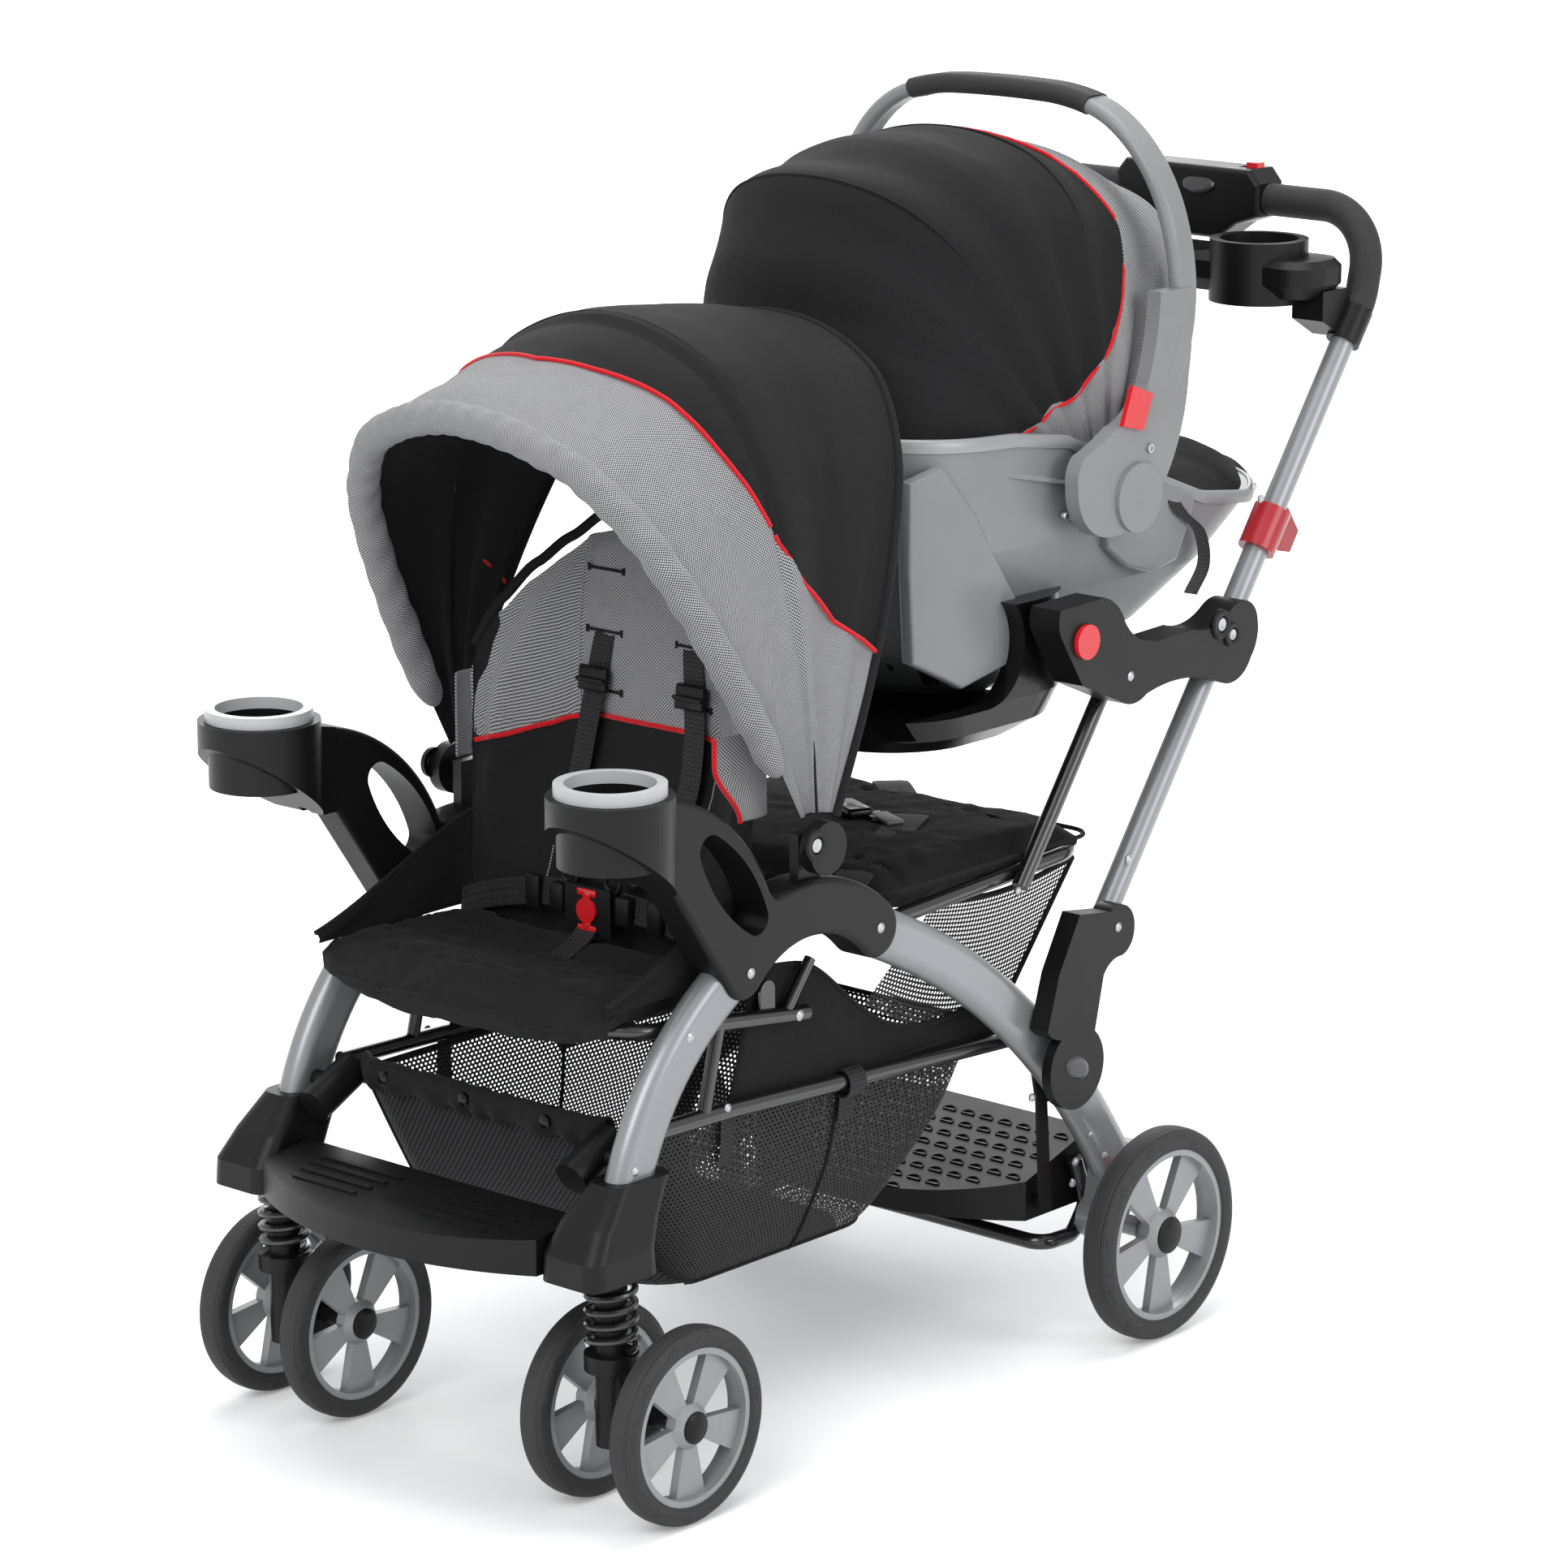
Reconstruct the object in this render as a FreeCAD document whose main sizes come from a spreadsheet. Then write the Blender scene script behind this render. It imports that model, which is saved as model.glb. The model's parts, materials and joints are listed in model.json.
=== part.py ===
"""Sit and stand stroller: front seat, rear bench, standing platform and lift-off infant carrier.

Millimetres, +Z up, +X towards the child's left, front wheels towards -Y. Side outlines are tables
of shares of the wheelbase, with y measured back from the front axle; every sub-part is then moved
so that the origin lies on the floor under the middle of the stroller.
"""

import FreeCAD, Part
import math
import os
import re
import Sketcher
from types import SimpleNamespace

V = FreeCAD.Vector

SIZES = {
    "Whole stroller": {
        "wheelbase": 677.0,
        "origin_setback": 484.9,
        "running_gap": 0.3,
        "shaft_gap": 0.1,
        "cut_overrun": 8.0,
    },
    "Wheels": {
        "front_wheel_radius": 92.5,
        "front_rim_radius": 74.0,
        "front_tyre_width": 28.0,
        "rear_wheel_radius": 107.0,
        "rear_rim_radius": 86.0,
        "rear_tyre_width": 32.0,
        "rim_wall": 6.0,
        "rim_web": 9.0,
        "front_hub_radius": 16.0,
        "rear_hub_radius": 19.0,
        "axle_radius": 5.0,
        "spoke_root": 17.0,
        "spoke_tip": 34.0,
        "tyre_shoulder": 8.0,
        "twin_spacing": 110.0,
        "rear_wheel_across": 283.0,
    },
    "Casters": {
        "caster_across": 211.5,
        "caster_ahead": 39.0,
        "housing_floor": 236.0,
        "housing_height": 82.0,
        "housing_width": 72.0,
        "housing_corner": 16.0,
        "strut_radius": 15.0,
        "strut_socket": 24.0,
        "fork_foot": 72.0,
        "fork_collar": 144.0,
        "fork_seat": 160.0,
        "fork_arm_width": 30.0,
        "suspension_travel": 12.0,
        "spring_radius": 21.5,
        "spring_wire": 7.0,
        "spring_turns": 5.0,
    },
    "Legs": {
        "leg_across": 210.0,
        "leg_depth": 50.0,
        "leg_width": 28.0,
        "front_leg_bend": 290.0,
        "rear_leg_bend": 800.0,
        "bracket_width": 29.0,
        "bracket_radius": 22.0,
    },
    "Armrests": {
        "arm_width": 40.0,
        "arm_rounding": 6.0,
        "cup_across": 222.0,
        "cup_ahead": 46.0,
        "cup_radius": 57.5,
        "cup_bore": 41.0,
        "cup_rise": 15.0,
        "cup_height": 96.0,
        "cup_depth": 56.0,
        "cup_wall": 7.0,
        "ring_height": 11.0,
        "lever_width": 10.0,
        "lever_pin": 2.0,
    },
    "Foot platform": {
        "foot_half_width": 176.0,
        "foot_bend": 340.0,
        "foot_wall": 4.0,
        "rib_height": 2.0,
        "rib_width": 5.0,
        "rib_length": 110.0,
        "rib_pitch": 15.0,
    },
    "Under frame": {
        "rail_across": 187.5,
        "rail_radius": 8.0,
        "rail_bend": 45.0,
        "knob_across": 165.5,
        "knob_radius": 17.0,
        "stand_half_width": 179.2,
        "stand_bend": 330.0,
        "stand_wall": 4.0,
        "stay_bend": 18.0,
        "link_inner": 226.0,
        "link_width": 22.0,
        "link_bar_thickness": 4.0,
        "tray_tube_across": 204.3,
        "tray_tube_radius": 8.5,
        "pedal_width": 22.0,
        "pedal_pin": 4.0,
    },
    "Push bar": {
        "bar_across": 222.0,
        "bar_radius": 12.5,
        "bar_bend": 62.0,
        "grip_radius": 16.5,
        "handle_height": 1073.0,
        "handle_back": 1090.0,
        "console_depth": 46.0,
        "console_rounding": 6.0,
        "trigger_half_length": 34.0,
        "trigger_height": 20.0,
        "trigger_depth": 30.0,
        "trigger_travel": 6.0,
        "slide_across": 72.0,
        "slide_length": 14.0,
        "slide_width": 12.0,
        "slide_height": 5.0,
        "slide_travel": 10.0,
        "tray_half_width": 226.0,
        "tray_end": 34.0,
        "tray_lug": 38.0,
        "tray_cup_radius": 50.0,
        "tray_cup_bore": 40.0,
        "tray_cup_across": 140.0,
        "tray_cup_back": 1006.0,
        "tray_cup_top": 1047.0,
        "tray_cup_floor": 984.0,
        "tray_body_front": 968.0,
        "tray_body_back": 1052.0,
        "tray_body_top": 1031.0,
        "tray_body_floor": 992.0,
        "tray_corner": 14.0,
        "tray_wall": 3.0,
        "collar_wall": 5.0,
    },
    "Carrier mount": {
        "mount_inner": 213.1,
        "mount_width": 36.0,
        "mount_rounding": 5.0,
        "button_radius": 17.0,
        "button_depth": 10.0,
        "button_proud": 5.0,
        "button_travel": 3.5,
        "tub_half_width": 205.0,
        "tub_wall": 6.0,
        "tub_band": 24.0,
        "tub_corner": 90.0,
        "clamp_width": 26.0,
    },
    "Seat": {
        "seat_play": 3.5,
        "seat_back_face": 186.0,
        "seat_back_thickness": 30.0,
        "seat_back_rounding": 9.0,
        "recline_back": 201.0,
        "recline_height": 440.0,
        "recline_pin": 4.0,
        "recline_lug": 3.0,
        "cushion_half_width": 189.6,
        "cushion_rounding": 5.0,
        "cushion_wing": 8.0,
        "strap_width": 34.0,
        "strap_thickness": 2.0,
        "strap_across": 58.0,
        "buckle_width": 58.0,
        "buckle_height": 46.0,
        "buckle_depth": 16.0,
        "buckle_foot": 469.0,
        "buckle_rounding": 4.0,
        "buckle_button_radius": 12.0,
        "buckle_button_travel": 2.5,
        "bench_half_width": 194.0,
        "bench_rounding": 6.0,
    },
    "Canopy": {
        "canopy_pivot_back": 221.0,
        "canopy_post": 36.0,
        "canopy_cloth": 3.0,
        "canopy_front_half_width": 224.0,
        "canopy_front_reach": 462.0,
        "canopy_rear_reach": 488.0,
        "canopy_rear_half_width": 241.0,
        "canopy_middle_reach": 470.0,
        "canopy_middle_half_width": 230.0,
        "canopy_start": 30.0,
        "canopy_roll": 15.0,
        "canopy_disc": 25.0,
        "canopy_disc_width": 14.0,
        "canopy_ear": 22.0,
        "canopy_pin": 6.0,
    },
    "Basket": {
        "basket_half_width": 178.5,
        "basket_cloth": 3.0,
        "basket_corner": 55.0,
    },
    "Carrier": {
        "carrier_wall": 5.0,
        "carrier_floor": 636.0,
        "carrier_corner": 70.0,
        "carrier_pivot_back": 705.0,
        "carrier_pivot_height": 834.0,
        "handle_across": 213.0,
        "handle_depth": 34.0,
        "handle_width": 16.0,
        "handle_grip_wall": 2.0,
        "handle_rounding": 4.0,
        "pivot_disc": 34.0,
        "pivot_width": 20.0,
        "pivot_pin": 7.0,
        "release_thickness": 5.0,
        "carrier_pad_thickness": 18.0,
        "carrier_canopy_back": 690.0,
        "carrier_canopy_height": 840.0,
        "carrier_cloth": 2.5,
        "carrier_canopy_start": 27.0,
    },
}

FRONT_LEG_SHARES = [(-0.0355, 0.4165), (0.0251, 0.6004), (0.1891, 0.7083)]
REAR_LEG_SHARES = [(0.4520, 0.7168), (0.8133, 0.5486), (1.0399, 0.2157)]
BRACKET_SHARES = [
    (0.9764, 0.1359), (1.0236, 0.1359), (1.0857, 0.2068), (1.0694, 0.2629), (0.9985, 0.2422)]
ARM_SHARES = [
    (0.0325, 0.8597), (0.1533, 0.6883, 0.0384), (0.2129, 0.6845, -0.1477), (0.4284, 0.6864, 0.0414),
    (0.4880, 0.6863, 0.0414), (0.4861, 0.7455, 0.2563), (0.2545, 0.8050, -0.0177),
    (0.2341, 0.8151, 0.2880), (0.0325, 0.9793)]
ARM_HOLE_SHARES = [
    (0.1935, 0.7617, 0.0222), (0.2257, 0.7882, 0.2363), (0.1247, 0.9118, 0.0222),
    (0.0925, 0.8854, 0.2363)]
CUP_SKIRT_SHARES = [(-0.1773, 0.9897), (-0.1773, 0.7386), (0.0886, 0.7386), (0.0886, 0.7976)]
CUP_SHOULDER_SHARES = [(-0.0679, 1.0015), (-0.0679, 0.8597), (0.0321, 0.8597), (0.0321, 0.9793)]
LEVER_SHARES = [(0, 0.8744), (0.0133, 0.8715), (0.0192, 0.9217), (0.0089, 0.9306), (-0.0015, 0.9217)]
LEVER_SLOT_SHARES = [(-0.0089, 0.8567), (0.0266, 0.8567), (0.0266, 0.9365), (-0.0089, 0.9365)]
LEVER_PIN_SHARES = [(0.0089, 0.9188)]
FOOT_SIDE_SHARES = [
    (-0.0561, 0.3516), (-0.0561, 0.4121), (-0.1034, 0.4077), (-0.2363, 0.3900), (-0.2363, 0.3516)]
FOOT_CORNER_SHARES = [(-0.0561, -0.1448)]
RIB_SHARES = [(-0.1123, 0.1477), (-0.1359, 0.1359), (-0.1566, 0.1241), (-0.1773, 0.1064)]
KNOB_SHARES = [(-0.0606, 0.4623), (0.0177, 0.5022)]
KNOB_STUB_SHARES = [(-0.0118, 0.4845)]
BASKET_RAIL_SHARES = [(0.0244, 0.5047), (0.2245, 0.4993), (0.4963, 0.4830), (0.8582, 0.4623)]
SEAT_RAIL_SHARES = [(0.3752, 0.6027), (0.1758, 0.6292), (0.0118, 0.6499)]
SEAT_STRUT_SHARES = [(0.1654, 0.5037), (0.1965, 0.6263)]
SEAT_HANGER_SHARES = [(0.3848, 0.6780), (0.3338, 0.6130)]
BENCH_RAIL_SHARES = [(0.5007, 0.6948), (0.9956, 0.7194)]
TRAY_TUBE_SHARES = [(0.8124, 0.6972), (1.0059, 0.9631)]
STAND_PLAN_SHARES = [(0.8804, 1.0340), (0.7858, 1.0340)]
STAND_SIDE_SHARES = [(0.7386, 0.1713), (1.1226, 0.1713), (1.1226, 0.3072), (0.7386, 0.1876)]
STAY_SHARES = [(0.9778, 0.2467), (1.0089, 0.1728), (0.9764, 0.1300), (0.9040, 0.1329)]
LINK_SHARES = [
    (0.7991, 0.4963, 0.0443), (0.8493, 0.4801, 0.0886), (0.9025, 0.4490), (0.9276, 0.5539, -0.0443),
    (0.9705, 0.5746, 0.0369), (0.9985, 0.6115, 0.0369), (0.9409, 0.6455), (0.8700, 0.6558),
    (0.8242, 0.5761)]
LINK_DISC_SHARES = [(0.8685, 0.4284), (0.0694, 0.0576)]
LINK_LUG_SHARES = [
    (0.8597, 0.4313), (0.8774, 0.3545), (0.9040, 0.3545), (0.9010, 0.3870), (0.8833, 0.4372)]
LINK_BAR_SHARES = [(0.8818, 0.3870), (0.8951, 0.1832), (0.9188, 0.1832), (0.9025, 0.3870)]
LINK_PIN_SHARES = [(0.9055, 0.1965)]
PEDAL_SHARES = [(1.0044, 0.1832), (1.0310, 0.1950), (1.0103, 0.2482), (0.9838, 0.2363)]
PEDAL_PIN_SHARES = [(1.0162, 0.1979)]
PUSH_BAR_SHARES = [(0.9572, 0.6027), (1.5790, 1.4564), (1.6100, 1.5849)]
GRIP_START_SHARES = [(1.5700, 1.4440), (0.1108, 1.5849)]
COLLAR_SHARES = [(1.5347, 1.3959), (1.5679, 1.4414)]
COLLAR_LUG_SHARES = [
    (1.4830, 1.4328), (1.5362, 1.4032), (1.5569, 1.4357), (1.5451, 1.4771), (1.4830, 1.4771)]
CONSOLE_SHARES = [
    (-0.1359, 1.5598), (-0.0916, 1.5451), (-0.0591, 1.5214), (0.0591, 1.5214), (0.0916, 1.5451),
    (0.1359, 1.5598), (0.1359, 1.6100), (0.1182, 1.6307), (-0.1182, 1.6307), (-0.1359, 1.6100)]
TRAY_ARM_SHARES = [
    (0.9705, 0.9468, 0.0591), (1.0162, 0.9542, -0.2806), (1.1935, 0.9409, 0.0561),
    (1.2674, 0.9675, 0.0591), (1.2821, 1.0192, 0.0384), (1.2482, 1.0547, 0.0591),
    (1.2112, 1.0428, -0.1034), (1.1226, 1.0310), (1.0355, 1.0281, -0.0886), (0.9631, 1.0694, 0.0739),
    (0.9158, 1.1108), (0.8154, 1.1078, 0.0443), (0.8183, 1.0665), (0.8390, 1.0340), (0.8671, 0.9911)]
TRAY_BUTTON_SHARES = [(0.8715, 1.0547)]
CLAMP_SHARES = [(1.3279, 1.1123), (1.3678, 1.1669)]
CLAMP_EAR_SHARES = [
    (1.3471, 1.1108), (1.4003, 1.0990), (1.4210, 1.1285), (1.3944, 1.1669), (1.3663, 1.1787)]
TUB_SHARES = [
    (0.5465, 0.9099), (0.8641, 0.9099, 0.1329), (0.9453, 0.9424, 0.0886), (0.9808, 0.9985, 0.2216),
    (0.9660, 1.0901, 0.0325), (0.9394, 1.1108), (0.6942, 1.1108), (0.5465, 1.0340)]
TUB_LEVEL_SHARES = [
    (0.9099, 0.6056, 0.9365, 0.2541), (0.9365, 0.5672, 0.9690, 0.2910),
    (0.9749, 0.5495, 0.9838, 0.3028), (1.1108, 0.5495, 0.9838, 0.3028)]
TUB_MOUTH_SHARES = [
    (0.5096, 0.9690), (0.7386, 0.9690, 0.0827), (0.8154, 1.0399, 0.0886), (0.7563, 1.1374),
    (0.5096, 1.1374)]
TUB_BOSS_SHARES = [(0.8656, 1.0428), (0.9010, 1.0428), (0.9010, 1.0842), (0.8656, 1.0842)]
SEAT_BACK_SHARES = [
    (-0.2718, 0.6677), (0.2718, 0.6677), (0.2718, 1.0635, 0.1403), (0.1743, 1.1773, 0.2068),
    (-0.1743, 1.1773, 0.1403), (-0.2718, 1.0635)]
CUSHION_SHARES = [
    (0.2718, 0.6307), (0.1758, 0.6440), (0.0059, 0.6662), (-0.0044, 0.6617), (-0.0089, 0.6263),
    (-0.0414, 0.6233, 0.0207), (-0.0635, 0.6440, 0.0295), (-0.0561, 0.6677, 0.0355),
    (-0.0236, 0.6854), (0.0886, 0.6913), (0.2718, 0.6869)]
WING_SHARES = [(0.0443, 0.6824), (0.2718, 0.6824), (0.2718, 0.8863), (0.2216, 0.8863)]
BENCH_SHARES = [
    (0.5140, 0.7090), (0.5318, 0.7061), (0.9926, 0.7061), (1.0089, 0.7120), (1.0089, 0.7386),
    (0.9926, 0.7474), (0.5318, 0.7474), (0.5140, 0.7415)]
STRAP_SHARES = [(0.2709, 1.1669), (0.2709, 0.8863), (0.2511, 0.7681), (0.2408, 0.7312)]
BASKET_LEVEL_SHARES = [
    (0.2334, 0.1920, 0.5835, 0.1994), (0.2452, 0.1448, 0.6130, 0.2186),
    (0.2954, 0.1093, 0.6588, 0.2393), (0.3767, 0.0709, 0.7386, 0.2541),
    (0.4874, 0.0177, 0.8095, 0.2637)]
BASKET_NET_SHARES = [
    (0.5170, 0.5731), (0.6721, 0.6824), (0.9749, 0.7001), (0.8213, 0.4963), (0.7829, 0.4609),
    (0.5170, 0.4609)]
CARRIER_LEVEL_SHARES = [
    (0.9394, 0.8272, 1.0783, 0.1329), (0.9601, 0.7903, 1.1448, 0.1802),
    (1.0192, 0.7267, 1.2821, 0.2245), (1.0945, 0.6573, 1.3959, 0.2541),
    (1.1817, 0.6027, 1.4993, 0.2718), (1.2703, 0.5938, 1.5362, 0.2747),
    (1.3663, 0.5938, 1.5362, 0.2718)]
CARRIER_BOW_SIZE_SHARES = [
    (0.4461, 0.2806), (0.4520, 0.2570), (0.5022, 0.2541), (0.5583, 0.2570), (0.5199, 0.2688),
    (0.4993, 0.2806), (0.4815, 0.2895), (0.4727, 0.2954)]
CARRIER_RIM_SHARES = [
    (1.6248, 1.1905), (1.5066, 1.1935), (1.4032, 1.1817), (1.2703, 1.1994), (1.1226, 1.2555),
    (0.9453, 1.3264), (0.8272, 1.3442), (0.5613, 1.3589), (0.5613, 1.4771), (1.6248, 1.4771)]
HANDLE_ROOT_SHARES = [
    (0.9601, 1.1861, 0.1329), (1.0857, 1.2230, 0.2806), (1.1581, 1.3959, 0.3840), (1.1610, 1.5214),
    (1.0886, 1.5214, -0.3840), (1.0620, 1.3914, -0.1108), (0.9882, 1.3368, -0.3250),
    (0.9188, 1.3058, 0.0443), (0.9040, 1.2629, 0.0768)]
HANDLE_SHARES = [
    (0.3146, 1.0517, 1.2585), (0.3146, 1.1004, 1.3516), (0.3146, 1.1536, 1.4771),
    (0.3058, 1.1462, 1.6100), (0.2541, 1.1388, 1.7134), (0.1654, 1.1374, 1.7725), (0, 1.1374, 1.7873)]
RELEASE_SHARES = [(1.0177, 1.3973), (0.9956, 1.3412), (1.0428, 1.3294), (1.0650, 1.3796)]

# Half outline of a canopy bow, as shares of its half width and reach: arcs through a middle point
BOW_SHARES = [
    ((1.0, None), (0.985, 0.31), (0.92, 0.56)),
    ((0.92, 0.56), (0.80, 0.765), (0.54, 0.924)),
]
CARRIER_BOW_SHARES = [
    ((1.0, None), (0.99, 0.40), (0.95, 0.58)),
    ((0.95, 0.58), (0.84, 0.80), (0.54, 0.945)),
]

doc = FreeCAD.newDocument("SitAndStandStroller")
sheet = doc.addObject("Spreadsheet::Sheet", "Size")


def fill_sheet():
    """Write every driving size into the sheet, one aliased cell each, under its section's title."""
    row = 1
    for section, sizes in SIZES.items():
        sheet.set(f"A{row}", section)
        row += 1
        for alias, value in sizes.items():
            sheet.set(f"A{row}", alias)
            sheet.set(f"B{row}", str(value))
            sheet.setAlias(f"B{row}", alias)
            row += 1
    doc.recompute()
    names = [alias for sizes in SIZES.values() for alias in sizes]
    return SimpleNamespace(**{alias: float(getattr(sheet, alias)) for alias in names})


s = fill_sheet()
s.seat_half_width = s.rail_across - s.seat_play
KEPT = {}
ACROSS = FreeCAD.Rotation(V(0, 1, 0), 90)


def cells(text):
    """An expression with each size name pointed at its cell; a bare number is a share."""
    if not isinstance(text, str):
        text = f"wheelbase * {text}"
    names = "|".join(alias for sizes in SIZES.values() for alias in sizes)
    return re.sub(rf"\b({names})\b", r"Size.\1", text)


def size(text):
    """The value of such an expression."""
    return float(sheet.evalExpression(cells(text)))


def scaled(shares):
    """A table of shares of the wheelbase as lengths."""
    return [tuple(s.wheelbase * share for share in row) for row in shares]


def bind(obj, **sizes):
    """Bind an object's properties to expressions in the sheet's sizes."""
    for name, text in sizes.items():
        obj.setExpression(name, cells(text))
    return obj


def place(obj, x="0", y="0", z="0", turn=None):
    """Bind an object's place to the sheet; turn is its rotation where it isn't upright."""
    obj.Placement = FreeCAD.Placement(V(0, 0, 0), turn or FreeCAD.Rotation())
    for direction, text in zip("xyz", (x, y, z)):
        obj.setExpression(f"Placement.Base.{direction}", cells(text))
    return obj


def keep(label, obj):
    """Name a finished sub-part and move it from the front axle's frame to the stroller's own."""
    own = dict(obj.ExpressionEngine).get(".Placement.Base.y", "0")
    obj.setExpression("Placement.Base.y", f"{own} - Size.origin_setback")
    obj.Label = label
    KEPT[label] = obj
    return obj


def feature(label, *shapes):
    """A sub-part made of one or more solids; its place is set after its shape."""
    obj = doc.addObject("Part::Feature", label)
    obj.Shape = Part.makeCompound(list(shapes)) if len(shapes) > 1 else shapes[0]
    obj.Placement = FreeCAD.Placement(V(0, 0, 0), FreeCAD.Rotation())
    return obj


def keep_shapes(label, *shapes):
    """Keep solids as one sub-part."""
    return keep(label, feature(label, *shapes))


def mirrored(shape):
    """The same shape on the other side of the stroller."""
    return shape.mirror(V(0, 0, 0), V(1, 0, 0))


def keep_pair(label, obj):
    """Keep an object with its mirror image as one sub-part."""
    other = doc.addObject("Part::Mirroring", label + "_mirror")
    other.Source = obj
    other.Normal = V(1, 0, 0)
    pair = doc.addObject("Part::Compound", label + "_pair")
    pair.Links = [obj, other]
    return keep(label, pair)


def keep_sides(label, obj):
    """Keep an object and its mirror image as a left and a right sub-part."""
    other = doc.addObject("Part::Mirroring", label + "_mirror")
    other.Source = obj
    other.Normal = V(1, 0, 0)
    near = doc.addObject("Part::Compound", label + "_near")
    near.Links = [obj]
    keep(label + "_left", near)
    keep(label + "_right", other)


def combined(kind, name, base, *tools):
    """A Part boolean of document objects: Cut, Fuse or Common."""
    tool = tools[0]
    if len(tools) > 1:
        tool = doc.addObject("Part::MultiFuse", name + "_tools")
        tool.Shapes = list(tools)
    obj = doc.addObject("Part::" + kind, name)
    obj.Base = base
    obj.Tool = tool
    return obj


def primitive(kind, name, at, turn=None, **sizes):
    """A Part primitive bound to the sheet."""
    return place(bind(doc.addObject("Part::" + kind, name), **sizes), *at, turn=turn)


def shape_of(obj):
    """An object's shape in the front axle's frame, once the document is up to date."""
    doc.recompute()
    return obj.Shape.copy()


def own_plane(body, role):
    """One of a body's own origin planes or axes, found by its role."""
    return next(f for f in body.Origin.OriginFeatures if f.Role == role)


def sketch_on(body, name, role):
    """An empty sketch flat on one of the body's origin planes."""
    sketch = body.newObject("Sketcher::SketchObject", name)
    sketch.AttachmentSupport = [(own_plane(body, role), "")]
    sketch.MapMode = "FlatFace"
    return sketch


def arc_between(a, b, radius):
    """The short arc from a to b; a positive radius keeps its centre on the left."""
    side = 1 if radius > 0 else -1
    dx, dy = b[0] - a[0], b[1] - a[1]
    chord = math.hypot(dx, dy)
    rise = math.sqrt(max(radius * radius - chord * chord / 4, 0))
    cx = (a[0] + b[0]) / 2 - side * dy / chord * rise
    cy = (a[1] + b[1]) / 2 + side * dx / chord * rise
    ends = [math.atan2(p[1] - cy, p[0] - cx) for p in (a, b)]
    circle = Part.Circle(V(cx, cy, 0), V(0, 0, 1), abs(radius))
    return Part.ArcOfCircle(circle, *ends) if side > 0 else Part.ArcOfCircle(circle, *ends[::-1])


def outline(sketch, points):
    """A closed outline with bound corners; a third value bends the edge that starts there."""
    places = [(size(p[0]), size(p[1])) for p in points]
    ends = []
    for index, point in enumerate(points):
        a, b = places[index], places[(index + 1) % len(points)]
        if len(point) == 2:
            sketch.addGeometry(Part.LineSegment(V(*a, 0), V(*b, 0)), False)
            ends.append((index, 1, 2))
            continue
        radius = size(point[2])
        sketch.addGeometry(arc_between(a, b, radius), False)
        ends.append((index, 1, 2) if radius > 0 else (index, 2, 1))
        held = sketch.addConstraint(Sketcher.Constraint("Radius", index, abs(radius)))
        sketch.setExpression(f"Constraints[{held}]", f"abs({cells(point[2])})")
    for index, (edge, start, end) in enumerate(ends):
        following = ends[(index + 1) % len(ends)]
        sketch.addConstraint(Sketcher.Constraint("Coincident", edge, end, following[0], following[1]))
        for kind, value, text in zip(("DistanceX", "DistanceY"), places[index], points[index]):
            held = sketch.addConstraint(Sketcher.Constraint(kind, -1, 1, edge, start, value))
            sketch.setExpression(f"Constraints[{held}]", cells(text))
    return sketch


def body_of(name):
    """A new empty body."""
    return doc.addObject("PartDesign::Body", name)


def padded(body, name, role, points, length):
    """A pad of an outline, half to each side of its plane."""
    pad = body.newObject("PartDesign::Pad", name + "_pad")
    pad.Profile = outline(sketch_on(body, name + "_outline", role), points)
    bind(pad, Length=length)
    pad.Midplane = True
    doc.recompute()
    return pad


def pocketed(body, name, role, points, length):
    """A pocket of an outline, half to each side of its plane."""
    pocket = body.newObject("PartDesign::Pocket", name + "_pocket")
    pocket.Profile = outline(sketch_on(body, name + "_outline", role), points)
    bind(pocket, Length=length)
    pocket.Midplane = True
    doc.recompute()
    return pocket


def rounded(body, name, base, radius, wanted):
    """Fillet the edges of the last feature whose middle point passes a test."""
    names = []
    for index, edge in enumerate(base.Shape.Edges):
        middle = edge.valueAt((edge.FirstParameter + edge.LastParameter) / 2)
        if wanted(middle):
            names.append(f"Edge{index + 1}")
    fillet = body.newObject("PartDesign::Fillet", name + "_fillet")
    fillet.Base = (base, names)
    bind(fillet, Radius=radius)
    body.Tip = fillet
    return fillet


def plate(name, points, width, across=None, rounding=None, role="YZ_Plane"):
    """A flat moulding: a pad of a side outline about its middle plane, rounded on both faces."""
    body = body_of(name)
    pad = padded(body, name, role, points, width)
    if rounding:
        half = size(width) / 2
        near = s.running_gap
        depth = 0 if role == "YZ_Plane" else 1
        rounded(body, name, pad, rounding, lambda middle: abs(abs(middle[depth]) - half) < near)
    return place(body, across) if across else body


def bent(points, radius):
    """A bent tube's centre line: straight runs joined by tangent arcs."""
    edges, last = [], points[0]
    for before, corner, after in zip(points, points[1:], points[2:]):
        back, ahead = (before - corner).normalize(), (after - corner).normalize()
        half = back.getAngle(ahead) / 2
        reach = radius / math.tan(half)
        start, end = corner + back * reach, corner + ahead * reach
        toward = (back + ahead).normalize()
        middle = corner + toward * (radius / math.sin(half) - radius)
        if (start - last).Length > s.running_gap:
            edges.append(Part.LineSegment(last, start).toShape())
        edges.append(Part.Arc(start, middle, end).toShape())
        last = end
    edges.append(Part.LineSegment(last, points[-1]).toShape())
    return Part.Wire(edges)


def arc_from(start, heading, end):
    """The arc that leaves start along heading and reaches end, or a line where they are in line."""
    chord = end - start
    ahead = V(chord).normalize()
    across = heading - ahead * heading.dot(ahead)
    if across.Length < 1e-6:
        return Part.LineSegment(start, end)
    half = math.atan2(across.Length, heading.dot(ahead))
    rise = chord.Length / 2 * math.tan(half / 2)
    return Part.Arc(start, (start + end) * 0.5 + across * (rise / across.Length), end)


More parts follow.
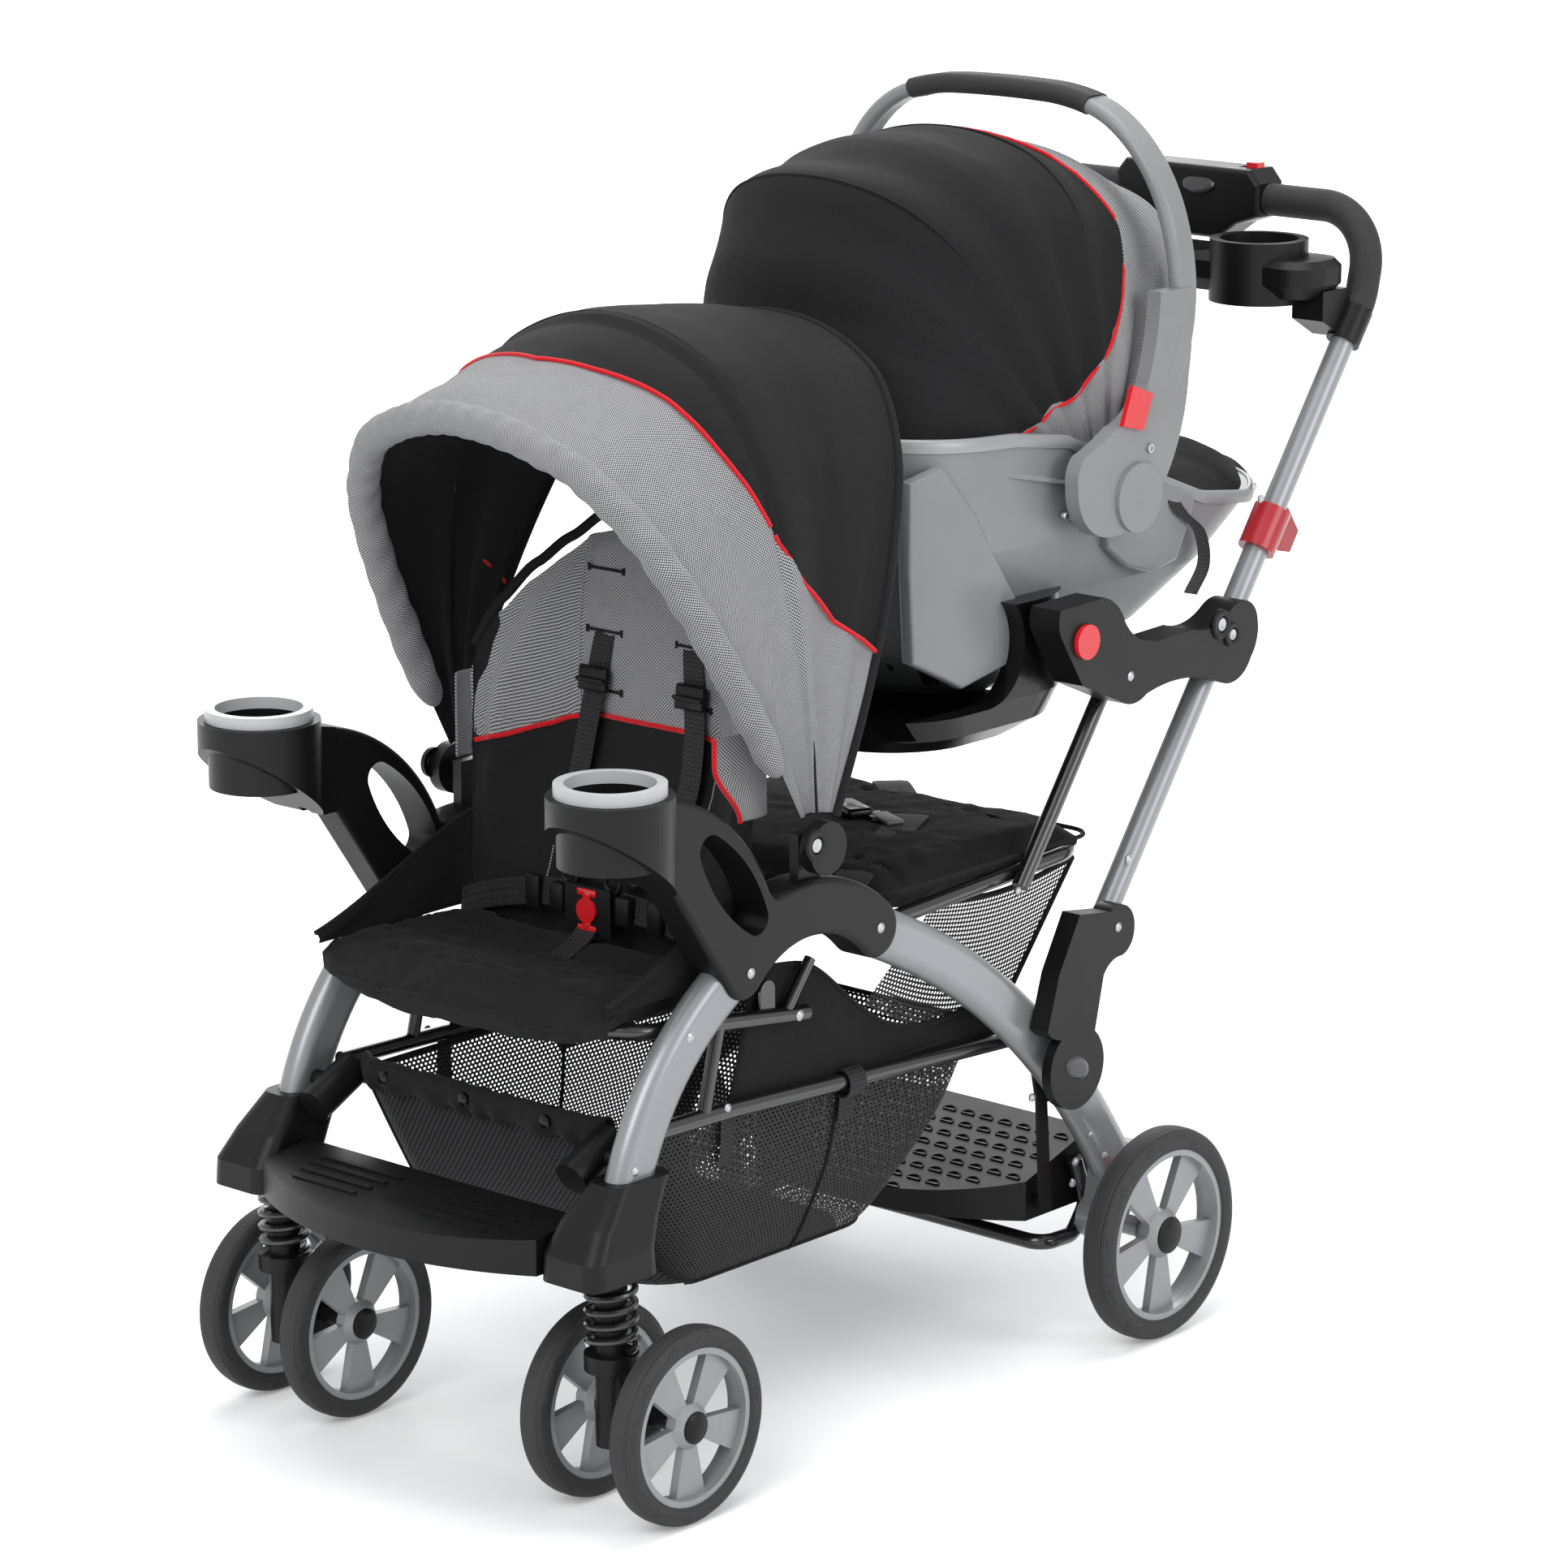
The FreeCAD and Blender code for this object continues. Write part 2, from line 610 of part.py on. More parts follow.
def smooth(points, headings=None):
    """A line of tangent arcs through points, two arcs between each pair."""
    if headings is None:
        headings = []
        for index in range(len(points)):
            before, after = points[max(index - 1, 0)], points[min(index + 1, len(points) - 1)]
            headings.append((after - before).normalize())
    edges = []
    for a, b, ahead, onward in zip(points, points[1:], headings, headings[1:]):
        span, both = b - a, ahead + onward
        bend = 2 * (1 - ahead.dot(onward))
        along = span.dot(both)
        if bend < 1e-9:
            reach = span.dot(span) / (4 * span.dot(onward))
        else:
            reach = (math.sqrt(along * along + bend * span.dot(span)) - along) / bend
        joint = (a + ahead * reach + b - onward * reach) * 0.5
        middle_heading = (b - onward * reach - a - ahead * reach).normalize()
        edges.append(arc_from(a, ahead, joint).toShape())
        edges.append(arc_from(joint, middle_heading, b).toShape())
    return Part.Wire(edges)


def start_of(path):
    """A path's first point and its heading there."""
    start = path.OrderedVertexes[0].Point
    edge = path.OrderedEdges[0]
    first = (edge.valueAt(edge.FirstParameter) - start).Length < s.running_gap / 100
    heading = edge.tangentAt(edge.FirstParameter if first else edge.LastParameter)
    return start, heading if first else heading * -1


def tube(path, radius):
    """One unbroken round rod along a path."""
    start, heading = start_of(path)
    ring = Part.Wire(Part.Circle(start, heading, radius).toShape())
    return outward(path.makePipeShell([ring], True, False))


def outward(solid):
    """The same solid with its faces pointing out of the material."""
    return solid if solid.Volume > 0 else solid.reversed()


def oval_tube(path, depth, width):
    """One unbroken flat-sided oval rod along a path, its width across the stroller at the start."""
    start, heading = start_of(path)
    across = V(1, 0, 0)
    along = heading.cross(across).normalize()
    r = width / 2
    a, b = start + along * (depth / 2 - r), start - along * (depth / 2 - r)
    side = across * r
    edges = [
        Part.LineSegment(b + side, a + side),
        Part.Arc(a + side, a + along * r, a - side),
        Part.LineSegment(a - side, b - side),
        Part.Arc(b - side, b - along * r, b + side),
    ]
    return outward(path.makePipeShell([Part.Wire([e.toShape() for e in edges])], True, False))


def hoop(points, radius, section):
    """A rod bent round from one side of the stroller to the other through mirrored points."""
    other = [V(-p.x, p.y, p.z) for p in reversed(points)]
    return tube(bent(points + other, radius), section)


def side_points(x, shares):
    """Points of a side table at one distance from the stroller's middle."""
    return [V(x, y, z) for y, z in scaled(shares)]


def prism(x, shares, width):
    """A straight-sided solid on a side table, from x across a width."""
    points = side_points(x, shares)
    return Part.Face(Part.makePolygon(points + points[:1])).extrude(V(width, 0, 0))


def rod(radius, start, end):
    """A solid cylinder between two points."""
    return Part.makeCylinder(radius, (end - start).Length, start, end - start)


def block(x0, x1, y0, y1, z0, z1):
    """A straight block between two opposite corners."""
    return Part.makeBox(x1 - x0, y1 - y0, z1 - z0, V(x0, y0, z0))


def round_box(x, y, z, half_x, half_y, corner):
    """A level rounded rectangle about (x, y), as a wire of four quarter arcs and four lines."""
    slope = math.sqrt(0.5)
    stops = []
    for sx, sy in ((1, 1), (-1, 1), (-1, -1), (1, -1)):
        cx, cy = x + sx * (half_x - corner), y + sy * (half_y - corner)
        in_x, in_y = V(cx + sx * corner, cy, z), V(cx, cy + sy * corner, z)
        middle = V(cx + sx * corner * slope, cy + sy * corner * slope, z)
        stops.append((in_x, middle, in_y) if sx == sy else (in_y, middle, in_x))
    edges = []
    for index, (start, middle, end) in enumerate(stops):
        edges.append(Part.Arc(start, middle, end).toShape())
        edges.append(Part.LineSegment(end, stops[(index + 1) % 4][0]).toShape())
    return Part.Wire(edges)


def lofted(wires, ruled=False):
    """A closed solid through wires with equal numbers of edges."""
    return Part.makeLoft(wires, True, ruled)


# Wheels: a tyre on a five-spoked rim that turns on its axle

def tyre(name, wheel, rim_radius, width):
    """A tyre with a flat tread and sloping shoulders, turned about the axle."""
    body = body_of(name)
    half, shoulder = f"{width} / 2", f"{wheel} - tyre_shoulder"
    profile = outline(sketch_on(body, name + "_profile", "XZ_Plane"), [
        (f"-{half}", rim_radius), (half, rim_radius), (half, shoulder), (f"{half} / 2", wheel),
        (f"-{half} / 2", wheel), (f"-{half}", shoulder)])
    turned = body.newObject("PartDesign::Revolution", name + "_turned")
    turned.Profile = profile
    turned.ReferenceAxis = (profile, ["H_Axis"])
    return body


def rim(name, outer, hub, width):
    """A rim: hub, web and barrel turned as one, with five windows between the spokes."""
    body = body_of(name)
    half, barrel, web = f"({width} - rim_wall) / 2", f"({outer} - rim_wall)", "rim_web / 2"
    bore = "axle_radius + shaft_gap"
    profile = outline(sketch_on(body, name + "_profile", "XZ_Plane"), [
        (f"-{half}", bore), (half, bore), (half, hub), (web, f"{hub} + rim_wall"),
        (web, barrel), (half, barrel), (half, outer), (f"-{half}", outer),
        (f"-{half}", barrel), (f"-{web}", barrel), (f"-{web}", f"{hub} + rim_wall"),
        (f"-{half}", hub)])
    turned = body.newObject("PartDesign::Revolution", name + "_turned")
    turned.Profile = profile
    turned.ReferenceAxis = (profile, ["H_Axis"])
    doc.recompute()
    root, tip = f"({hub} + rim_wall + running_gap)", f"({barrel} - running_gap)"
    root_half = f"({root} * 0.588 - spoke_root / 2)"
    root_up = f"{root} * 0.95"
    tip_half = f"({tip} * 0.588 - spoke_tip / 2)"
    tip_up = f"sqrt({tip} ^ 2 - {tip_half} ^ 2)"
    window = pocketed(body, name + "_window", "YZ_Plane", [
        (f"-{root_half}", root_up), (root_half, root_up), (tip_half, tip_up, tip),
        (f"-{tip_half}", tip_up)], "rim_web + cut_overrun")
    around = body.newObject("PartDesign::PolarPattern", name + "_spokes")
    around.Originals = [window]
    around.Axis = (own_plane(body, "X_Axis"), [""])
    around.Angle = 360
    around.Occurrences = 5
    body.Tip = around
    return body


def make_wheel(name, across, back, wheel_radius, rim_radius, hub, width):
    """Keep a tyre and its rim at one place."""
    for label, body in ((f"{name}_tyre", tyre(f"{name}_tyre", wheel_radius, rim_radius, width)),
                        (f"{name}_rim", rim(f"{name}_rim", rim_radius, hub, width))):
        keep(label, place(body, across, back, wheel_radius))


def make_wheels():
    """Two wheels on each caster and one at each end of the rear."""
    for side, sign in (("left", ""), ("right", "-")):
        for twin, offset in (("outer", "+"), ("inner", "-")):
            across = f"{sign}(caster_across {offset} twin_spacing / 2)"
            make_wheel(f"front_{side}_{twin}", across, "0", "front_wheel_radius",
                       "front_rim_radius", "front_hub_radius", "front_tyre_width")
        make_wheel(f"rear_{side}", f"{sign}rear_wheel_across", "wheelbase", "rear_wheel_radius",
                   "rear_rim_radius", "rear_hub_radius", "rear_tyre_width")


# Legs and casters

def leg(shares, bend, gap=0.0):
    """A leg bent from oval tube, or the clearance that it needs in another piece."""
    path = bent(side_points(s.leg_across, shares), bend)
    return oval_tube(path, s.leg_depth + 2 * gap, s.leg_width + 2 * gap)


def make_legs():
    """The front legs, and the rear legs with the brackets and stub axles at their feet."""
    front = leg(FRONT_LEG_SHARES, s.front_leg_bend)
    keep_shapes("front_legs", front, mirrored(front))
    rear = leg(REAR_LEG_SHARES, s.rear_leg_bend)
    y, z, half = s.wheelbase, s.rear_wheel_radius, s.bracket_width / 2
    inner, outer = s.leg_across - half, s.leg_across + half
    reach = s.rear_wheel_across + (s.rear_tyre_width - s.rim_wall) / 2
    hub_face = s.rear_wheel_across - (s.rear_tyre_width - s.rim_wall) / 2
    boss = rod(s.axle_radius * 2, V(outer, y, z), V(hub_face - s.running_gap, y, z))
    stub = rod(s.axle_radius, V(inner, y, z), V(reach, y, z))
    (pin_y, pin_z), = scaled(PEDAL_PIN_SHARES)
    pin_end = outer + s.running_gap + s.pedal_width + s.running_gap
    pin = rod(s.pedal_pin, V(outer, pin_y, pin_z), V(pin_end, pin_y, pin_z))
    eye = rod(s.bracket_radius, V(inner, y, z), V(outer, y, z))
    bracket = prism(inner, BRACKET_SHARES, s.bracket_width).fuse([eye, boss, stub, pin])
    bracket = bracket.removeSplitter().cut(rear)
    keep_shapes("rear_legs", rear, bracket, mirrored(rear), mirrored(bracket))


def make_casters():
    """The housings over the struts, and each caster's coil spring and fork."""
    x, y, low = s.caster_across, -s.caster_ahead, s.housing_floor
    half = s.housing_width / 2
    middle = s.foot_half_width + s.running_gap + half
    corner = s.housing_corner
    rise = s.housing_height
    back = s.caster_ahead * 1.4
    wires = [
        round_box(middle, -back, low, half, half * 1.25, corner),
        round_box(middle, -back, low + rise * 0.3, half * 0.97, half * 1.22, corner),
        round_box(s.leg_across, -back * 0.7, low + rise * 0.62, half * 0.84, half * 1.15, corner),
        round_box(s.leg_across, -back * 0.2, low + rise, half * 0.6, half * 1.05, corner),
    ]
    top = low + s.strut_socket + s.suspension_travel + s.running_gap
    socket = rod(s.strut_radius + s.running_gap, V(x, y, low - s.cut_overrun), V(x, y, top))
    housing = lofted(wires, ruled=True).cut([leg(FRONT_LEG_SHARES, s.front_leg_bend, s.running_gap), socket])
    housing = max(housing.Solids, key=lambda solid: solid.Volume)
    keep_shapes("caster_housings", housing, mirrored(housing))
    for side, sign in (("left", 1), ("right", -1)):
        keep_shapes(f"caster_spring_{side}", coil(sign * x, y))
        keep_shapes(f"caster_fork_{side}", fork(sign * x, y))


def coil(x, y):
    """A suspension spring as one unbroken wire, climbing steadily in quarter turns."""
    r, wire = s.spring_radius, s.spring_wire / 2
    bottom = s.fork_seat + s.running_gap + wire
    climb = s.housing_floor - s.running_gap - wire - bottom
    steps = int(s.spring_turns * 4)
    rise = climb / steps / (math.pi / 2)
    points, headings = [], []
    for step in range(steps + 1):
        angle = math.pi / 2 * step
        points.append(V(x + r * math.cos(angle), y + r * math.sin(angle), bottom + climb * step / steps))
        headings.append(V(-r * math.sin(angle), r * math.cos(angle), rise).normalize())
    path = smooth(points, headings)
    side = headings[0].cross(V(0, 0, 1)).normalize()
    lift = side.cross(headings[0])
    turn = math.pi / 4
    ring = []
    for corner in range(9):
        reach, rise = wire * math.cos(turn * corner), wire * math.sin(turn * corner)
        ring.append(points[0] + side * reach + lift * rise)
    apart = len(path.Edges) * 2
    spots = path.discretize(Number=4 * apart)
    gap = min((a - b).Length for i, a in enumerate(spots) for b in spots[i + apart // 5 * 2:]) - s.spring_wire
    print(f"spring: {s.spring_turns:.0f} turns, least gap to itself {gap:.2f} mm")
    return path.makePipeShell([Part.makePolygon(ring)], True, False)


def fork(x, y):
    """A caster's fork: strut in the housing, spring seat, arm between the wheels, and axle."""
    low, top = s.fork_foot, s.housing_floor + s.strut_socket
    strut = rod(s.strut_radius, V(x, y, low), V(x, y, top))
    seat = rod(s.spring_radius + s.spring_wire / 2, V(x, y, s.fork_collar), V(x, y, s.fork_seat))
    half, z = s.fork_arm_width / 2, s.front_wheel_radius
    corners = [V(x - half, y, low), V(x - half, half, z - half), V(x - half, half, z + half),
               V(x - half, y + half, s.fork_collar), V(x - half, y, s.fork_collar)]
    arm = Part.Face(Part.makePolygon(corners + corners[:1])).extrude(V(s.fork_arm_width, 0, 0))
    face = (s.twin_spacing - s.front_tyre_width + s.rim_wall) / 2 - s.running_gap
    boss = rod(s.axle_radius * 2, V(x - face, 0, z), V(x + face, 0, z))
    end = (s.twin_spacing + s.front_tyre_width - s.rim_wall) / 2
    axle = rod(s.axle_radius, V(x - end, 0, z), V(x + end, 0, z))
    return strut.fuse([seat, arm, boss, axle]).removeSplitter()


# Armrests, cup holders and foot platform

def make_armrests():
    """Each armrest arches over both legs and carries a cup holder ahead of its finger hole."""
    body = body_of("armrest")
    pad = padded(body, "armrest", "YZ_Plane", ARM_SHARES, "arm_width")
    seam = s.wheelbase * ARM_SHARES[0][0]
    face = s.arm_width / 2
    near = s.running_gap
    rounded(body, "armrest", pad, "arm_rounding",
            lambda middle: abs(abs(middle.x) - face) < near and middle.y > seam + near)
    doc.recompute()
    pocketed(body, "finger_hole", "YZ_Plane", ARM_HOLE_SHARES, "arm_width + cut_overrun")
    place(body, "leg_across")
    front = feature("front_leg_clearance", leg(FRONT_LEG_SHARES, s.front_leg_bend, s.running_gap))
    rear = feature("rear_leg_clearance", leg(REAR_LEG_SHARES, s.rear_leg_bend, s.running_gap))
    behind = combined("Cut", "armrest_over_rear_leg", body, rear)
    keep_pair("armrests", combined("Cut", "armrest_socketed", behind, front))


CUP_TOP = f"(wheelbase * {ARM_SHARES[8][1]} + cup_rise)"


def make_cups():
    """Cup holders with slanted skirts, each with a slot and a pin for its lever."""
    at = ("cup_across", "-cup_ahead")
    rim_part = primitive("Cylinder", "cup_rim", (*at, f"{CUP_TOP} - cup_height"), Radius="cup_radius",
                         Height="cup_height")
    neck = plate("cup_neck", CUP_SHOULDER_SHARES, "arm_width", "leg_across")
    joined = combined("Fuse", "cup_joined", rim_part, neck)
    skirt = plate("cup_skirt", CUP_SKIRT_SHARES, "cup_radius * 4", "cup_across")
    skirted = combined("Cut", "cup_skirted", joined, skirt)
    pot = primitive("Cylinder", "cup_pot", (*at, f"{CUP_TOP} - cup_depth - cup_wall"),
                    Radius="cup_bore + cup_wall", Height="cup_depth")
    whole = combined("Fuse", "cup_whole", skirted, pot)
    bore = primitive("Cylinder", "cup_bore_tool", (*at, f"{CUP_TOP} - cup_depth"), Radius="cup_bore",
                     Height="cup_depth + cut_overrun")
    slot = plate("lever_slot", LEVER_SLOT_SHARES, "lever_width + 4 * running_gap", "leg_across")
    slotted = combined("Cut", "cup_slotted", whole, bore, slot)
    pinned = combined("Fuse", "cup_pinned", slotted, lever_pin("lever_pin_rod", "lever_pin"))
    keep_pair("cup_holders", pinned)


def lever_pin(name, radius):
    """A round rod on the lever's axis, as long as the lever and its side gaps."""
    half = "(lever_width / 2 + 3 * running_gap)"
    (back, up), = LEVER_PIN_SHARES
    at = (f"leg_across - {half}", f"wheelbase * {back}", f"wheelbase * {up}")
    return primitive("Cylinder", name, at, ACROSS, Radius=radius, Height=f"2 * {half}")



def make_cup_details():
    """Pale rings on the cup holders and the red levers behind them."""
    at = ("cup_across", "-cup_ahead")
    ring = primitive("Cylinder", "ring_outer", (*at, f"{CUP_TOP} + running_gap"),
                     Radius="cup_radius - cup_wall", Height="ring_height")
    hole = primitive("Cylinder", "ring_hole", (*at, CUP_TOP), Radius="cup_bore",
                     Height="ring_height + cut_overrun")
    keep_pair("cup_rings", combined("Cut", "cup_ring", ring, hole))
    lever = plate("cup_lever", LEVER_SHARES, "lever_width", "leg_across")
    bored = combined("Cut", "cup_lever_bored", lever, lever_pin("lever_bore", "lever_pin + shaft_gap"))
    keep_sides("cup_lever", bored)


def make_foot_platform():
    """The moulded step between the casters, hollow underneath, with curved ribs on top."""
    (back, corner), = scaled(FOOT_CORNER_SHARES)
    half, bend = s.foot_half_width, s.foot_bend

    def slab(inset, lift):
        sagitta = bend - math.sqrt(bend * bend - (half - inset) ** 2)
        front = corner + inset
        a, b = V(half - inset, front, 0), V(-half + inset, front, 0)
        edges = [
            Part.LineSegment(V(-half + inset, back - inset, 0), V(half - inset, back - inset, 0)),
            Part.LineSegment(V(half - inset, back - inset, 0), a),
            Part.Arc(a, V(0, front - sagitta, 0), b),
            Part.LineSegment(b, V(-half + inset, back - inset, 0)),
        ]
        plan = Part.Face(Part.Wire([e.toShape() for e in edges])).extrude(V(0, 0, s.wheelbase))
        side = prism(-half, FOOT_SIDE_SHARES, 2 * half)
        side.translate(V(0, 0, lift))
        return plan.common(side)

    hollow = slab(s.foot_wall, -s.foot_wall)
    shell = slab(0, 0).cut(hollow)
    raised = slab(s.foot_wall, s.rib_height)
    ribs = []
    (near, ahead), = scaled([(FOOT_SIDE_SHARES[2][0], FOOT_SIDE_SHARES[3][0])])
    for side in (-1, 1):
        for row in range(4):
            centre = near - s.rib_pitch * (row - 0.6)
            reach = s.rib_length * (1 - row * 0.09)
            x = side * s.foot_half_width * 0.47
            ribs.append(block(x - reach / 2, x + reach / 2, centre - s.rib_width, centre,
                              s.housing_floor + s.foot_wall * 4, s.housing_floor + s.housing_height))
    treads = raised.common(Part.makeCompound(ribs)).cut(hollow)
    keep_shapes("foot_platform", shell.fuse(treads).removeSplitter())


def make_under_frame():
    """Seat and bench tubes with the basket rails, knobs, tray tubes and the platform's stay."""
    x, r = s.rail_across, s.rail_radius
    seat = hoop(side_points(x, SEAT_RAIL_SHARES), s.rail_bend, r)
    basket_rail = tube(bent(side_points(x, BASKET_RAIL_SHARES), s.rail_bend * 2), r)
    low, high = side_points(x, SEAT_STRUT_SHARES)
    strut = rod(r * 0.8, low, high)
    upper, lower = side_points(x, SEAT_HANGER_SHARES)
    hanger = rod(r * 0.7, upper, lower)
    lug_x = s.seat_half_width + s.running_gap * 2
    y, z = s.recline_back, s.recline_height
    lug = rod(s.recline_pin * 2.5, V(lug_x, y, z), V(lug_x + s.recline_lug, y, z)).fuse(
        block(lug_x, lug_x + s.recline_lug, y - s.recline_pin * 2.5, y + s.recline_pin * 2.5, z - r * 3, z))
    pin = rod(s.recline_pin, V(lug_x - s.recline_lug * 6, y, z), V(lug_x, y, z))
    side = [basket_rail, strut, hanger, lug, pin]
    welded = seat.fuse(side + [mirrored(part) for part in side]).removeSplitter()
    bench = hoop(side_points(x, BENCH_RAIL_SHARES), s.rail_bend, r)
    keep_shapes("seat_frame", welded, bench)
    keep_pair("rail_connectors", knob())
    start, end = side_points(s.tray_tube_across, TRAY_TUBE_SHARES)
    tray_tube = primitive_rod("tray_tube", start, end, "tray_tube_radius")
    keep_pair("tray_tubes", tray_tube)
    stay = hoop(side_points(x, STAY_SHARES), s.stay_bend, r)
    keep_shapes("platform_stay", stay)


def primitive_rod(name, start, end, radius):
    """A Part cylinder between two points, its radius bound to the sheet."""
    obj = bind(doc.addObject("Part::Cylinder", name), Radius=radius)
    obj.Height = (end - start).Length
    obj.Placement = FreeCAD.Placement(start, FreeCAD.Rotation(V(0, 0, 1), end - start))
    return obj


def knob():
    """A thick round end with a spigot that reaches the front leg."""
    start, end = side_points(s.knob_across, KNOB_SHARES)
    barrel = primitive_rod("knob_barrel", start, end, "knob_radius")
    stub_at, = side_points(s.knob_across, KNOB_STUB_SHARES)
    face = V(s.leg_across - s.leg_width / 2 - s.running_gap, stub_at.y, stub_at.z)
    return combined("Fuse", "knob", barrel, primitive_rod("knob_spigot", stub_at, face, "rail_radius"))


def make_standing_platform():
    """A half-moon board that rises to the rear, hollow underneath."""
    (corner, back), (front, back) = scaled(STAND_PLAN_SHARES)
    half, bend = s.stand_half_width, s.stand_bend

    def slab(inset, lift):
        sagitta = corner - front
        a, b = V(half - inset, corner + inset, 0), V(-half + inset, corner + inset, 0)
        edges = [
            Part.Arc(b, V(0, corner + inset - sagitta, 0), a),
            Part.LineSegment(a, V(half - inset, back - inset, 0)),
            Part.LineSegment(V(half - inset, back - inset, 0), V(-half + inset, back - inset, 0)),
            Part.LineSegment(V(-half + inset, back - inset, 0), b),
        ]
        plan = Part.Face(Part.Wire([e.toShape() for e in edges])).extrude(V(0, 0, s.wheelbase))
        side = prism(-half, STAND_SIDE_SHARES, 2 * half)
        side.translate(V(0, 0, lift))
        return plan.common(side)

    keep_shapes("standing_platform", slab(0, 0).cut(slab(s.stand_wall, -s.stand_wall)))


def make_links():
    """The fold links over the rear legs, their discs, and the bars down to the platform."""
    push = tube(push_bar_path(), s.bar_radius + s.running_gap)
    middle = "link_inner + link_width / 2"
    cover = plate("fold_link", LINK_SHARES, "link_width", middle)
    (y_share, z_share), _ = LINK_DISC_SHARES
    disc = doc.addObject("Part::Cylinder", "fold_disc")
    bind(disc, Radius="link_width * 1.9", Height="link_width / 2")
    place(disc, middle, f"wheelbase * {y_share}", f"wheelbase * {z_share}", ACROSS)
    joined = combined("Fuse", "fold_link_joined", cover, disc)
    cut = combined("Cut", "fold_link_cut", joined, feature("push_bar_clearance", push))
    lug = plate("platform_lug", LINK_LUG_SHARES, "link_bar_thickness",
                "leg_across - leg_width / 2 - running_gap - link_bar_thickness / 2")
    bar = plate("platform_bar", LINK_BAR_SHARES, "link_bar_thickness",
                "leg_across - leg_width / 2 - running_gap - link_bar_thickness * 1.5")
    pin_end, = side_points(s.leg_across - s.leg_width / 2 - s.link_bar_thickness, LINK_PIN_SHARES)
    pin = primitive_rod("platform_pin", V(s.stand_half_width + s.running_gap, pin_end.y, pin_end.z),
                        pin_end, "rail_radius * 0.75")
    hanger = doc.addObject("Part::MultiFuse", "platform_hanger")
    hanger.Shapes = [lug, bar, pin]
    pair = doc.addObject("Part::Compound", "fold_link_set")
    pair.Links = [cut, hanger]
    keep_pair("fold_links", pair)


def push_bar_path():
    """The push bar's centre line, from the left fold link over the handle to the right one."""
    points = side_points(s.bar_across, PUSH_BAR_SHARES)
    return bent(points + [V(-p.x, p.y, p.z) for p in reversed(points)], s.bar_bend)


def make_push_bar():
    """The push bar, its foam grips, and the console with trigger and slide."""
    path = push_bar_path()
    keep_shapes("push_bar", tube(path, s.bar_radius))
    clearance = tube(path, s.bar_radius + s.running_gap)
    points = side_points(s.bar_across, PUSH_BAR_SHARES)
    (start_y, start_z), (end_x, _) = scaled(GRIP_START_SHARES)
    start = V(s.bar_across, start_y, start_z)
    inner_end = s.wheelbase * CONSOLE_SHARES[5][0] + s.running_gap
    grip_path = bent([start, points[1], points[2], V(inner_end, points[2].y, points[2].z)], s.bar_bend)
    grip = tube(grip_path, s.grip_radius).cut(clearance)
    keep_shapes("handle_grip", grip, mirrored(grip))
    body = body_of("handle_console")
    block_pad = padded(body, "handle_console", "XZ_Plane", CONSOLE_SHARES, "console_depth")
    face = s.console_depth / 2
    rounded(body, "handle_console", block_pad, "console_rounding",
            lambda middle: abs(abs(middle.y) - face) < s.running_gap)
    doc.recompute()
    place(body, "0", "handle_back")
    half, depth = "(trigger_half_length + running_gap)", "trigger_depth + 2 * running_gap"
    low = f"wheelbase * {CONSOLE_SHARES[2][1]}"
    roof = f"{low} + trigger_height + trigger_travel + running_gap"
    pocketed(body, "trigger_well", "XZ_Plane", [
        (f"-{half}", f"{low} - cut_overrun"), (half, f"{low} - cut_overrun"), (half, roof), (f"-{half}", roof)],
        depth)
    top = f"wheelbase * {CONSOLE_SHARES[7][1]}"
    near, far = "slide_across - slide_length / 2 - slide_travel", "slide_across + slide_length / 2"
    floor = f"{top} - slide_height"
    pocketed(body, "slide_slot", "XZ_Plane", [
        (f"{near} - running_gap", floor), (f"{far} + running_gap", floor),
        (f"{far} + running_gap", f"{top} + cut_overrun"), (f"{near} - running_gap", f"{top} + cut_overrun")],
        "slide_width + 2 * running_gap")
    bored = combined("Cut", "console_bored", body, feature("bar_clearance", clearance))
    keep("handle_console", bored)
    trigger = primitive("Box", "fold_trigger", (
        "-trigger_half_length", "handle_back - trigger_depth / 2", f"{low} - running_gap"),
        Length="2 * trigger_half_length", Width="trigger_depth", Height="trigger_height")
    keep("fold_trigger", trigger)
    slide = primitive("Box", "fold_slide", (
        "slide_across - slide_length / 2", "handle_back - slide_width / 2", f"{floor} + running_gap"),
        Length="slide_length", Width="slide_width", Height="2 * slide_height")
    keep("fold_slide", slide)


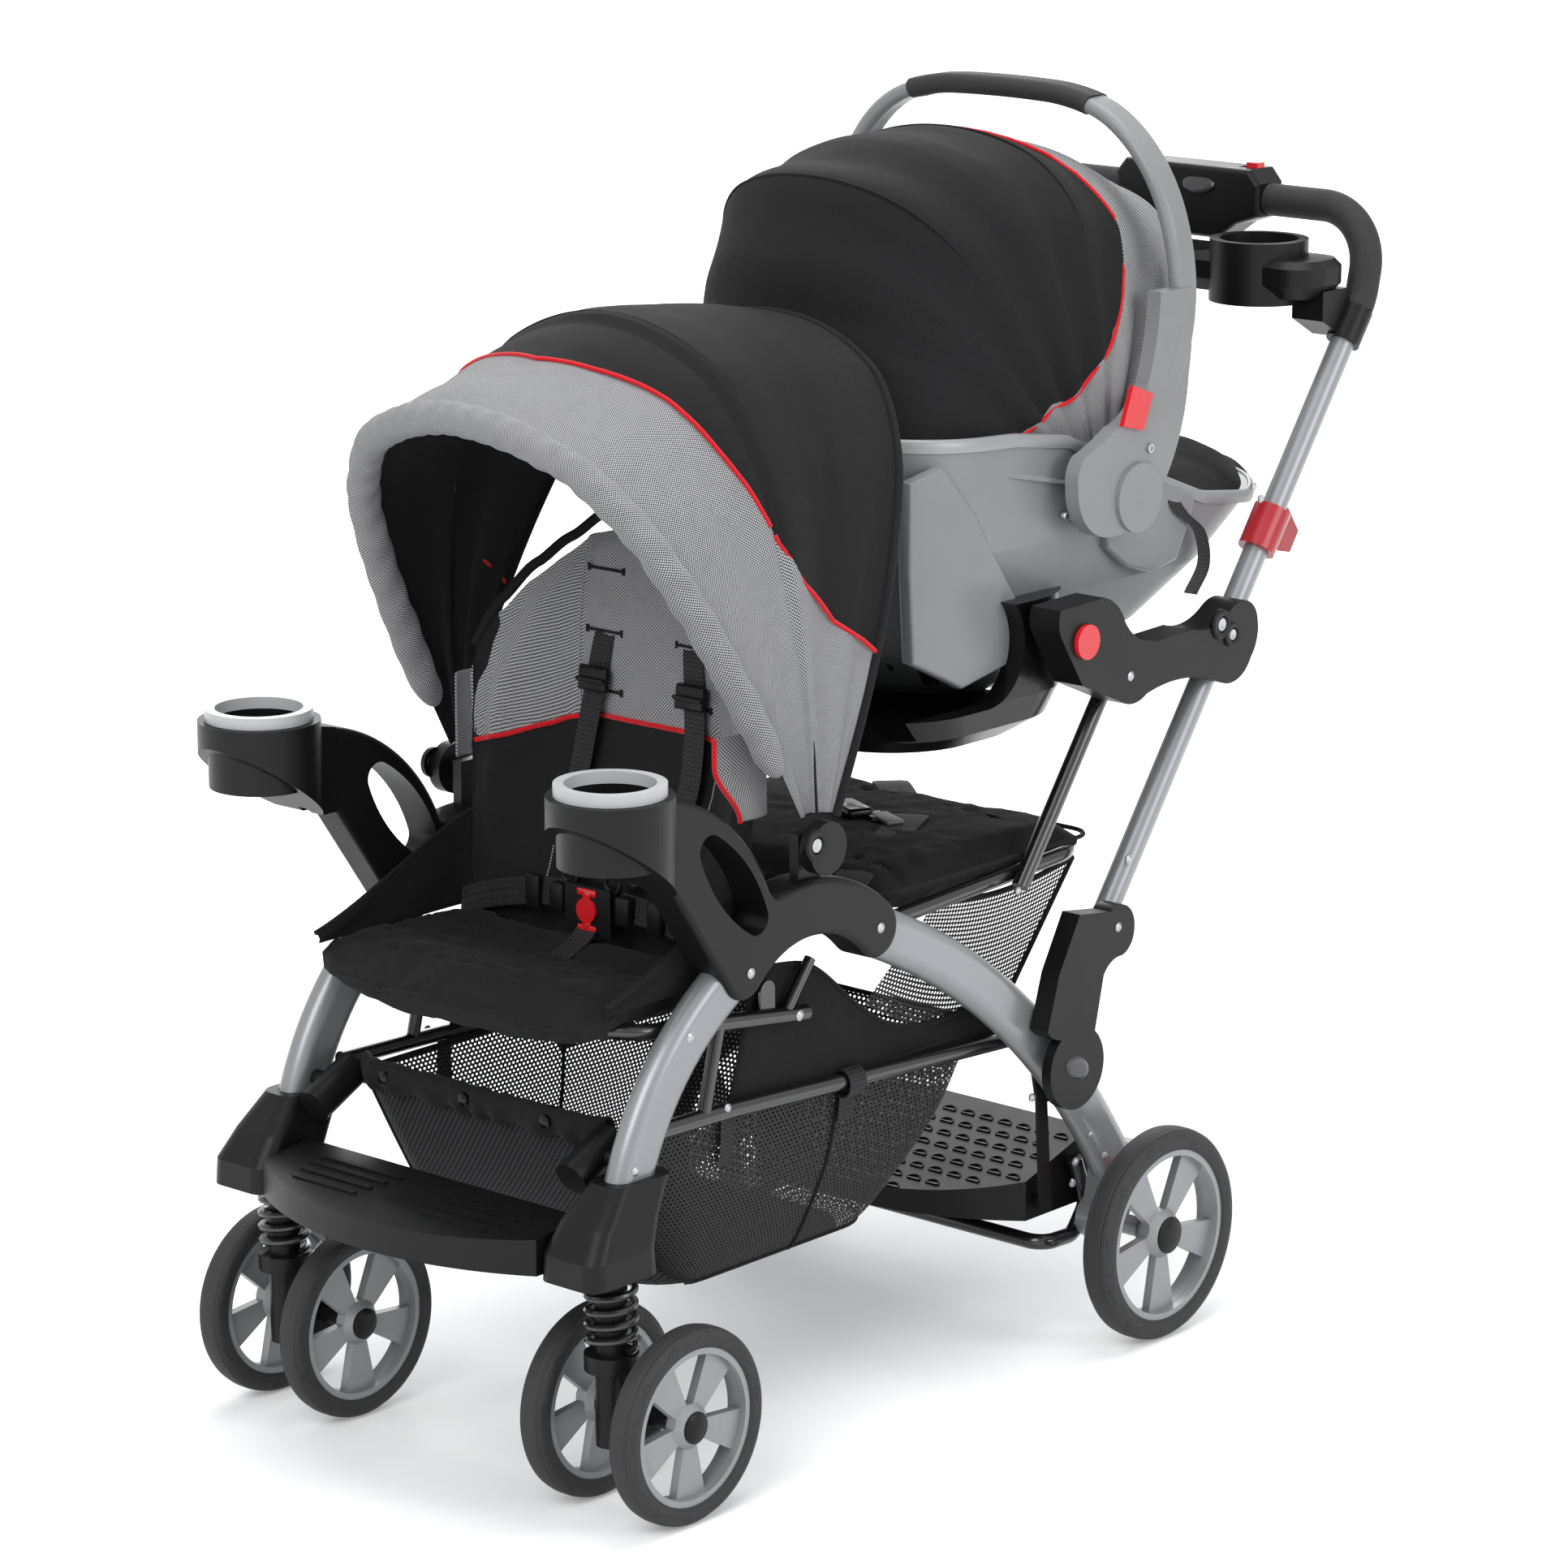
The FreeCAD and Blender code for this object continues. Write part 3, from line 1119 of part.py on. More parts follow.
def make_parent_tray():
    """The parent tray: two cups and a middle pocket, held to the push bar by two elbows."""
    y = (s.tray_body_front + s.tray_body_back) / 2
    half_y = (s.tray_body_back - s.tray_body_front) / 2
    floor, top, corner, end = s.tray_body_floor, s.tray_body_top, s.tray_corner, s.tray_end
    body = lofted([
        round_box(0, y, floor, s.tray_half_width - corner, half_y - corner, end - corner),
        round_box(0, y, floor + corner, s.tray_half_width, half_y, end),
        round_box(0, y, top - corner / 2, s.tray_half_width, half_y, end),
        round_box(0, y, top, s.tray_half_width - corner / 2, half_y - corner / 2, end - corner / 2),
    ], ruled=True)
    inner = s.tray_cup_across - s.tray_cup_radius - s.tray_wall
    well = lofted([
        round_box(0, y, floor + s.tray_wall * 2, inner - corner, half_y - corner * 1.3, corner),
        round_box(0, y, top + s.cut_overrun, inner, half_y - s.tray_wall * 2, corner),
    ], ruled=True)
    cups, bores, arms = [], [], []
    clearance = tube(push_bar_path(), s.bar_radius + s.running_gap)
    collar_a, collar_b = side_points(s.bar_across, COLLAR_SHARES)
    for side in (-1, 1):
        x, back = side * s.tray_cup_across, s.tray_cup_back
        cups.append(rod(s.tray_cup_radius, V(x, back, s.tray_cup_floor), V(x, back, s.tray_cup_top)))
        bores.append(rod(s.tray_cup_bore, V(x, back, s.tray_cup_floor + s.tray_wall * 2),
                         V(x, back, s.tray_cup_top + s.cut_overrun)))
        flip = V(side, 1, 1)
        a, b = (V(p.x * flip.x, p.y, p.z) for p in (collar_a, collar_b))
        arms.append(rod(s.bar_radius + s.collar_wall, a, b))
        lug_start = s.bar_across - s.tray_lug if side > 0 else -s.bar_across
        arms.append(prism(lug_start, COLLAR_LUG_SHARES, s.tray_lug))
    tray = body.fuse(cups + arms).cut(bores + [well, clearance]).removeSplitter()
    keep_shapes("parent_tray", tray)


def make_carrier_mount():
    """Tray arms with their press buttons, clamps on the push bar, and the glossy carrier tray."""
    push = tube(push_bar_path(), s.bar_radius + s.running_gap)
    (button_y, button_z), = scaled(TRAY_BUTTON_SHARES)
    arm = plate("tray_arm", TRAY_ARM_SHARES, "mount_width", "mount_inner + mount_width / 2")
    well = primitive("Cylinder", "button_well", (
        "mount_inner + mount_width - button_depth - button_travel", "0", "0"),
        ACROSS, Radius="button_radius + running_gap",
        Height="button_depth + cut_overrun")
    place(well, "mount_inner + mount_width - button_depth - button_travel",
          f"wheelbase * {TRAY_BUTTON_SHARES[0][0]}", f"wheelbase * {TRAY_BUTTON_SHARES[0][1]}",
          ACROSS)
    keep_pair("tray_arms", combined("Cut", "tray_arm_cut", arm, well, feature("arm_bar_clearance", push)))
    button = primitive("Cylinder", "tray_button", (
        "mount_inner + mount_width - button_depth + button_proud", f"wheelbase * {TRAY_BUTTON_SHARES[0][0]}",
        f"wheelbase * {TRAY_BUTTON_SHARES[0][1]}"), ACROSS,
        Radius="button_radius", Height="button_depth - running_gap")
    keep_sides("tray_button", button)
    a, b = side_points(s.bar_across, CLAMP_SHARES)
    ear = plate("clamp_ear", CLAMP_EAR_SHARES, "clamp_width / 2", "bar_across")
    collar = primitive_rod("clamp_collar", a, b, "clamp_width / 2 + bar_radius / 2")
    clamp = combined("Fuse", "clamp_joined", collar, ear)
    keep_pair("tube_clamps", combined("Cut", "tube_clamp", clamp, feature("clamp_bar_clearance", push)))
    make_tub()


def make_tub():
    """The carrier tray: a floor between two side bands that are open to the front."""
    half, wall = s.tub_half_width, s.tub_wall
    outer = body_of("rear_tray")
    padded(outer, "rear_tray", "YZ_Plane", TUB_SHARES, "2 * tub_half_width")
    levels = scaled(TUB_LEVEL_SHARES)
    rounds = [round_box(0, (a + b) / 2, z, half_x, (b - a) / 2, s.tub_corner) for z, a, b, half_x in levels]
    form = lofted(rounds, ruled=True)
    outer = combined("Common", "rear_tray_rounded", outer, feature("rear_tray_form", form))
    mouth = plate("tray_mouth", TUB_MOUTH_SHARES, "2 * tub_half_width + cut_overrun")
    front = f"wheelbase * {TUB_SHARES[0][0]} - cut_overrun"
    inner = primitive("Box", "tray_inside", (
        "-(tub_half_width - tub_band)", front, "carrier_floor - running_gap"),
        Length="2 * (tub_half_width - tub_band)",
        Width=f"wheelbase * {TUB_SHARES[3][0] - TUB_SHARES[0][0]} + 8 * cut_overrun",
        Height=f"wheelbase * {TUB_SHARES[0][1]} / 2")
    tub = combined("Cut", "tray_hollow", outer, mouth, inner)
    boss = plate("tray_boss", TUB_BOSS_SHARES, "mount_inner - tub_half_width - running_gap",
                 "(mount_inner + tub_half_width - running_gap) / 2")
    other = plate("tray_boss_right", TUB_BOSS_SHARES, "mount_inner - tub_half_width - running_gap",
                  "-(mount_inner + tub_half_width - running_gap) / 2")
    keep("rear_tray", combined("Fuse", "rear_tray_whole", tub, boss, other))


def make_brakes():
    """Brake pedals on pins beside the rear brackets."""
    pedal = plate("brake_pedal", PEDAL_SHARES, "pedal_width",
                  "leg_across + bracket_width / 2 + running_gap + pedal_width / 2")
    hole = primitive("Cylinder", "pedal_bore", (
        "leg_across", f"wheelbase * {PEDAL_PIN_SHARES[0][0]}", f"wheelbase * {PEDAL_PIN_SHARES[0][1]}"),
        ACROSS, Radius="pedal_pin + shaft_gap", Height="pedal_width * 3")
    keep_sides("brake_pedal", combined("Cut", "brake_pedal_bored", pedal, hole))


# Front seat and rear bench

def make_seat():
    """The reclining back, the seat cushion with its side wings, and the harness."""
    body = body_of("seat_back")
    pad = padded(body, "seat_back", "XZ_Plane", SEAT_BACK_SHARES, "seat_back_thickness")
    rounded(body, "seat_back", pad, "seat_back_rounding",
            lambda middle: middle.y < -s.seat_back_thickness / 2 + s.running_gap)
    place(body, "0", "seat_back_face + seat_back_thickness / 2")
    pin = primitive("Cylinder", "recline_bore", (
        "-2 * (rail_across - seat_play)", "recline_back", "recline_height"),
                    ACROSS, Radius="recline_pin + shaft_gap",
                    Height="4 * (rail_across - seat_play)")
    tail = primitive("Box", "recline_tail", (
        "-(rail_across - seat_play)", "recline_back - recline_pin * 2.4",
        "recline_height - recline_pin * 2.4"),
        Length="2 * (rail_across - seat_play)", Width="recline_pin * 4.8", Height="recline_pin * 6")
    backed = combined("Fuse", "seat_back_tailed", body, tail)
    keep("seat_back", combined("Cut", "seat_back_bored", backed, pin))
    cushion = plate("seat_cushion", CUSHION_SHARES, "2 * cushion_half_width")
    wings = []
    for side, sign in (("left", ""), ("right", "-")):
        wings.append(plate(f"wing_{side}", WING_SHARES, "cushion_wing",
                           f"{sign}(cushion_half_width - cushion_wing / 2)"))
    keep("seat_cushion", combined("Fuse", "seat_cushion_whole", cushion, *wings))
    make_harness()


def make_harness():
    """Shoulder and lap straps that meet at the buckle, and its button."""
    thick = s.strap_thickness
    half = s.strap_width / 2
    points = scaled(STRAP_SHARES)
    straps = []
    for side in (1, -1):
        wires = []
        for index, (y, z) in enumerate(points):
            share = index / (len(points) - 1)
            x = side * (s.strap_across * (1 - share) + s.buckle_width * 0.28 * share)
            width = half * (1 - 0.45 * share)
            wires.append(Part.makePolygon([
                V(x - width, y, z), V(x + width, y, z), V(x + width, y + thick, z),
                V(x - width, y + thick, z), V(x - width, y, z)]))
        straps.append(lofted(wires, ruled=True))
    low = s.buckle_foot + s.buckle_rounding
    for side in (1, -1):
        x0, x1 = side * s.buckle_width / 2, side * (s.seat_half_width - s.cushion_wing * 2)
        y0, y1 = s.seat_back_face - s.buckle_depth * 1.1, s.seat_back_face - s.buckle_depth * 0.6
        wires = [Part.makePolygon([
            V(x, y, low), V(x, y + thick, low), V(x, y + thick, low + s.strap_width * 0.7),
            V(x, y, low + s.strap_width * 0.7), V(x, y, low)]) for x, y in ((x0, y0), (x1, y1))]
        straps.append(lofted(wires, ruled=True))
    buckle = body_of("harness_buckle")
    left, right, top = "-buckle_width / 2", "buckle_width / 2", "buckle_foot + buckle_height"
    padded(buckle, "harness_buckle", "XZ_Plane", [
        (left, "buckle_foot"), (right, "buckle_foot"), (right, top), (left, top)], "buckle_depth")
    place(buckle, "0", "seat_back_face - buckle_depth * 1.2")
    well = primitive("Cylinder", "buckle_well", (
        "0", "seat_back_face - buckle_depth * 1.2", "buckle_foot + buckle_height / 2"),
        FreeCAD.Rotation(V(1, 0, 0), 90), Radius="buckle_button_radius + running_gap",
        Height="buckle_depth * 2")
    whole = combined("Cut", "buckle_welled", buckle, well)
    keep("harness_buckle", whole)
    button = primitive("Cylinder", "buckle_button", (
        "0", "seat_back_face - buckle_depth * 1.2 - buckle_button_travel - running_gap",
        "buckle_foot + buckle_height / 2"), FreeCAD.Rotation(V(1, 0, 0), 90),
        Radius="buckle_button_radius", Height="buckle_depth / 2")
    keep("buckle_button", button)
    hold = shape_of(buckle)
    keep_shapes("harness_straps", *[strap.cut(hold) for strap in straps])


def make_bench():
    """The rear bench pad, wrapped over the bench tube."""
    body = body_of("bench_pad")
    pad = padded(body, "bench_pad", "YZ_Plane", BENCH_SHARES, "2 * bench_half_width")
    rail = hoop(side_points(s.rail_across, BENCH_RAIL_SHARES), s.rail_bend, s.rail_radius + s.running_gap)
    keep("bench_pad", combined("Cut", "bench_pad_wrapped", body, feature("bench_rail_clearance", rail)))


# Canopies: cloth between bows that turn about one axis

def bow(shares, pivot, angle, half_width, reach, start, cloth):
    """A closed section of cloth in the plane of a bow, as an outer and an inner arched edge."""
    up = V(0, math.cos(math.radians(angle)), math.sin(math.radians(angle)))

    def at(x_share, h_share, inset):
        height = start if h_share is None else (reach - inset) * h_share
        return pivot + V((half_width - inset) * x_share, 0, 0) + up * height

    def half_arcs(inset, side):
        arcs = [tuple(at(side * x, h, inset) for x, h in arc) for arc in shares]
        return arcs

    def arch(inset):
        near, far = half_arcs(inset, 1), half_arcs(inset, -1)
        crown = (near[-1][2], at(0, 1.0, inset), far[-1][2])
        return near + [crown] + [arc[::-1] for arc in reversed(far)]

    outer, inner = arch(0), arch(cloth)
    edges = [Part.Arc(*arc).toShape() for arc in outer]
    edges.append(Part.LineSegment(outer[-1][2], inner[-1][2]).toShape())
    edges += [Part.Arc(*arc[::-1]).toShape() for arc in reversed(inner)]
    edges.append(Part.LineSegment(inner[0][0], outer[0][0]).toShape())
    return Part.Wire(edges)


def bow_line(shares, pivot, angle, half_width, reach, start):
    """The centre line of a bow, from one side over the top to the other."""
    up = V(0, math.cos(math.radians(angle)), math.sin(math.radians(angle)))

    def at(x_share, h_share):
        return pivot + V(half_width * x_share, 0, 0) + up * (start if h_share is None else reach * h_share)

    points = [at(x, h) for arc in shares for x, h in arc[:2]] + [at(*shares[-1][2]), at(0, 1.0)]
    return smooth(points + [V(-p.x, p.y, p.z) for p in reversed(points[:-1])])


def make_canopy():
    """The front canopy's fixed rear section, the section that folds back under it, and mounts."""
    pivot = V(0, s.canopy_pivot_back, s.wheelbase * ARM_SHARES[6][1] + s.canopy_post)
    start, cloth = s.canopy_start, s.canopy_cloth
    rear_bows = []
    for angle, share in ((94, 0), (86, 0.25), (80, 0.5), (73, 0.75), (65, 1)):
        sag = 1 - 0.012 * math.sin(math.pi * share * 2) ** 2
        width = s.canopy_middle_half_width + (s.canopy_rear_half_width - s.canopy_middle_half_width) * share
        reach = s.canopy_middle_reach + (s.canopy_rear_reach - s.canopy_middle_reach) * share
        rear_bows.append(bow(BOW_SHARES, pivot, angle, width, reach * sag, start, cloth))
    rear = lofted(rear_bows, ruled=True)
    front_bows = []
    for angle, share in ((119, 0), (112, 0.33), (104, 0.66), (96, 1)):
        sag = 1 - 0.01 * math.sin(math.pi * share) ** 2
        front_bows.append(bow(BOW_SHARES, pivot, angle, s.canopy_front_half_width,
                              s.canopy_front_reach * sag, start, cloth))
    front = lofted(front_bows, ruled=True)
    roll = tube(bow_line(BOW_SHARES, pivot, 119.5, s.canopy_front_half_width - s.canopy_roll * 0.9,
                         s.canopy_front_reach - s.canopy_roll / 3, s.canopy_start * 2.2), s.canopy_roll)
    front = front.cut(roll)
    disc_x = s.canopy_middle_half_width + s.running_gap
    ear, pin = s.canopy_ear, s.canopy_pin + s.shaft_gap
    front_x = s.canopy_front_half_width - cloth
    rear_x = s.canopy_middle_half_width - cloth

    def ears(cloth_solid, x, angle, width):
        made = []
        for side in (1, -1):
            a = V(side * x, pivot.y, pivot.z)
            disc = rod(ear, a, a + V(side * cloth, 0, 0))
            tongue = Part.makeBox(width, ear, start * 2.2, V(min(side * x, side * (x + width)), -ear / 2, 0))
            turn = FreeCAD.Rotation(V(1, 0, 0), angle - 90)
            tongue.Placement = FreeCAD.Placement(V(0, pivot.y, pivot.z), turn).multiply(tongue.Placement)
            start_at, end_at = a + V(side * cloth, 0, 0), a + V(side * width * 9, 0, 0)
            made += [disc, tongue.cut(rod(s.canopy_disc + s.running_gap * 2, start_at, end_at))]
        whole = cloth_solid.fuse(made)
        for side in (1, -1):
            a = V(side * (x - cloth * 4), pivot.y, pivot.z)
            whole = whole.cut(rod(pin, a, a + V(side * cloth * 12, 0, 0)))
        return whole.removeSplitter()

    rear = ears(rear, rear_x, 75, s.canopy_rear_half_width - rear_x - cloth)
    front = ears(front, front_x, 108, cloth)
    keep_shapes("canopy_rear", rear)
    keep_shapes("canopy_front", front, roll)
    foot = s.leg_across + s.arm_width / 2
    mounts = []
    clearance = s.running_gap
    disc = rod(s.canopy_disc, V(disc_x, pivot.y, pivot.z), V(disc_x + s.canopy_disc_width, pivot.y, pivot.z))
    inner = front_x - clearance
    pin_rod = rod(s.canopy_pin, V(inner, pivot.y, pivot.z), V(disc_x, pivot.y, pivot.z))
    post_z = s.wheelbase * ARM_SHARES[6][1]
    post = block(inner - s.canopy_ear / 2, inner, pivot.y - s.canopy_ear * 0.7, pivot.y + s.canopy_ear * 0.7,
                 post_z, pivot.z + s.canopy_pin * 2)
    arch = shape_of(next(o for o in doc.Objects if o.Name == "armrest"))
    mount = post.fuse([pin_rod, disc]).cut(arch).removeSplitter()
    mount = max(mount.Solids, key=lambda solid: solid.Volume)
    keep_shapes("canopy_mounts", mount, mirrored(mount))


# Basket

def make_basket():
    """The basket: a cloth tub with gathered corners, and a net up to the bench at each side."""
    cloth = s.basket_cloth
    levels = scaled(BASKET_LEVEL_SHARES)

    def tub(inset, lift):
        wires = []
        for z, front, back, half in levels:
            middle, half_y = (front + back) / 2, (back - front) / 2 - inset
            wires.append(round_box(0, middle, z + lift, half - inset, half_y, s.basket_corner))
        return lofted(wires, ruled=True)

    top = levels[-1][0]
    shell = tub(0, 0).cut(tub(cloth, cloth))
    net_x = s.rail_across - s.rail_radius - s.running_gap - cloth
    net = prism(net_x, BASKET_NET_SHARES, cloth)
    keep_shapes("basket", shell.fuse([net, mirrored(net)]).removeSplitter())


# Infant carrier

def carrier_solid(inset, lift):
    """The carrier's outer form, or the same form drawn in by a wall."""
    wires = []
    for z, front, back, half in scaled(CARRIER_LEVEL_SHARES):
        middle, half_y = (front + back) / 2, (back - front) / 2 - inset
        corner = min(s.carrier_corner + s.wheelbase * 0.06, half - inset - s.carrier_wall)
        wires.append(round_box(0, middle, z + lift, half - inset, half_y, corner))
    return lofted(wires, ruled=True)


def make_carrier():
    """The infant carrier: shell, pad, folding handle with its grip, releases and canopy."""
    wide = s.wheelbase
    above = prism(-wide / 2, CARRIER_RIM_SHARES, wide)
    outer = carrier_solid(0, 0)
    shell = outer.cut(carrier_solid(s.carrier_wall, s.carrier_wall)).cut(above)
    y, z = s.carrier_pivot_back, s.carrier_pivot_height
    inner = s.handle_across - s.handle_width / 2
    disc_face = inner - s.running_gap
    for side in (1, -1):
        boss = rod(s.pivot_disc * 0.8, V(side * inner * 0.82, y, z), V(side * disc_face, y, z))
        boss = boss.cut(carrier_solid(s.carrier_wall, 0))
        pin = rod(s.pivot_pin, V(side * disc_face, y, z), V(side * (inner + s.pivot_width), y, z))
        shell = shell.fuse([boss, pin])
    shell = max(shell.removeSplitter().Solids, key=lambda solid: solid.Volume)
    keep_shapes("carrier_shell", shell)
    thick, gap = s.carrier_pad_thickness, s.running_gap
    pad = carrier_solid(s.carrier_wall + gap, s.carrier_wall + gap)
    pad = pad.cut(carrier_solid(s.carrier_wall + thick, s.carrier_wall + thick)).cut(above)
    pad = pad.cut(shell)
    keep_shapes("carrier_pad", max(pad.Solids, key=lambda solid: solid.Volume))
    make_carrier_handle(inner)
    make_carrier_canopy()


def make_carrier_handle(inner):
    """The carrying handle with its pivot plates, the soft grip at the top, and the releases."""
    y, z = s.carrier_pivot_back, s.carrier_pivot_height
    points = [V(*row) for row in scaled(HANDLE_SHARES)]
    for point in points[:3]:
        point.x = s.handle_across
    path = smooth(points + [V(-p.x, p.y, p.z) for p in reversed(points[:-1])])
    rail = oval_tube(path, s.handle_depth, s.handle_width)
    near, far = V(inner, y, z), V(inner + s.pivot_width, y, z)
    root = shape_of(plate("handle_root", HANDLE_ROOT_SHARES, "handle_width", "handle_across"))
    foot = rod(s.pivot_disc, near, far).fuse(root).removeSplitter()
    over = V(s.cut_overrun, 0, 0)
    bore = rod(s.pivot_pin + s.shaft_gap, near - over, far + over)
    foot = foot.cut(bore)
    handle = rail.cut(bore).cut(mirrored(bore)).fuse([foot, mirrored(foot)]).removeSplitter()
    edges = path.OrderedEdges
    count = len(edges) // 2
    middle = Part.Wire(edges[count - 2:count + 2])
    wall = s.handle_grip_wall
    grip = oval_tube_across(middle, s.handle_depth + 2 * wall, s.handle_width + 2 * wall)
    keep_shapes("carrier_handle", handle)
    inside = oval_tube_across(path, s.handle_depth + s.running_gap, s.handle_width + s.running_gap)
    keep_shapes("carrier_grip", grip.cut(inside))
    face = s.handle_across + s.handle_width / 2 + s.running_gap
    release = prism(face, RELEASE_SHARES, s.release_thickness)
    keep_shapes("carrier_releases", release, mirrored(release))


def oval_tube_across(path, depth, width):
    """An oval rod whose long side lies along the stroller at the path's start."""
    start, heading = start_of(path)
    along = V(0, 1, 0) - heading * heading.y
    along.normalize()
    across = heading.cross(along)
    r = width / 2
    a, b = start + along * (depth / 2 - r), start - along * (depth / 2 - r)
    side = across * r
    edges = [
        Part.LineSegment(b + side, a + side),
        Part.Arc(a + side, a + along * r, a - side),
        Part.LineSegment(a - side, b - side),
        Part.Arc(b - side, b - along * r, b + side),
    ]
    return outward(path.makePipeShell([Part.Wire([e.toShape() for e in edges])], True, False))


CARRIER_BOW_ANGLES = (168, 152, 138, 125, 108, 92, 74, 58)


def make_carrier_canopy():
    """The carrier's canopy, stretched over its bows from the head end to the brim."""
    pivot = V(0, s.carrier_canopy_back, s.carrier_canopy_height)
    wires = []
    for angle, (reach, half) in zip(CARRIER_BOW_ANGLES, scaled(CARRIER_BOW_SIZE_SHARES)):
        wires.append(bow(CARRIER_BOW_SHARES, pivot, angle, half, reach,
                         s.carrier_canopy_start, s.carrier_cloth))
    above = prism(-s.wheelbase / 2, CARRIER_RIM_SHARES, s.wheelbase)
    below = carrier_solid(-s.running_gap * 2, 0).cut(above)
    below = below.fuse(below.translated(V(0, 0, s.running_gap * 2)))
    canopy = lofted(wires, ruled=True).cut(below)
    keep_shapes("carrier_canopy", max(canopy.Solids, key=lambda solid: solid.Volume))


def finish():
    """Check every object, then write each kept sub-part."""
    doc.recompute()
    broken = [o.Name for o in doc.Objects if "Invalid" in o.State or "Error" in o.State]
    if broken:
        raise RuntimeError(f"objects that failed: {broken}")
    os.makedirs("parts", exist_ok=True)
    for label, obj in KEPT.items():
        shape = obj.Shape
        if shape.isNull() or not shape.isValid():
            raise RuntimeError(f"{label} has no valid shape")
        shape.exportStep(f"parts/{label}.step")
    print(f"{len(KEPT)} sub-parts written")


make_wheels()
make_legs()
make_casters()
make_armrests()
make_cups()
make_cup_details()
make_foot_platform()
make_under_frame()
make_standing_platform()
make_links()
make_push_bar()
make_parent_tray()
make_carrier_mount()
make_brakes()
make_seat()
make_bench()
make_canopy()
make_basket()
make_carrier()
finish()
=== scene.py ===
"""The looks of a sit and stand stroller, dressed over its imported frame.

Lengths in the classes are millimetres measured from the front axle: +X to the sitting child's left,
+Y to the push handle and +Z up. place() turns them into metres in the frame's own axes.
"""
import sys
import json
import logging
import math
from dataclasses import dataclass, field
from enum import Enum
from typing import Callable, Optional, Sequence, Union

import bmesh
import bpy
from mathutils import Matrix, Vector, noise
from mathutils.kdtree import KDTree


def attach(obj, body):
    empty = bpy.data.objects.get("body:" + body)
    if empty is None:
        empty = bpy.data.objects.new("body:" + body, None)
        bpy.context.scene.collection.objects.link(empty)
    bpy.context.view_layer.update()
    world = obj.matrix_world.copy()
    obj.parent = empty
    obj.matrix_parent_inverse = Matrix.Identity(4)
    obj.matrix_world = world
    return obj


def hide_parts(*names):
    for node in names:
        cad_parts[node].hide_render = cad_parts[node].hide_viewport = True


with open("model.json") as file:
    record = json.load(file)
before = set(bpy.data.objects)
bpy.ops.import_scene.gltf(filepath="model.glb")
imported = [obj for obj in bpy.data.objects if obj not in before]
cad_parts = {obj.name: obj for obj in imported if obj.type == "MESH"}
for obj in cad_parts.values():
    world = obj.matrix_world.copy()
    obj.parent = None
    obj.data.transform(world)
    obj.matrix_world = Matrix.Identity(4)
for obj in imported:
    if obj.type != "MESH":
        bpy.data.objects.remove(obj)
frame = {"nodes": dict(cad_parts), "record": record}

SETBACK = 484.9
TURN = 2 * math.pi
log = logging.getLogger("stroller")
Point = tuple[float, float, float]
Flat = tuple[float, float]
Surface = Callable[[float, float], Vector]


def place(x: float, y: float, z: float) -> Vector:
    """Turn millimetres from the front axle into metres in the frame's axes."""
    return Vector((x, y - SETBACK, z)) / 1000


def mix(a: float, b: float, share: float) -> float:
    """The value a share of the way from a to b."""
    return a + (b - a) * share


def ease(low: float, high: float, value: float) -> float:
    """A smooth rise from 0 at low to 1 at high."""
    t = min(max((value - low) / (high - low), 0.0), 1.0)
    return t * t * (3 - 2 * t)


class Track:
    """A smooth line through points, read by its share of the length."""

    def __init__(self, points: Sequence[Sequence[float]]) -> None:
        """Args: points: at least two points of equal size, in order."""
        self.points = [Vector(p) for p in points]
        self.reach = [0.0]
        for a, b in zip(self.points, self.points[1:]):
            self.reach.append(self.reach[-1] + (b - a).length)

    def at(self, share: float) -> Vector:
        """Args: share: 0 at the start and 1 at the end. Returns: the point there."""
        p, last = self.points, len(self.points) - 1
        want = min(max(share, 0.0), 1.0) * self.reach[-1]
        i = 0
        while i < last - 1 and self.reach[i + 1] < want:
            i += 1
        span = self.reach[i + 1] - self.reach[i]
        t = (want - self.reach[i]) / span if span else 0.0

        def slope(k: int) -> Vector:
            lo, hi = max(k - 1, 0), min(k + 1, last)
            return (p[hi] - p[lo]) / max(self.reach[hi] - self.reach[lo], 1e-9)

        a, b = slope(i) * span, slope(i + 1) * span
        return (p[i] * (2 * t ** 3 - 3 * t ** 2 + 1) + a * (t ** 3 - 2 * t ** 2 + t)
                + p[i + 1] * (3 * t ** 2 - 2 * t ** 3) + b * (t ** 3 - t ** 2))

    def sampled(self, count: int) -> list[Vector]:
        """Args: count: how many. Returns: points spread evenly from end to end."""
        return [self.at(i / (count - 1)) for i in range(count)]


# Shaders written as expressions

Number = Union[float, "Field"]


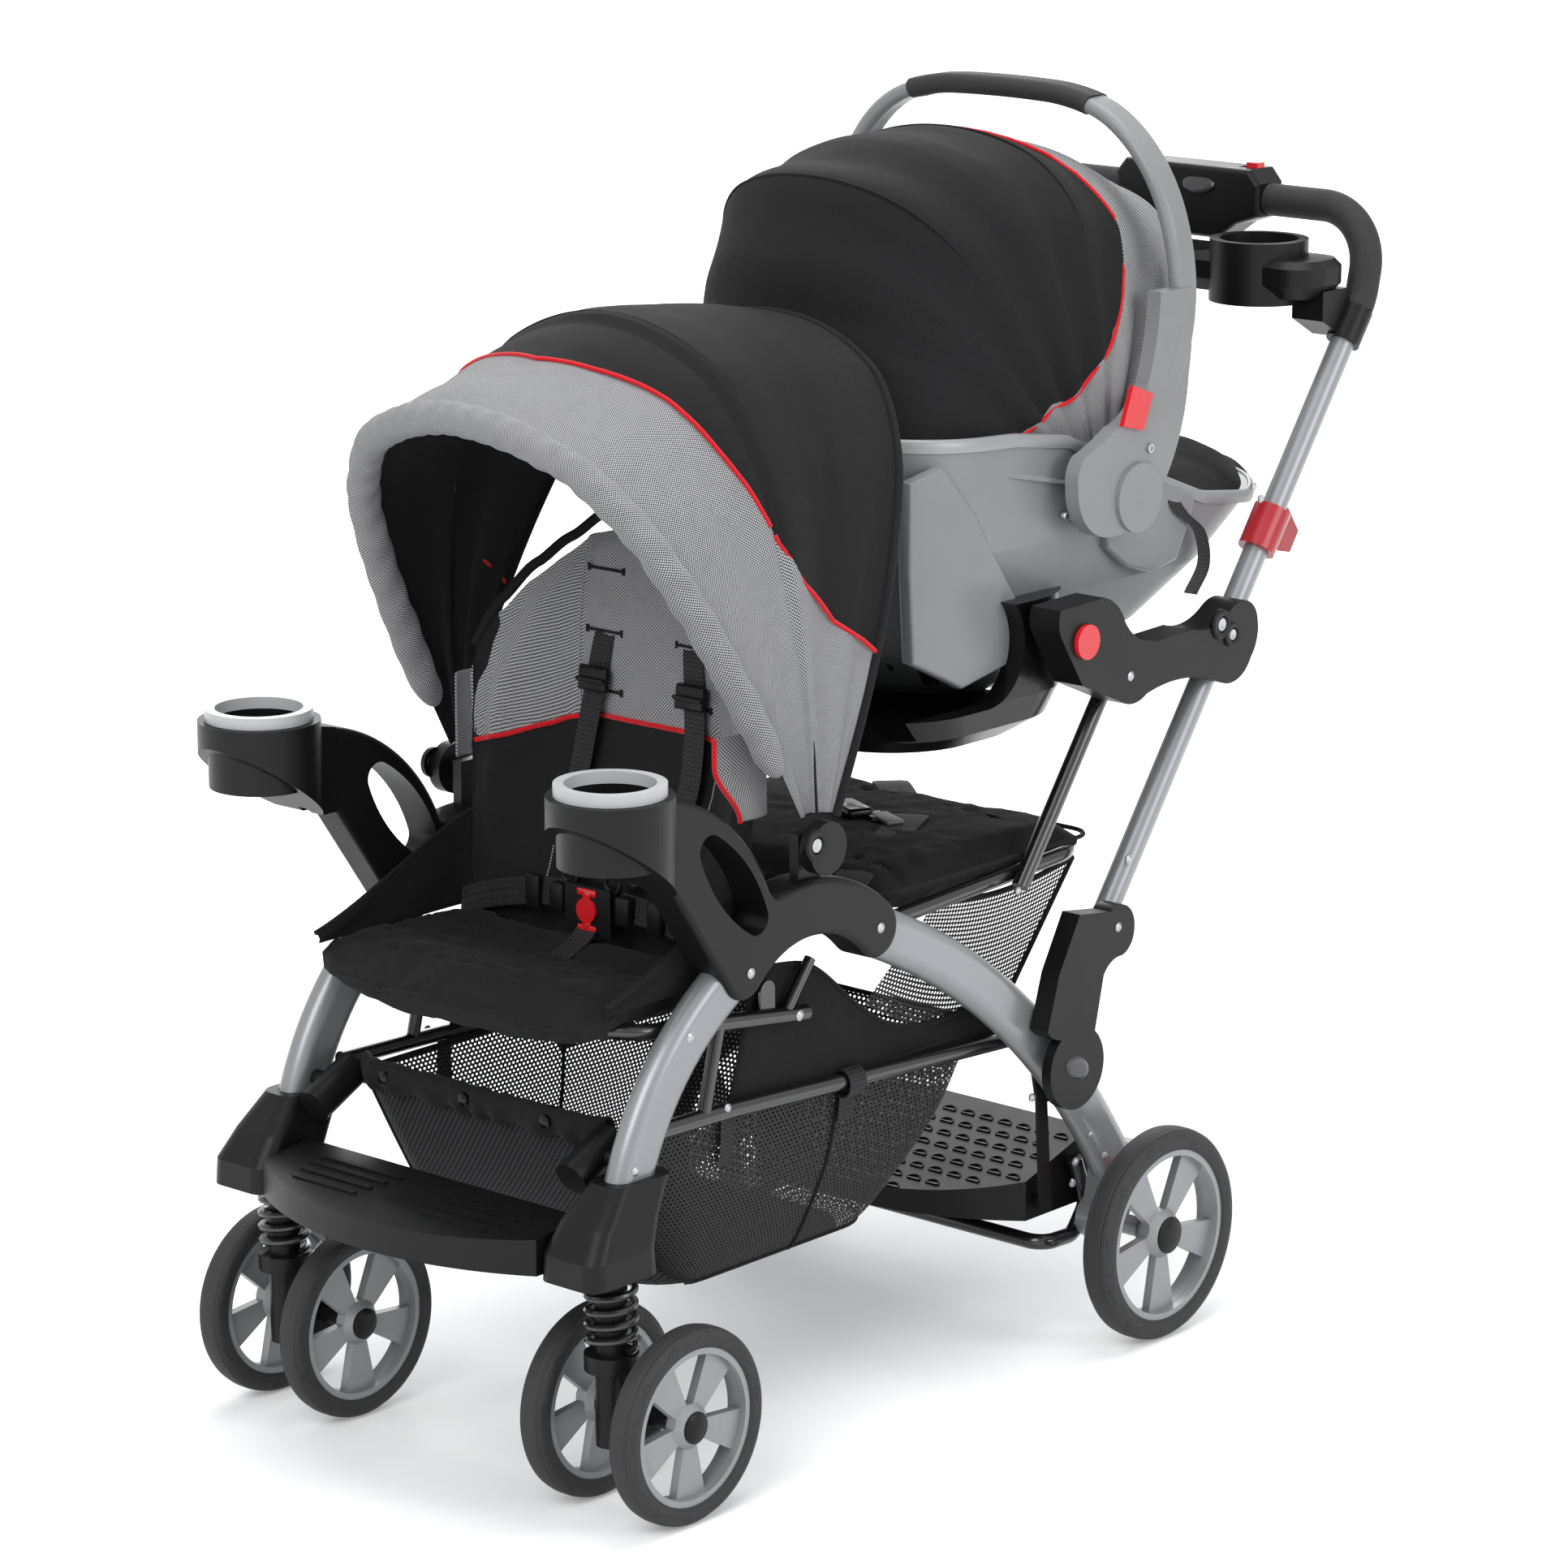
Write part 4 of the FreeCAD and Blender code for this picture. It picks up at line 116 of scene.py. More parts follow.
class Field:
    """A value that runs through a material, worked on with Python operators."""

    def __init__(self, shader: "Shader", socket: bpy.types.NodeSocket) -> None:
        """Args: shader: the material's builder. socket: where the value comes out."""
        self.shader, self.socket = shader, socket

    def _with(self, operation: str, *values: Number) -> "Field":
        """Args: operation: a Math node's. values: its inputs. Returns: the result."""
        made = self.shader.node("ShaderNodeMath", {"operation": operation}, dict(enumerate(values)))
        return Field(self.shader, made.outputs[0])

    def __add__(self, other: Number) -> "Field":
        """self + other"""
        return self._with("ADD", self, other)

    def __radd__(self, other: Number) -> "Field":
        """other + self"""
        return self._with("ADD", other, self)

    def __sub__(self, other: Number) -> "Field":
        """self - other"""
        return self._with("SUBTRACT", self, other)

    def __rsub__(self, other: Number) -> "Field":
        """other - self"""
        return self._with("SUBTRACT", other, self)

    def __mul__(self, other: Number) -> "Field":
        """self * other"""
        return self._with("MULTIPLY", self, other)

    def __rmul__(self, other: Number) -> "Field":
        """other * self"""
        return self._with("MULTIPLY", other, self)

    def __truediv__(self, other: Number) -> "Field":
        """self / other"""
        return self._with("DIVIDE", self, other)

    def __rtruediv__(self, other: Number) -> "Field":
        """other / self"""
        return self._with("DIVIDE", other, self)

    def __pow__(self, other: Number) -> "Field":
        """self ** other"""
        return self._with("POWER", self, other)

    def __mod__(self, other: Number) -> "Field":
        """self % other"""
        return self._with("FLOORED_MODULO", self, other)

    def __neg__(self) -> "Field":
        """-self"""
        return self._with("MULTIPLY", self, -1.0)

    def __abs__(self) -> "Field":
        """abs(self)"""
        return self._with("ABSOLUTE", self)

    def sin(self) -> "Field":
        """The sine of the value, in radians."""
        return self._with("SINE", self)

    def floor(self) -> "Field":
        """The whole number at or under the value."""
        return self._with("FLOOR", self)

    def over(self, edge: Number) -> "Field":
        """1 where the value passes the edge, and 0 elsewhere."""
        return self._with("GREATER_THAN", self, edge)

    def least(self, other: Number) -> "Field":
        """The smaller of the two values."""
        return self._with("MINIMUM", self, other)

    def most(self, other: Number) -> "Field":
        """The larger of the two values."""
        return self._with("MAXIMUM", self, other)

    def ramp(self, low: float, high: float) -> "Field":
        """A smooth rise from 0 at low to 1 at high."""
        made = self.shader.node("ShaderNodeMapRange", {"interpolation_type": "SMOOTHSTEP"},
                                {"Value": self, "From Min": low, "From Max": high})
        return Field(self.shader, made.outputs[0])


class Shader:
    """A material built up from expressions."""

    def __init__(self, name: str) -> None:
        """Args: name: the material's name."""
        self.material = bpy.data.materials.new(name)
        self.material.use_nodes = True
        self.tree = self.material.node_tree
        self.tree.nodes.clear()

    def node(self, kind: str, settings: Optional[dict] = None,
             values: Optional[dict] = None) -> bpy.types.Node:
        """Add a node.

        Args:
            kind: its type.
            settings: what is set on the node itself, before its sockets.
            values: numbers, colours or links for its sockets, by name or place.

        Returns:
            The node.
        """
        made = self.tree.nodes.new(kind)
        for key, value in (settings or {}).items():
            if key == "stops":
                while len(made.color_ramp.elements) < len(value):
                    made.color_ramp.elements.new(0.5)
                for stop, (at, colour) in zip(made.color_ramp.elements, value):
                    stop.position, stop.color = at, (*colour, 1)
            else:
                setattr(made, key, value)
        for key, value in (values or {}).items():
            if isinstance(value, Field):
                self.tree.links.new(value.socket, made.inputs[key])
            elif isinstance(value, bpy.types.NodeSocket):
                self.tree.links.new(value, made.inputs[key])
            else:
                made.inputs[key].default_value = value
        return made

    def object_point(self, scale: Point = (1, 1, 1), move: Point = (0, 0, 0)) -> bpy.types.NodeSocket:
        """The place on the piece in metres, scaled and moved."""
        source = self.node("ShaderNodeTexCoord").outputs["Object"]
        return self.node("ShaderNodeMapping", {},
                         {"Vector": source, "Location": move, "Scale": scale}).outputs[0]

    def along(self) -> tuple[Field, Field]:
        """How far along and across the cloth a point lies, in metres, from the piece's own map."""
        parts = self.node("ShaderNodeSeparateXYZ", {}, {0: self.node("ShaderNodeUVMap").outputs[0]})
        return Field(self, parts.outputs[0]), Field(self, parts.outputs[1])

    def axes(self, point: bpy.types.NodeSocket) -> tuple[Field, Field, Field]:
        """The three numbers of a point."""
        parts = self.node("ShaderNodeSeparateXYZ", {}, {0: point})
        return Field(self, parts.outputs[0]), Field(self, parts.outputs[1]), Field(self, parts.outputs[2])

    def noise(self, size: float, detail: float = 2.0, stretch: Point = (1, 1, 1)) -> Field:
        """Soft random variation, about size metres across."""
        made = self.node("ShaderNodeTexNoise", {}, {
            "Vector": self.object_point(stretch), "Scale": 1 / size, "Detail": detail})
        return Field(self, made.outputs[0])

    def cells(self, size: float) -> Field:
        """Distance from the middle of scattered cells, about size metres across."""
        made = self.node("ShaderNodeTexVoronoi", {}, {"Vector": self.object_point(), "Scale": 1 / size})
        return Field(self, made.outputs[0])

    def attribute(self, name: str) -> Field:
        """A value that the piece's own points carry."""
        return Field(self, self.node("ShaderNodeAttribute", {"attribute_name": name}).outputs["Fac"])

    def blend(self, share: Number, a: Union[tuple, bpy.types.NodeSocket],
              b: Union[tuple, bpy.types.NodeSocket]) -> bpy.types.NodeSocket:
        """A colour a share of the way from a to b."""
        ready = [(*c, 1) if isinstance(c, tuple) and len(c) == 3 else c for c in (a, b)]
        made = self.node("ShaderNodeMix", {"data_type": "RGBA"}, {0: share, 6: ready[0], 7: ready[1]})
        return made.outputs[2]

    def relief(self, height: Field, depth: float,
               under: Optional[bpy.types.NodeSocket] = None) -> bpy.types.NodeSocket:
        """Bumps of a height field, depth metres deep, over an earlier relief."""
        values = {"Height": height, "Distance": depth, "Strength": 1.0}
        if under is not None:
            values["Normal"] = under
        return self.node("ShaderNodeBump", {}, values).outputs[0]

    def finish(self, **values: object) -> bpy.types.Material:
        """Join everything to the surface.

        Args:
            values: the surface's sockets, with underscores for spaces.

        Returns:
            The finished material.
        """
        ready = {key.replace("_", " "): (*v, 1) if isinstance(v,
                tuple) and len(v) == 3 and "Color" in key else v
                 for key, v in values.items()}
        surface = self.node("ShaderNodeBsdfPrincipled", {}, ready)
        self.node("ShaderNodeOutputMaterial", {}, {0: surface.outputs[0]})
        return self.material


# Finishes

Colour = tuple[float, float, float]


@dataclass(frozen=True)
class Moulded:
    """Moulded plastic with a fine spark-eroded grain."""
    colour: Colour
    roughness: float = 0.42
    grain: float = 0.0011
    depth: float = 0.00006
    gloss: float = 0.0
    shine: float = 0.35

    def make(self, name: str) -> bpy.types.Material:
        """Args: name: the material's name. Returns: the material."""
        sh = Shader(name)
        fine, broad = sh.noise(self.grain, 3), sh.noise(0.09, 3)
        tone = sh.blend(broad, tuple(c * 0.86 for c in self.colour),
                        tuple(min(c * 1.14, 1) for c in self.colour))
        rough = broad * 0.12 + fine * 0.05 + (self.roughness - 0.085)
        wave = sh.relief(sh.noise(0.05, 1), 0.0004)
        return sh.finish(Base_Color=tone, Roughness=rough, Normal=sh.relief(fine, self.depth, wave),
                         Specular_IOR_Level=self.shine, Coat_Weight=self.gloss, Coat_Roughness=0.08)


@dataclass(frozen=True)
class Painted:
    """Metallic or solid paint on tube, with a slight orange peel."""
    colour: Colour
    metal: float
    roughness: float
    coat: float = 0.0

    def make(self, name: str) -> bpy.types.Material:
        """Args: name: the material's name. Returns: the material."""
        sh = Shader(name)
        flake, peel, broad = sh.noise(0.0009, 2), sh.noise(0.006, 2), sh.noise(0.12, 2)
        light = tuple(min(c * 1.1, 1) for c in self.colour)
        dark = tuple(c * 0.9 for c in self.colour)
        tone = sh.blend(flake * 0.5 + broad * 0.5, dark, light)
        rough = broad * 0.1 + flake * 0.06 + (self.roughness - 0.08)
        return sh.finish(Base_Color=tone, Metallic=self.metal, Roughness=rough,
                         Normal=sh.relief(peel, 0.00008), Coat_Weight=self.coat, Coat_Roughness=0.12)


class Weave(Enum):
    """How the threads of a cloth cross."""
    PLAIN = "plain"
    CHECK = "check"
    TWILL = "twill"


@dataclass(frozen=True)
class Cloth:
    """Woven cloth, its threads laid on the piece's own map or on its place in space."""
    light: Colour
    dark: Colour
    weave: Weave
    pitch: float = 0.0012
    mapped: bool = True
    crease: float = 0.0016
    sheen: float = 0.25

    def threads(self, sh: Shader) -> tuple[Field, Field]:
        """Args: sh: the material's builder.

        Returns: how far a point lies along warp and weft, in threads.
        """
        if self.mapped:
            u, v = sh.along()
        else:
            x, y, z = sh.axes(sh.object_point())
            u, v = x, y * 0.8 + z
        return u / self.pitch, v / self.pitch

    def make(self, name: str) -> bpy.types.Material:
        """Args: name: the material's name. Returns: the material."""
        sh = Shader(name)
        u, v = self.threads(sh)
        tone, height, rough = self.look(sh, u, v)
        soft = sh.relief(sh.noise(0.03, 3), self.crease)
        return sh.finish(Base_Color=tone, Roughness=rough, Normal=sh.relief(height, 0.00022, soft),
                         Specular_IOR_Level=0.14, Sheen_Weight=self.sheen, Sheen_Roughness=0.45)

    def look(self, sh: Shader, u: Field, v: Field) -> tuple[bpy.types.NodeSocket, Field, Field]:
        """Args: sh, u, v: the builder and the place in threads. Returns: colour, relief and roughness."""
        across, down = (u * math.pi).sin(), (v * math.pi).sin()
        slub = sh.noise(0.012, 2)
        if self.weave is Weave.CHECK:
            share = (across * down * 3.0 + 0.5).most(0.0).least(1.0)
            height = abs(across) * 0.5 + abs(down) * 0.5
        elif self.weave is Weave.TWILL:
            share = ((u + v) * math.pi).sin() * 0.5 + 0.5
            height = share
        else:
            share = across * down * 0.5 + 0.5
            height = share
        share = share * (slub * 0.3 + 0.85)
        rough = 0.86 - share * 0.08
        return sh.blend(share, self.dark, self.light), height, rough


@dataclass(frozen=True)
class TwoTone:
    """A canopy cloth, checked on one side of its piping and plain black on the other."""
    check: Cloth
    plain: Cloth
    mark: str = "past_piping"

    def make(self, name: str) -> bpy.types.Material:
        """Args: name: the material's name. Returns: the material."""
        sh = Shader(name)
        side = sh.attribute(self.mark).over(0.0)
        u, v = self.check.threads(sh)
        one, low, rough = self.check.look(sh, u, v)
        two, high, smooth = self.plain.look(sh, u * (self.check.pitch / self.plain.pitch),
                                            v * (self.check.pitch / self.plain.pitch))
        tone = sh.blend(side, one, two)
        height = low * (1 - side) + high * side
        soft = sh.relief(sh.noise(0.03, 3), self.plain.crease)
        return sh.finish(Base_Color=tone, Roughness=rough * (1 - side) + smooth * side,
                         Normal=sh.relief(height, 0.00022, soft), Specular_IOR_Level=0.14,
                         Sheen_Weight=self.plain.sheen, Sheen_Roughness=0.45)


@dataclass(frozen=True)
class Webbing:
    """Ribbed strap webbing, its ribs along the strap, with painted shade in the grooves and painted highlight on
    the crests.
    """
    colour: Colour
    rib: float = 0.0022

    def make(self, name: str) -> bpy.types.Material:
        """Args: name: the material's name. Returns: the material."""
        sh = Shader(name)
        u, v = sh.along()
        herring = (v / self.rib * math.pi + (u / (self.rib * 1.6) * math.pi).sin() * 1.4).sin()
        rib = herring * 0.5 + 0.5
        # painted shade and highlight: the strap's one colour at half strength in the rib grooves and 1.7 times on
        # the crests
        tone = sh.blend(rib, tuple(c * 0.5 for c in self.colour), tuple(c * 1.7 for c in self.colour))
        return sh.finish(Base_Color=tone, Roughness=0.72 - rib * 0.12, Normal=sh.relief(rib, 0.0005),
                         Specular_IOR_Level=0.3, Sheen_Weight=0.04, Sheen_Roughness=0.4)


@dataclass(frozen=True)
class Netting:
    """Open knitted net, its holes cut by alpha in a six-sided grid."""
    colour: Colour
    pitch: float = 0.0045
    thread: float = 0.25

    def make(self, name: str) -> bpy.types.Material:
        """Args: name: the material's name. Returns: the material."""
        sh = Shader(name)
        u, v = sh.along()
        column = u / self.pitch
        row = v / (self.pitch * 0.866)

        def cell(shift: float) -> Field:
            a = abs((column + shift) % 1.0 - 0.5)
            b = abs((row * 0.5 + shift) % 1.0 - 0.5)
            return (a * a + b * b * 3.0)

        near = cell(0.0).least(cell(0.5))
        thread = near.over((0.5 - self.thread) ** 2)
        tone = sh.blend(sh.noise(0.004, 1), tuple(c * 0.7 for c in self.colour),
                        tuple(c * 1.3 for c in self.colour))
        return sh.finish(Base_Color=tone, Roughness=0.8, Alpha=thread, Normal=sh.relief(near, 0.0006))


@dataclass(frozen=True)
class Foam:
    """Closed-cell foam with a skinned, slightly pebbled surface."""
    colour: Colour

    def make(self, name: str) -> bpy.types.Material:
        """Args: name: the material's name. Returns: the material."""
        sh = Shader(name)
        pore, broad = sh.cells(0.0014), sh.noise(0.03, 2)
        tone = sh.blend(broad, tuple(c * 0.8 for c in self.colour), tuple(c * 1.25 for c in self.colour))
        return sh.finish(Base_Color=tone, Roughness=0.7 + pore * 0.15,
                         Normal=sh.relief(pore + broad * 2.0, 0.00018))


@dataclass(frozen=True)
class Rubber:
    """Tyre rubber with scrolls raised on its sidewalls, laid round the wheel in millimetres."""
    colour: Colour
    scrolls: int = 12
    length: float = 44.0
    depth: float = 18.5

    def make(self, name: str) -> bpy.types.Material:
        """Args: name: the material's name. Returns: the material."""
        sh = Shader(name)
        u, v = sh.along()
        turn = ((u * self.scrolls) % 1.0 - 0.5) * self.length
        side = (v - 0.52) * self.depth
        curl = abs((((turn - 7) ** 2 + (side - 1.2) ** 2) ** 0.5) - 3.2 - turn * 0.06)
        back_curl = abs((((turn + 8) ** 2 + (side + 1.4) ** 2) ** 0.5) - 2.6)
        wave = abs(side - (turn * (math.pi / self.length * 2)).sin() * 3.4)
        line = curl.least(back_curl).least(wave)
        mark = (1 - line.ramp(0.45, 0.95)) * (1 - abs(side).ramp(6.4, 6.9))
        ring = 1 - abs(abs(side) - 7.6).ramp(0.3, 0.6)
        mark = mark.most(ring)
        dust = sh.noise(0.03, 4)
        tone = sh.blend(dust, tuple(c * 0.75 for c in self.colour), tuple(c * 1.4 for c in self.colour))
        fine = sh.relief(sh.noise(0.0012, 2), 0.00008)
        return sh.finish(Base_Color=tone, Roughness=0.62 + dust * 0.14, Normal=sh.relief(mark, 0.0014, fine))


@dataclass(frozen=True)
class Plated:
    """Bright zinc plate of rivets, screws and pins."""
    colour: Colour = (0.4, 0.4, 0.41)

    def make(self, name: str) -> bpy.types.Material:
        """Args: name: the material's name. Returns: the material."""
        sh = Shader(name)
        rub = sh.noise(0.002, 3)
        return sh.finish(Base_Color=self.colour, Metallic=0.9, Roughness=0.3 + rub * 0.2,
                         Normal=sh.relief(rub, 0.00005))


LIGHT_THREAD, DARK_THREAD = (0.45, 0.45, 0.46), (0.03, 0.03, 0.034)
BLACK_THREAD, SHADE_THREAD = (0.0165, 0.0165, 0.0175), (0.006, 0.006, 0.0064)
GREY_CHECK = Cloth(LIGHT_THREAD, DARK_THREAD, Weave.CHECK, 0.0017, sheen=0.1)
GREY_SPACE = Cloth(LIGHT_THREAD, DARK_THREAD, Weave.CHECK, 0.0017, False, sheen=0.1)
BLACK_PLAIN = Cloth(BLACK_THREAD, SHADE_THREAD, Weave.TWILL, 0.0009, sheen=0.03)
BLACK_SPACE = Cloth(BLACK_THREAD, SHADE_THREAD, Weave.TWILL, 0.0011, False, sheen=0.03)


class Finish(Enum):
    """Every finish on the stroller."""
    SILVER = Painted((0.24, 0.247, 0.26), 0.35, 0.36, 0.25)
    BLACK_TUBE = Painted((0.007, 0.007, 0.0075), 0.0, 0.25, 0.4)
    BLACK = Moulded((0.0055, 0.0055, 0.006), 0.4, shine=0.2)
    GLOSS = Moulded((0.003, 0.003, 0.0033), 0.24, 0.004, 0.00002, 0.12, 0.2)
    PALE = Moulded((0.47, 0.48, 0.49), 0.36)
    SHELL = Moulded((0.21, 0.214, 0.22), 0.36)
    RIM = Painted((0.27, 0.275, 0.285), 0.25, 0.4)
    RED = Moulded((0.62, 0.012, 0.018), 0.26, 0.003, 0.00003, 0.3)
    MAROON = Moulded((0.33, 0.012, 0.02), 0.32, 0.003, 0.00003, 0.3)
    TYRE = Rubber((0.017, 0.017, 0.018))
    BLACK_CLOTH = BLACK_PLAIN
    BLACK_PAD = BLACK_SPACE
    GREY_CLOTH = GREY_CHECK
    GREY_PAD = GREY_SPACE
    CANOPY = TwoTone(GREY_CHECK, BLACK_PLAIN)
    SEAT_BACK = TwoTone(GREY_SPACE, BLACK_SPACE)
    STRAP = Webbing((0.011, 0.011, 0.012))
    NET = Netting((0.011, 0.011, 0.012))
    MESH = Cloth((0.05, 0.05, 0.052), (0.008, 0.008, 0.009), Weave.CHECK, 0.003, sheen=0.03)
    SPRING = Painted((0.007, 0.007, 0.0075), 0.0, 0.3, 0.4)
    FOAM = Foam((0.012, 0.012, 0.013))
    PLATE = Moulded((0.2, 0.2, 0.205), 0.5)
    BADGE = Moulded((0.03, 0.03, 0.032), 0.25, gloss=0.3)
    ZINC = Plated()
    # The piping is one red cord: its darker red lies in the weave's hollows as painted shade.
    PIPING = Cloth((0.68, 0.012, 0.02), (0.45, 0.006, 0.012), Weave.PLAIN, 0.0009, False, 0.0002)


class Palette:
    """The finishes as materials, each made once."""

    def __init__(self) -> None:
        """Start with no material made."""
        self.made: dict[Finish, bpy.types.Material] = {}

    def get(self, finish: Finish) -> bpy.types.Material:
        """Args: finish: which. Returns: its material."""
        if finish not in self.made:
            self.made[finish] = finish.value.make(finish.name.lower())
        return self.made[finish]


PALETTE = Palette()


# Making pieces

class Work:
    """A piece under construction."""

    def __init__(self, name: str) -> None:
        """Args: name: the finished piece's name."""
        self.name = name
        self.bm = bmesh.new()
        self.map = self.bm.loops.layers.uv.new("map")

    def lathe(self, profile: Sequence[Flat], centre: Vector, axis: Vector, steps: int = 48) -> "Work":
        """Spin a profile round an axis.

        Args:
            profile: (radius, height along the axis) in millimetres.
            centre: where the axis starts, in metres.
            axis: its direction.
            steps: how many faces go round.

        Returns:
            This work, for the next step.
        """
        along = axis.normalized()
        out = along.orthogonal().normalized()
        spots = [self.bm.verts.new(centre + (out * r + along * h) / 1000) for r, h in profile]
        edges = [self.bm.edges.new(pair) for pair in zip(spots, spots[1:])]
        bmesh.ops.spin(self.bm, geom=spots + edges, cent=centre, axis=along, dvec=(0, 0, 0),
                       angle=TURN, steps=steps, use_merge=True, use_duplicate=False)
        bmesh.ops.remove_doubles(self.bm, verts=self.bm.verts, dist=1e-6)
        bmesh.ops.recalc_face_normals(self.bm, faces=self.bm.faces)
        return self

    def sheet(self, surface: Surface, columns: int, rows: int, size: Flat = (1, 1)) -> "Work":
        """Lay a grid over a surface.

        Args:
            surface: gives a point in metres for two shares from 0 to 1.
            columns, rows: how many faces along each share.
            size: the cloth's real width and length in metres, for its map.

        Returns:
            This work.
        """
        made = bmesh.ops.create_grid(self.bm, x_segments=columns, y_segments=rows, size=0.5)["verts"]
        fresh = set(made)
        shares = {v: (v.co.x + 0.5, v.co.y + 0.5) for v in made}
        for face in self.bm.faces:
            for loop in face.loops:
                if loop.vert in fresh:
                    u, v = shares[loop.vert]
                    loop[self.map].uv = (u * size[0], v * size[1])
        for vert, (u, v) in shares.items():
            vert.co = surface(u, v)
        return self

    def strap(self, track: Track, across: Union[Vector, Callable[[float], Vector]], width: float,
              thick: float, rows: int = 60) -> "Work":
        """Lay flat webbing along a line.

        Args:
            track: its middle line, in millimetres from the front axle.
            across: its width's direction, or one that changes along it.
            width, thick: in millimetres.
            rows: how many steps along it.

        Returns:
            This work.
        """
        def lay(u: float, v: float) -> Vector:
            side = across(v) if callable(across) else across
            crown = 1 - (2 * u - 1) ** 6
            centre = place(*track.at(v))
            ahead = place(*track.at(min(v + 0.01, 1))) - place(*track.at(max(v - 0.01, 0)))
            up = side.cross(ahead).normalized()
            return centre + side.normalized() * (u - 0.5) * width / 1000 + up * crown * thick / 4000

        before = set(self.bm.faces)
        self.sheet(lay, 6, rows, (width / 1000, track.reach[-1] / 1000))
        fresh = [f for f in self.bm.faces if f not in before]
        bmesh.ops.solidify(self.bm, geom=fresh, thickness=-thick / 1000)
        return self

    def block(self, low: Point, high: Point, edge: float, segments: int = 3,
              turn: Optional[Matrix] = None) -> "Work":
        """A block with rounded edges.

        Args:
            low, high: its corners, in millimetres from the front axle.
            edge: its edges' radius, in millimetres.
            segments: how fine the edges are.
            turn: a turn about its middle.

        Returns:
            This work.
        """
        a, b = place(*low), place(*high)
        made = bmesh.ops.create_cube(self.bm, size=1)["verts"]
        bmesh.ops.scale(self.bm, verts=made, vec=b - a)
        if edge:
            links = {e for v in made for e in v.link_edges}
            result = bmesh.ops.bevel(self.bm, geom=list(links), offset=edge / 1000, offset_type="OFFSET",
                                     segments=segments, profile=0.5, affect="EDGES", material=-1)
            made = result["verts"]
        if turn is not None:
            bmesh.ops.transform(self.bm, matrix=turn.to_4x4(), verts=made)
        bmesh.ops.translate(self.bm, verts=made, vec=(a + b) / 2)
        return self

    def prism(self, outline: Sequence[Flat], x: float, width: float, edge: float = 0.0) -> "Work":
        """A flat plate of a side outline.

        Args:
            outline: (y, z) corners in order, in millimetres.
            x: its middle across the stroller.
            width: how thick it is, outwards both ways.
            edge: its rims' radius.

        Returns:
            This work.
        """
        spots = [self.bm.verts.new(place(x - width / 2, y, z)) for y, z in outline]
        face = self.bm.faces.new(spots)
        grown = bmesh.ops.extrude_face_region(self.bm, geom=[face])["geom"]
        verts = [g for g in grown if isinstance(g, bmesh.types.BMVert)]
        bmesh.ops.translate(self.bm, verts=verts, vec=(width / 1000, 0, 0))
        bmesh.ops.recalc_face_normals(self.bm, faces=self.bm.faces)
        if edge:
            ends = [e for v in spots + verts for e in v.link_edges
                    if len(e.link_faces) == 2 and abs(e.verts[0].co.x - e.verts[1].co.x) < 1e-7]
            bmesh.ops.bevel(self.bm, geom=list(set(ends)), offset=edge / 1000, offset_type="OFFSET",
                            segments=3, profile=0.5, affect="EDGES", material=-1)
        return self

    def tube(self, points: Sequence[Vector], radius: float, sides: int = 12, closed: bool = False) -> "Work":
        """A round rod along points.

        Args:
            points: in metres, close together.
            radius: in millimetres.
            sides: how many faces go round it.
            closed: whether it is a ring.

        Returns:
            This work.
        """
        rings: list[list[bmesh.types.BMVert]] = []
        count = len(points)
        up: Optional[Vector] = None
        for i, p in enumerate(points):
            a = points[i - 1] if closed or i else p
            b = points[(i + 1) % count] if closed or i < count - 1 else p
            ahead = (b - a).normalized()
            up = ahead.orthogonal().normalized() if up is None else (up - ahead * up.dot(ahead)).normalized()
            ring = bmesh.ops.create_circle(self.bm, segments=sides, radius=radius / 1000)["verts"]
            side = ahead.cross(up)
            turn = Matrix((up, side, ahead)).transposed().to_4x4()
            bmesh.ops.transform(self.bm, matrix=Matrix.Translation(p) @ turn, verts=ring)
            rings.append(ring)
        pairs = list(zip(rings, rings[1:])) + ([(rings[-1], rings[0])] if closed else [])
        for a_ring, b_ring in pairs:
            edges = [e for v in a_ring for e in v.link_edges if e.other_vert(v) in a_ring]
            edges += [e for v in b_ring for e in v.link_edges if e.other_vert(v) in b_ring]
            bmesh.ops.bridge_loops(self.bm, edges=list(set(edges)))
        if not closed:
            for ring in (rings[0], rings[-1]):
                bmesh.ops.contextual_create(self.bm, geom=ring)
        bmesh.ops.recalc_face_normals(self.bm, faces=self.bm.faces)
        return self

    def piece(self, body: str, finish: Finish, slot: Optional[str] = None, sharp: float = 38.0, thick: float = 0.0,
              smooth: int = 0, replaces: Sequence[str] = (),
              lining: Optional[Finish] = None) -> bpy.types.Object:
        """Turn the work into a piece of the stroller.

        Args:
            body: the moving body that it rides on.
            finish: its material.
            slot: not used.
            sharp: edges past this angle in degrees stay sharp.
            thick: a wall's thickness in millimetres, grown inwards.
            smooth: subdivision levels.
            replaces: the CAD nodes that it stands for.
            lining: the material of the wall's inner side, where it differs.

        Returns:
            The piece.
        """
        mesh = bpy.data.meshes.new(self.name)
        self.bm.to_mesh(mesh)
        self.bm.free()
        mesh.polygons.foreach_set("use_smooth", [True] * len(mesh.polygons))
        mesh.set_sharp_from_angle(angle=math.radians(sharp))
        mesh.materials.append(PALETTE.get(lining or finish))
        made = bpy.data.objects.new(self.name, mesh)
        bpy.context.scene.collection.objects.link(made)
        if thick:
            wall = made.modifiers.new("wall", "SOLIDIFY")
            wall.thickness, wall.offset = thick / 1000, -1
            wall.use_even_offset = False
            if lining:
                mesh.materials.append(PALETTE.get(finish))
                wall.material_offset = 1
        if smooth:
            soft = made.modifiers.new("soft", "SUBSURF")
            soft.levels = soft.render_levels = smooth
        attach(made, body)
        if replaces:
            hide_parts(*replaces)
        log.info("%s: %d faces on %s", self.name, len(mesh.polygons), body)
        return made


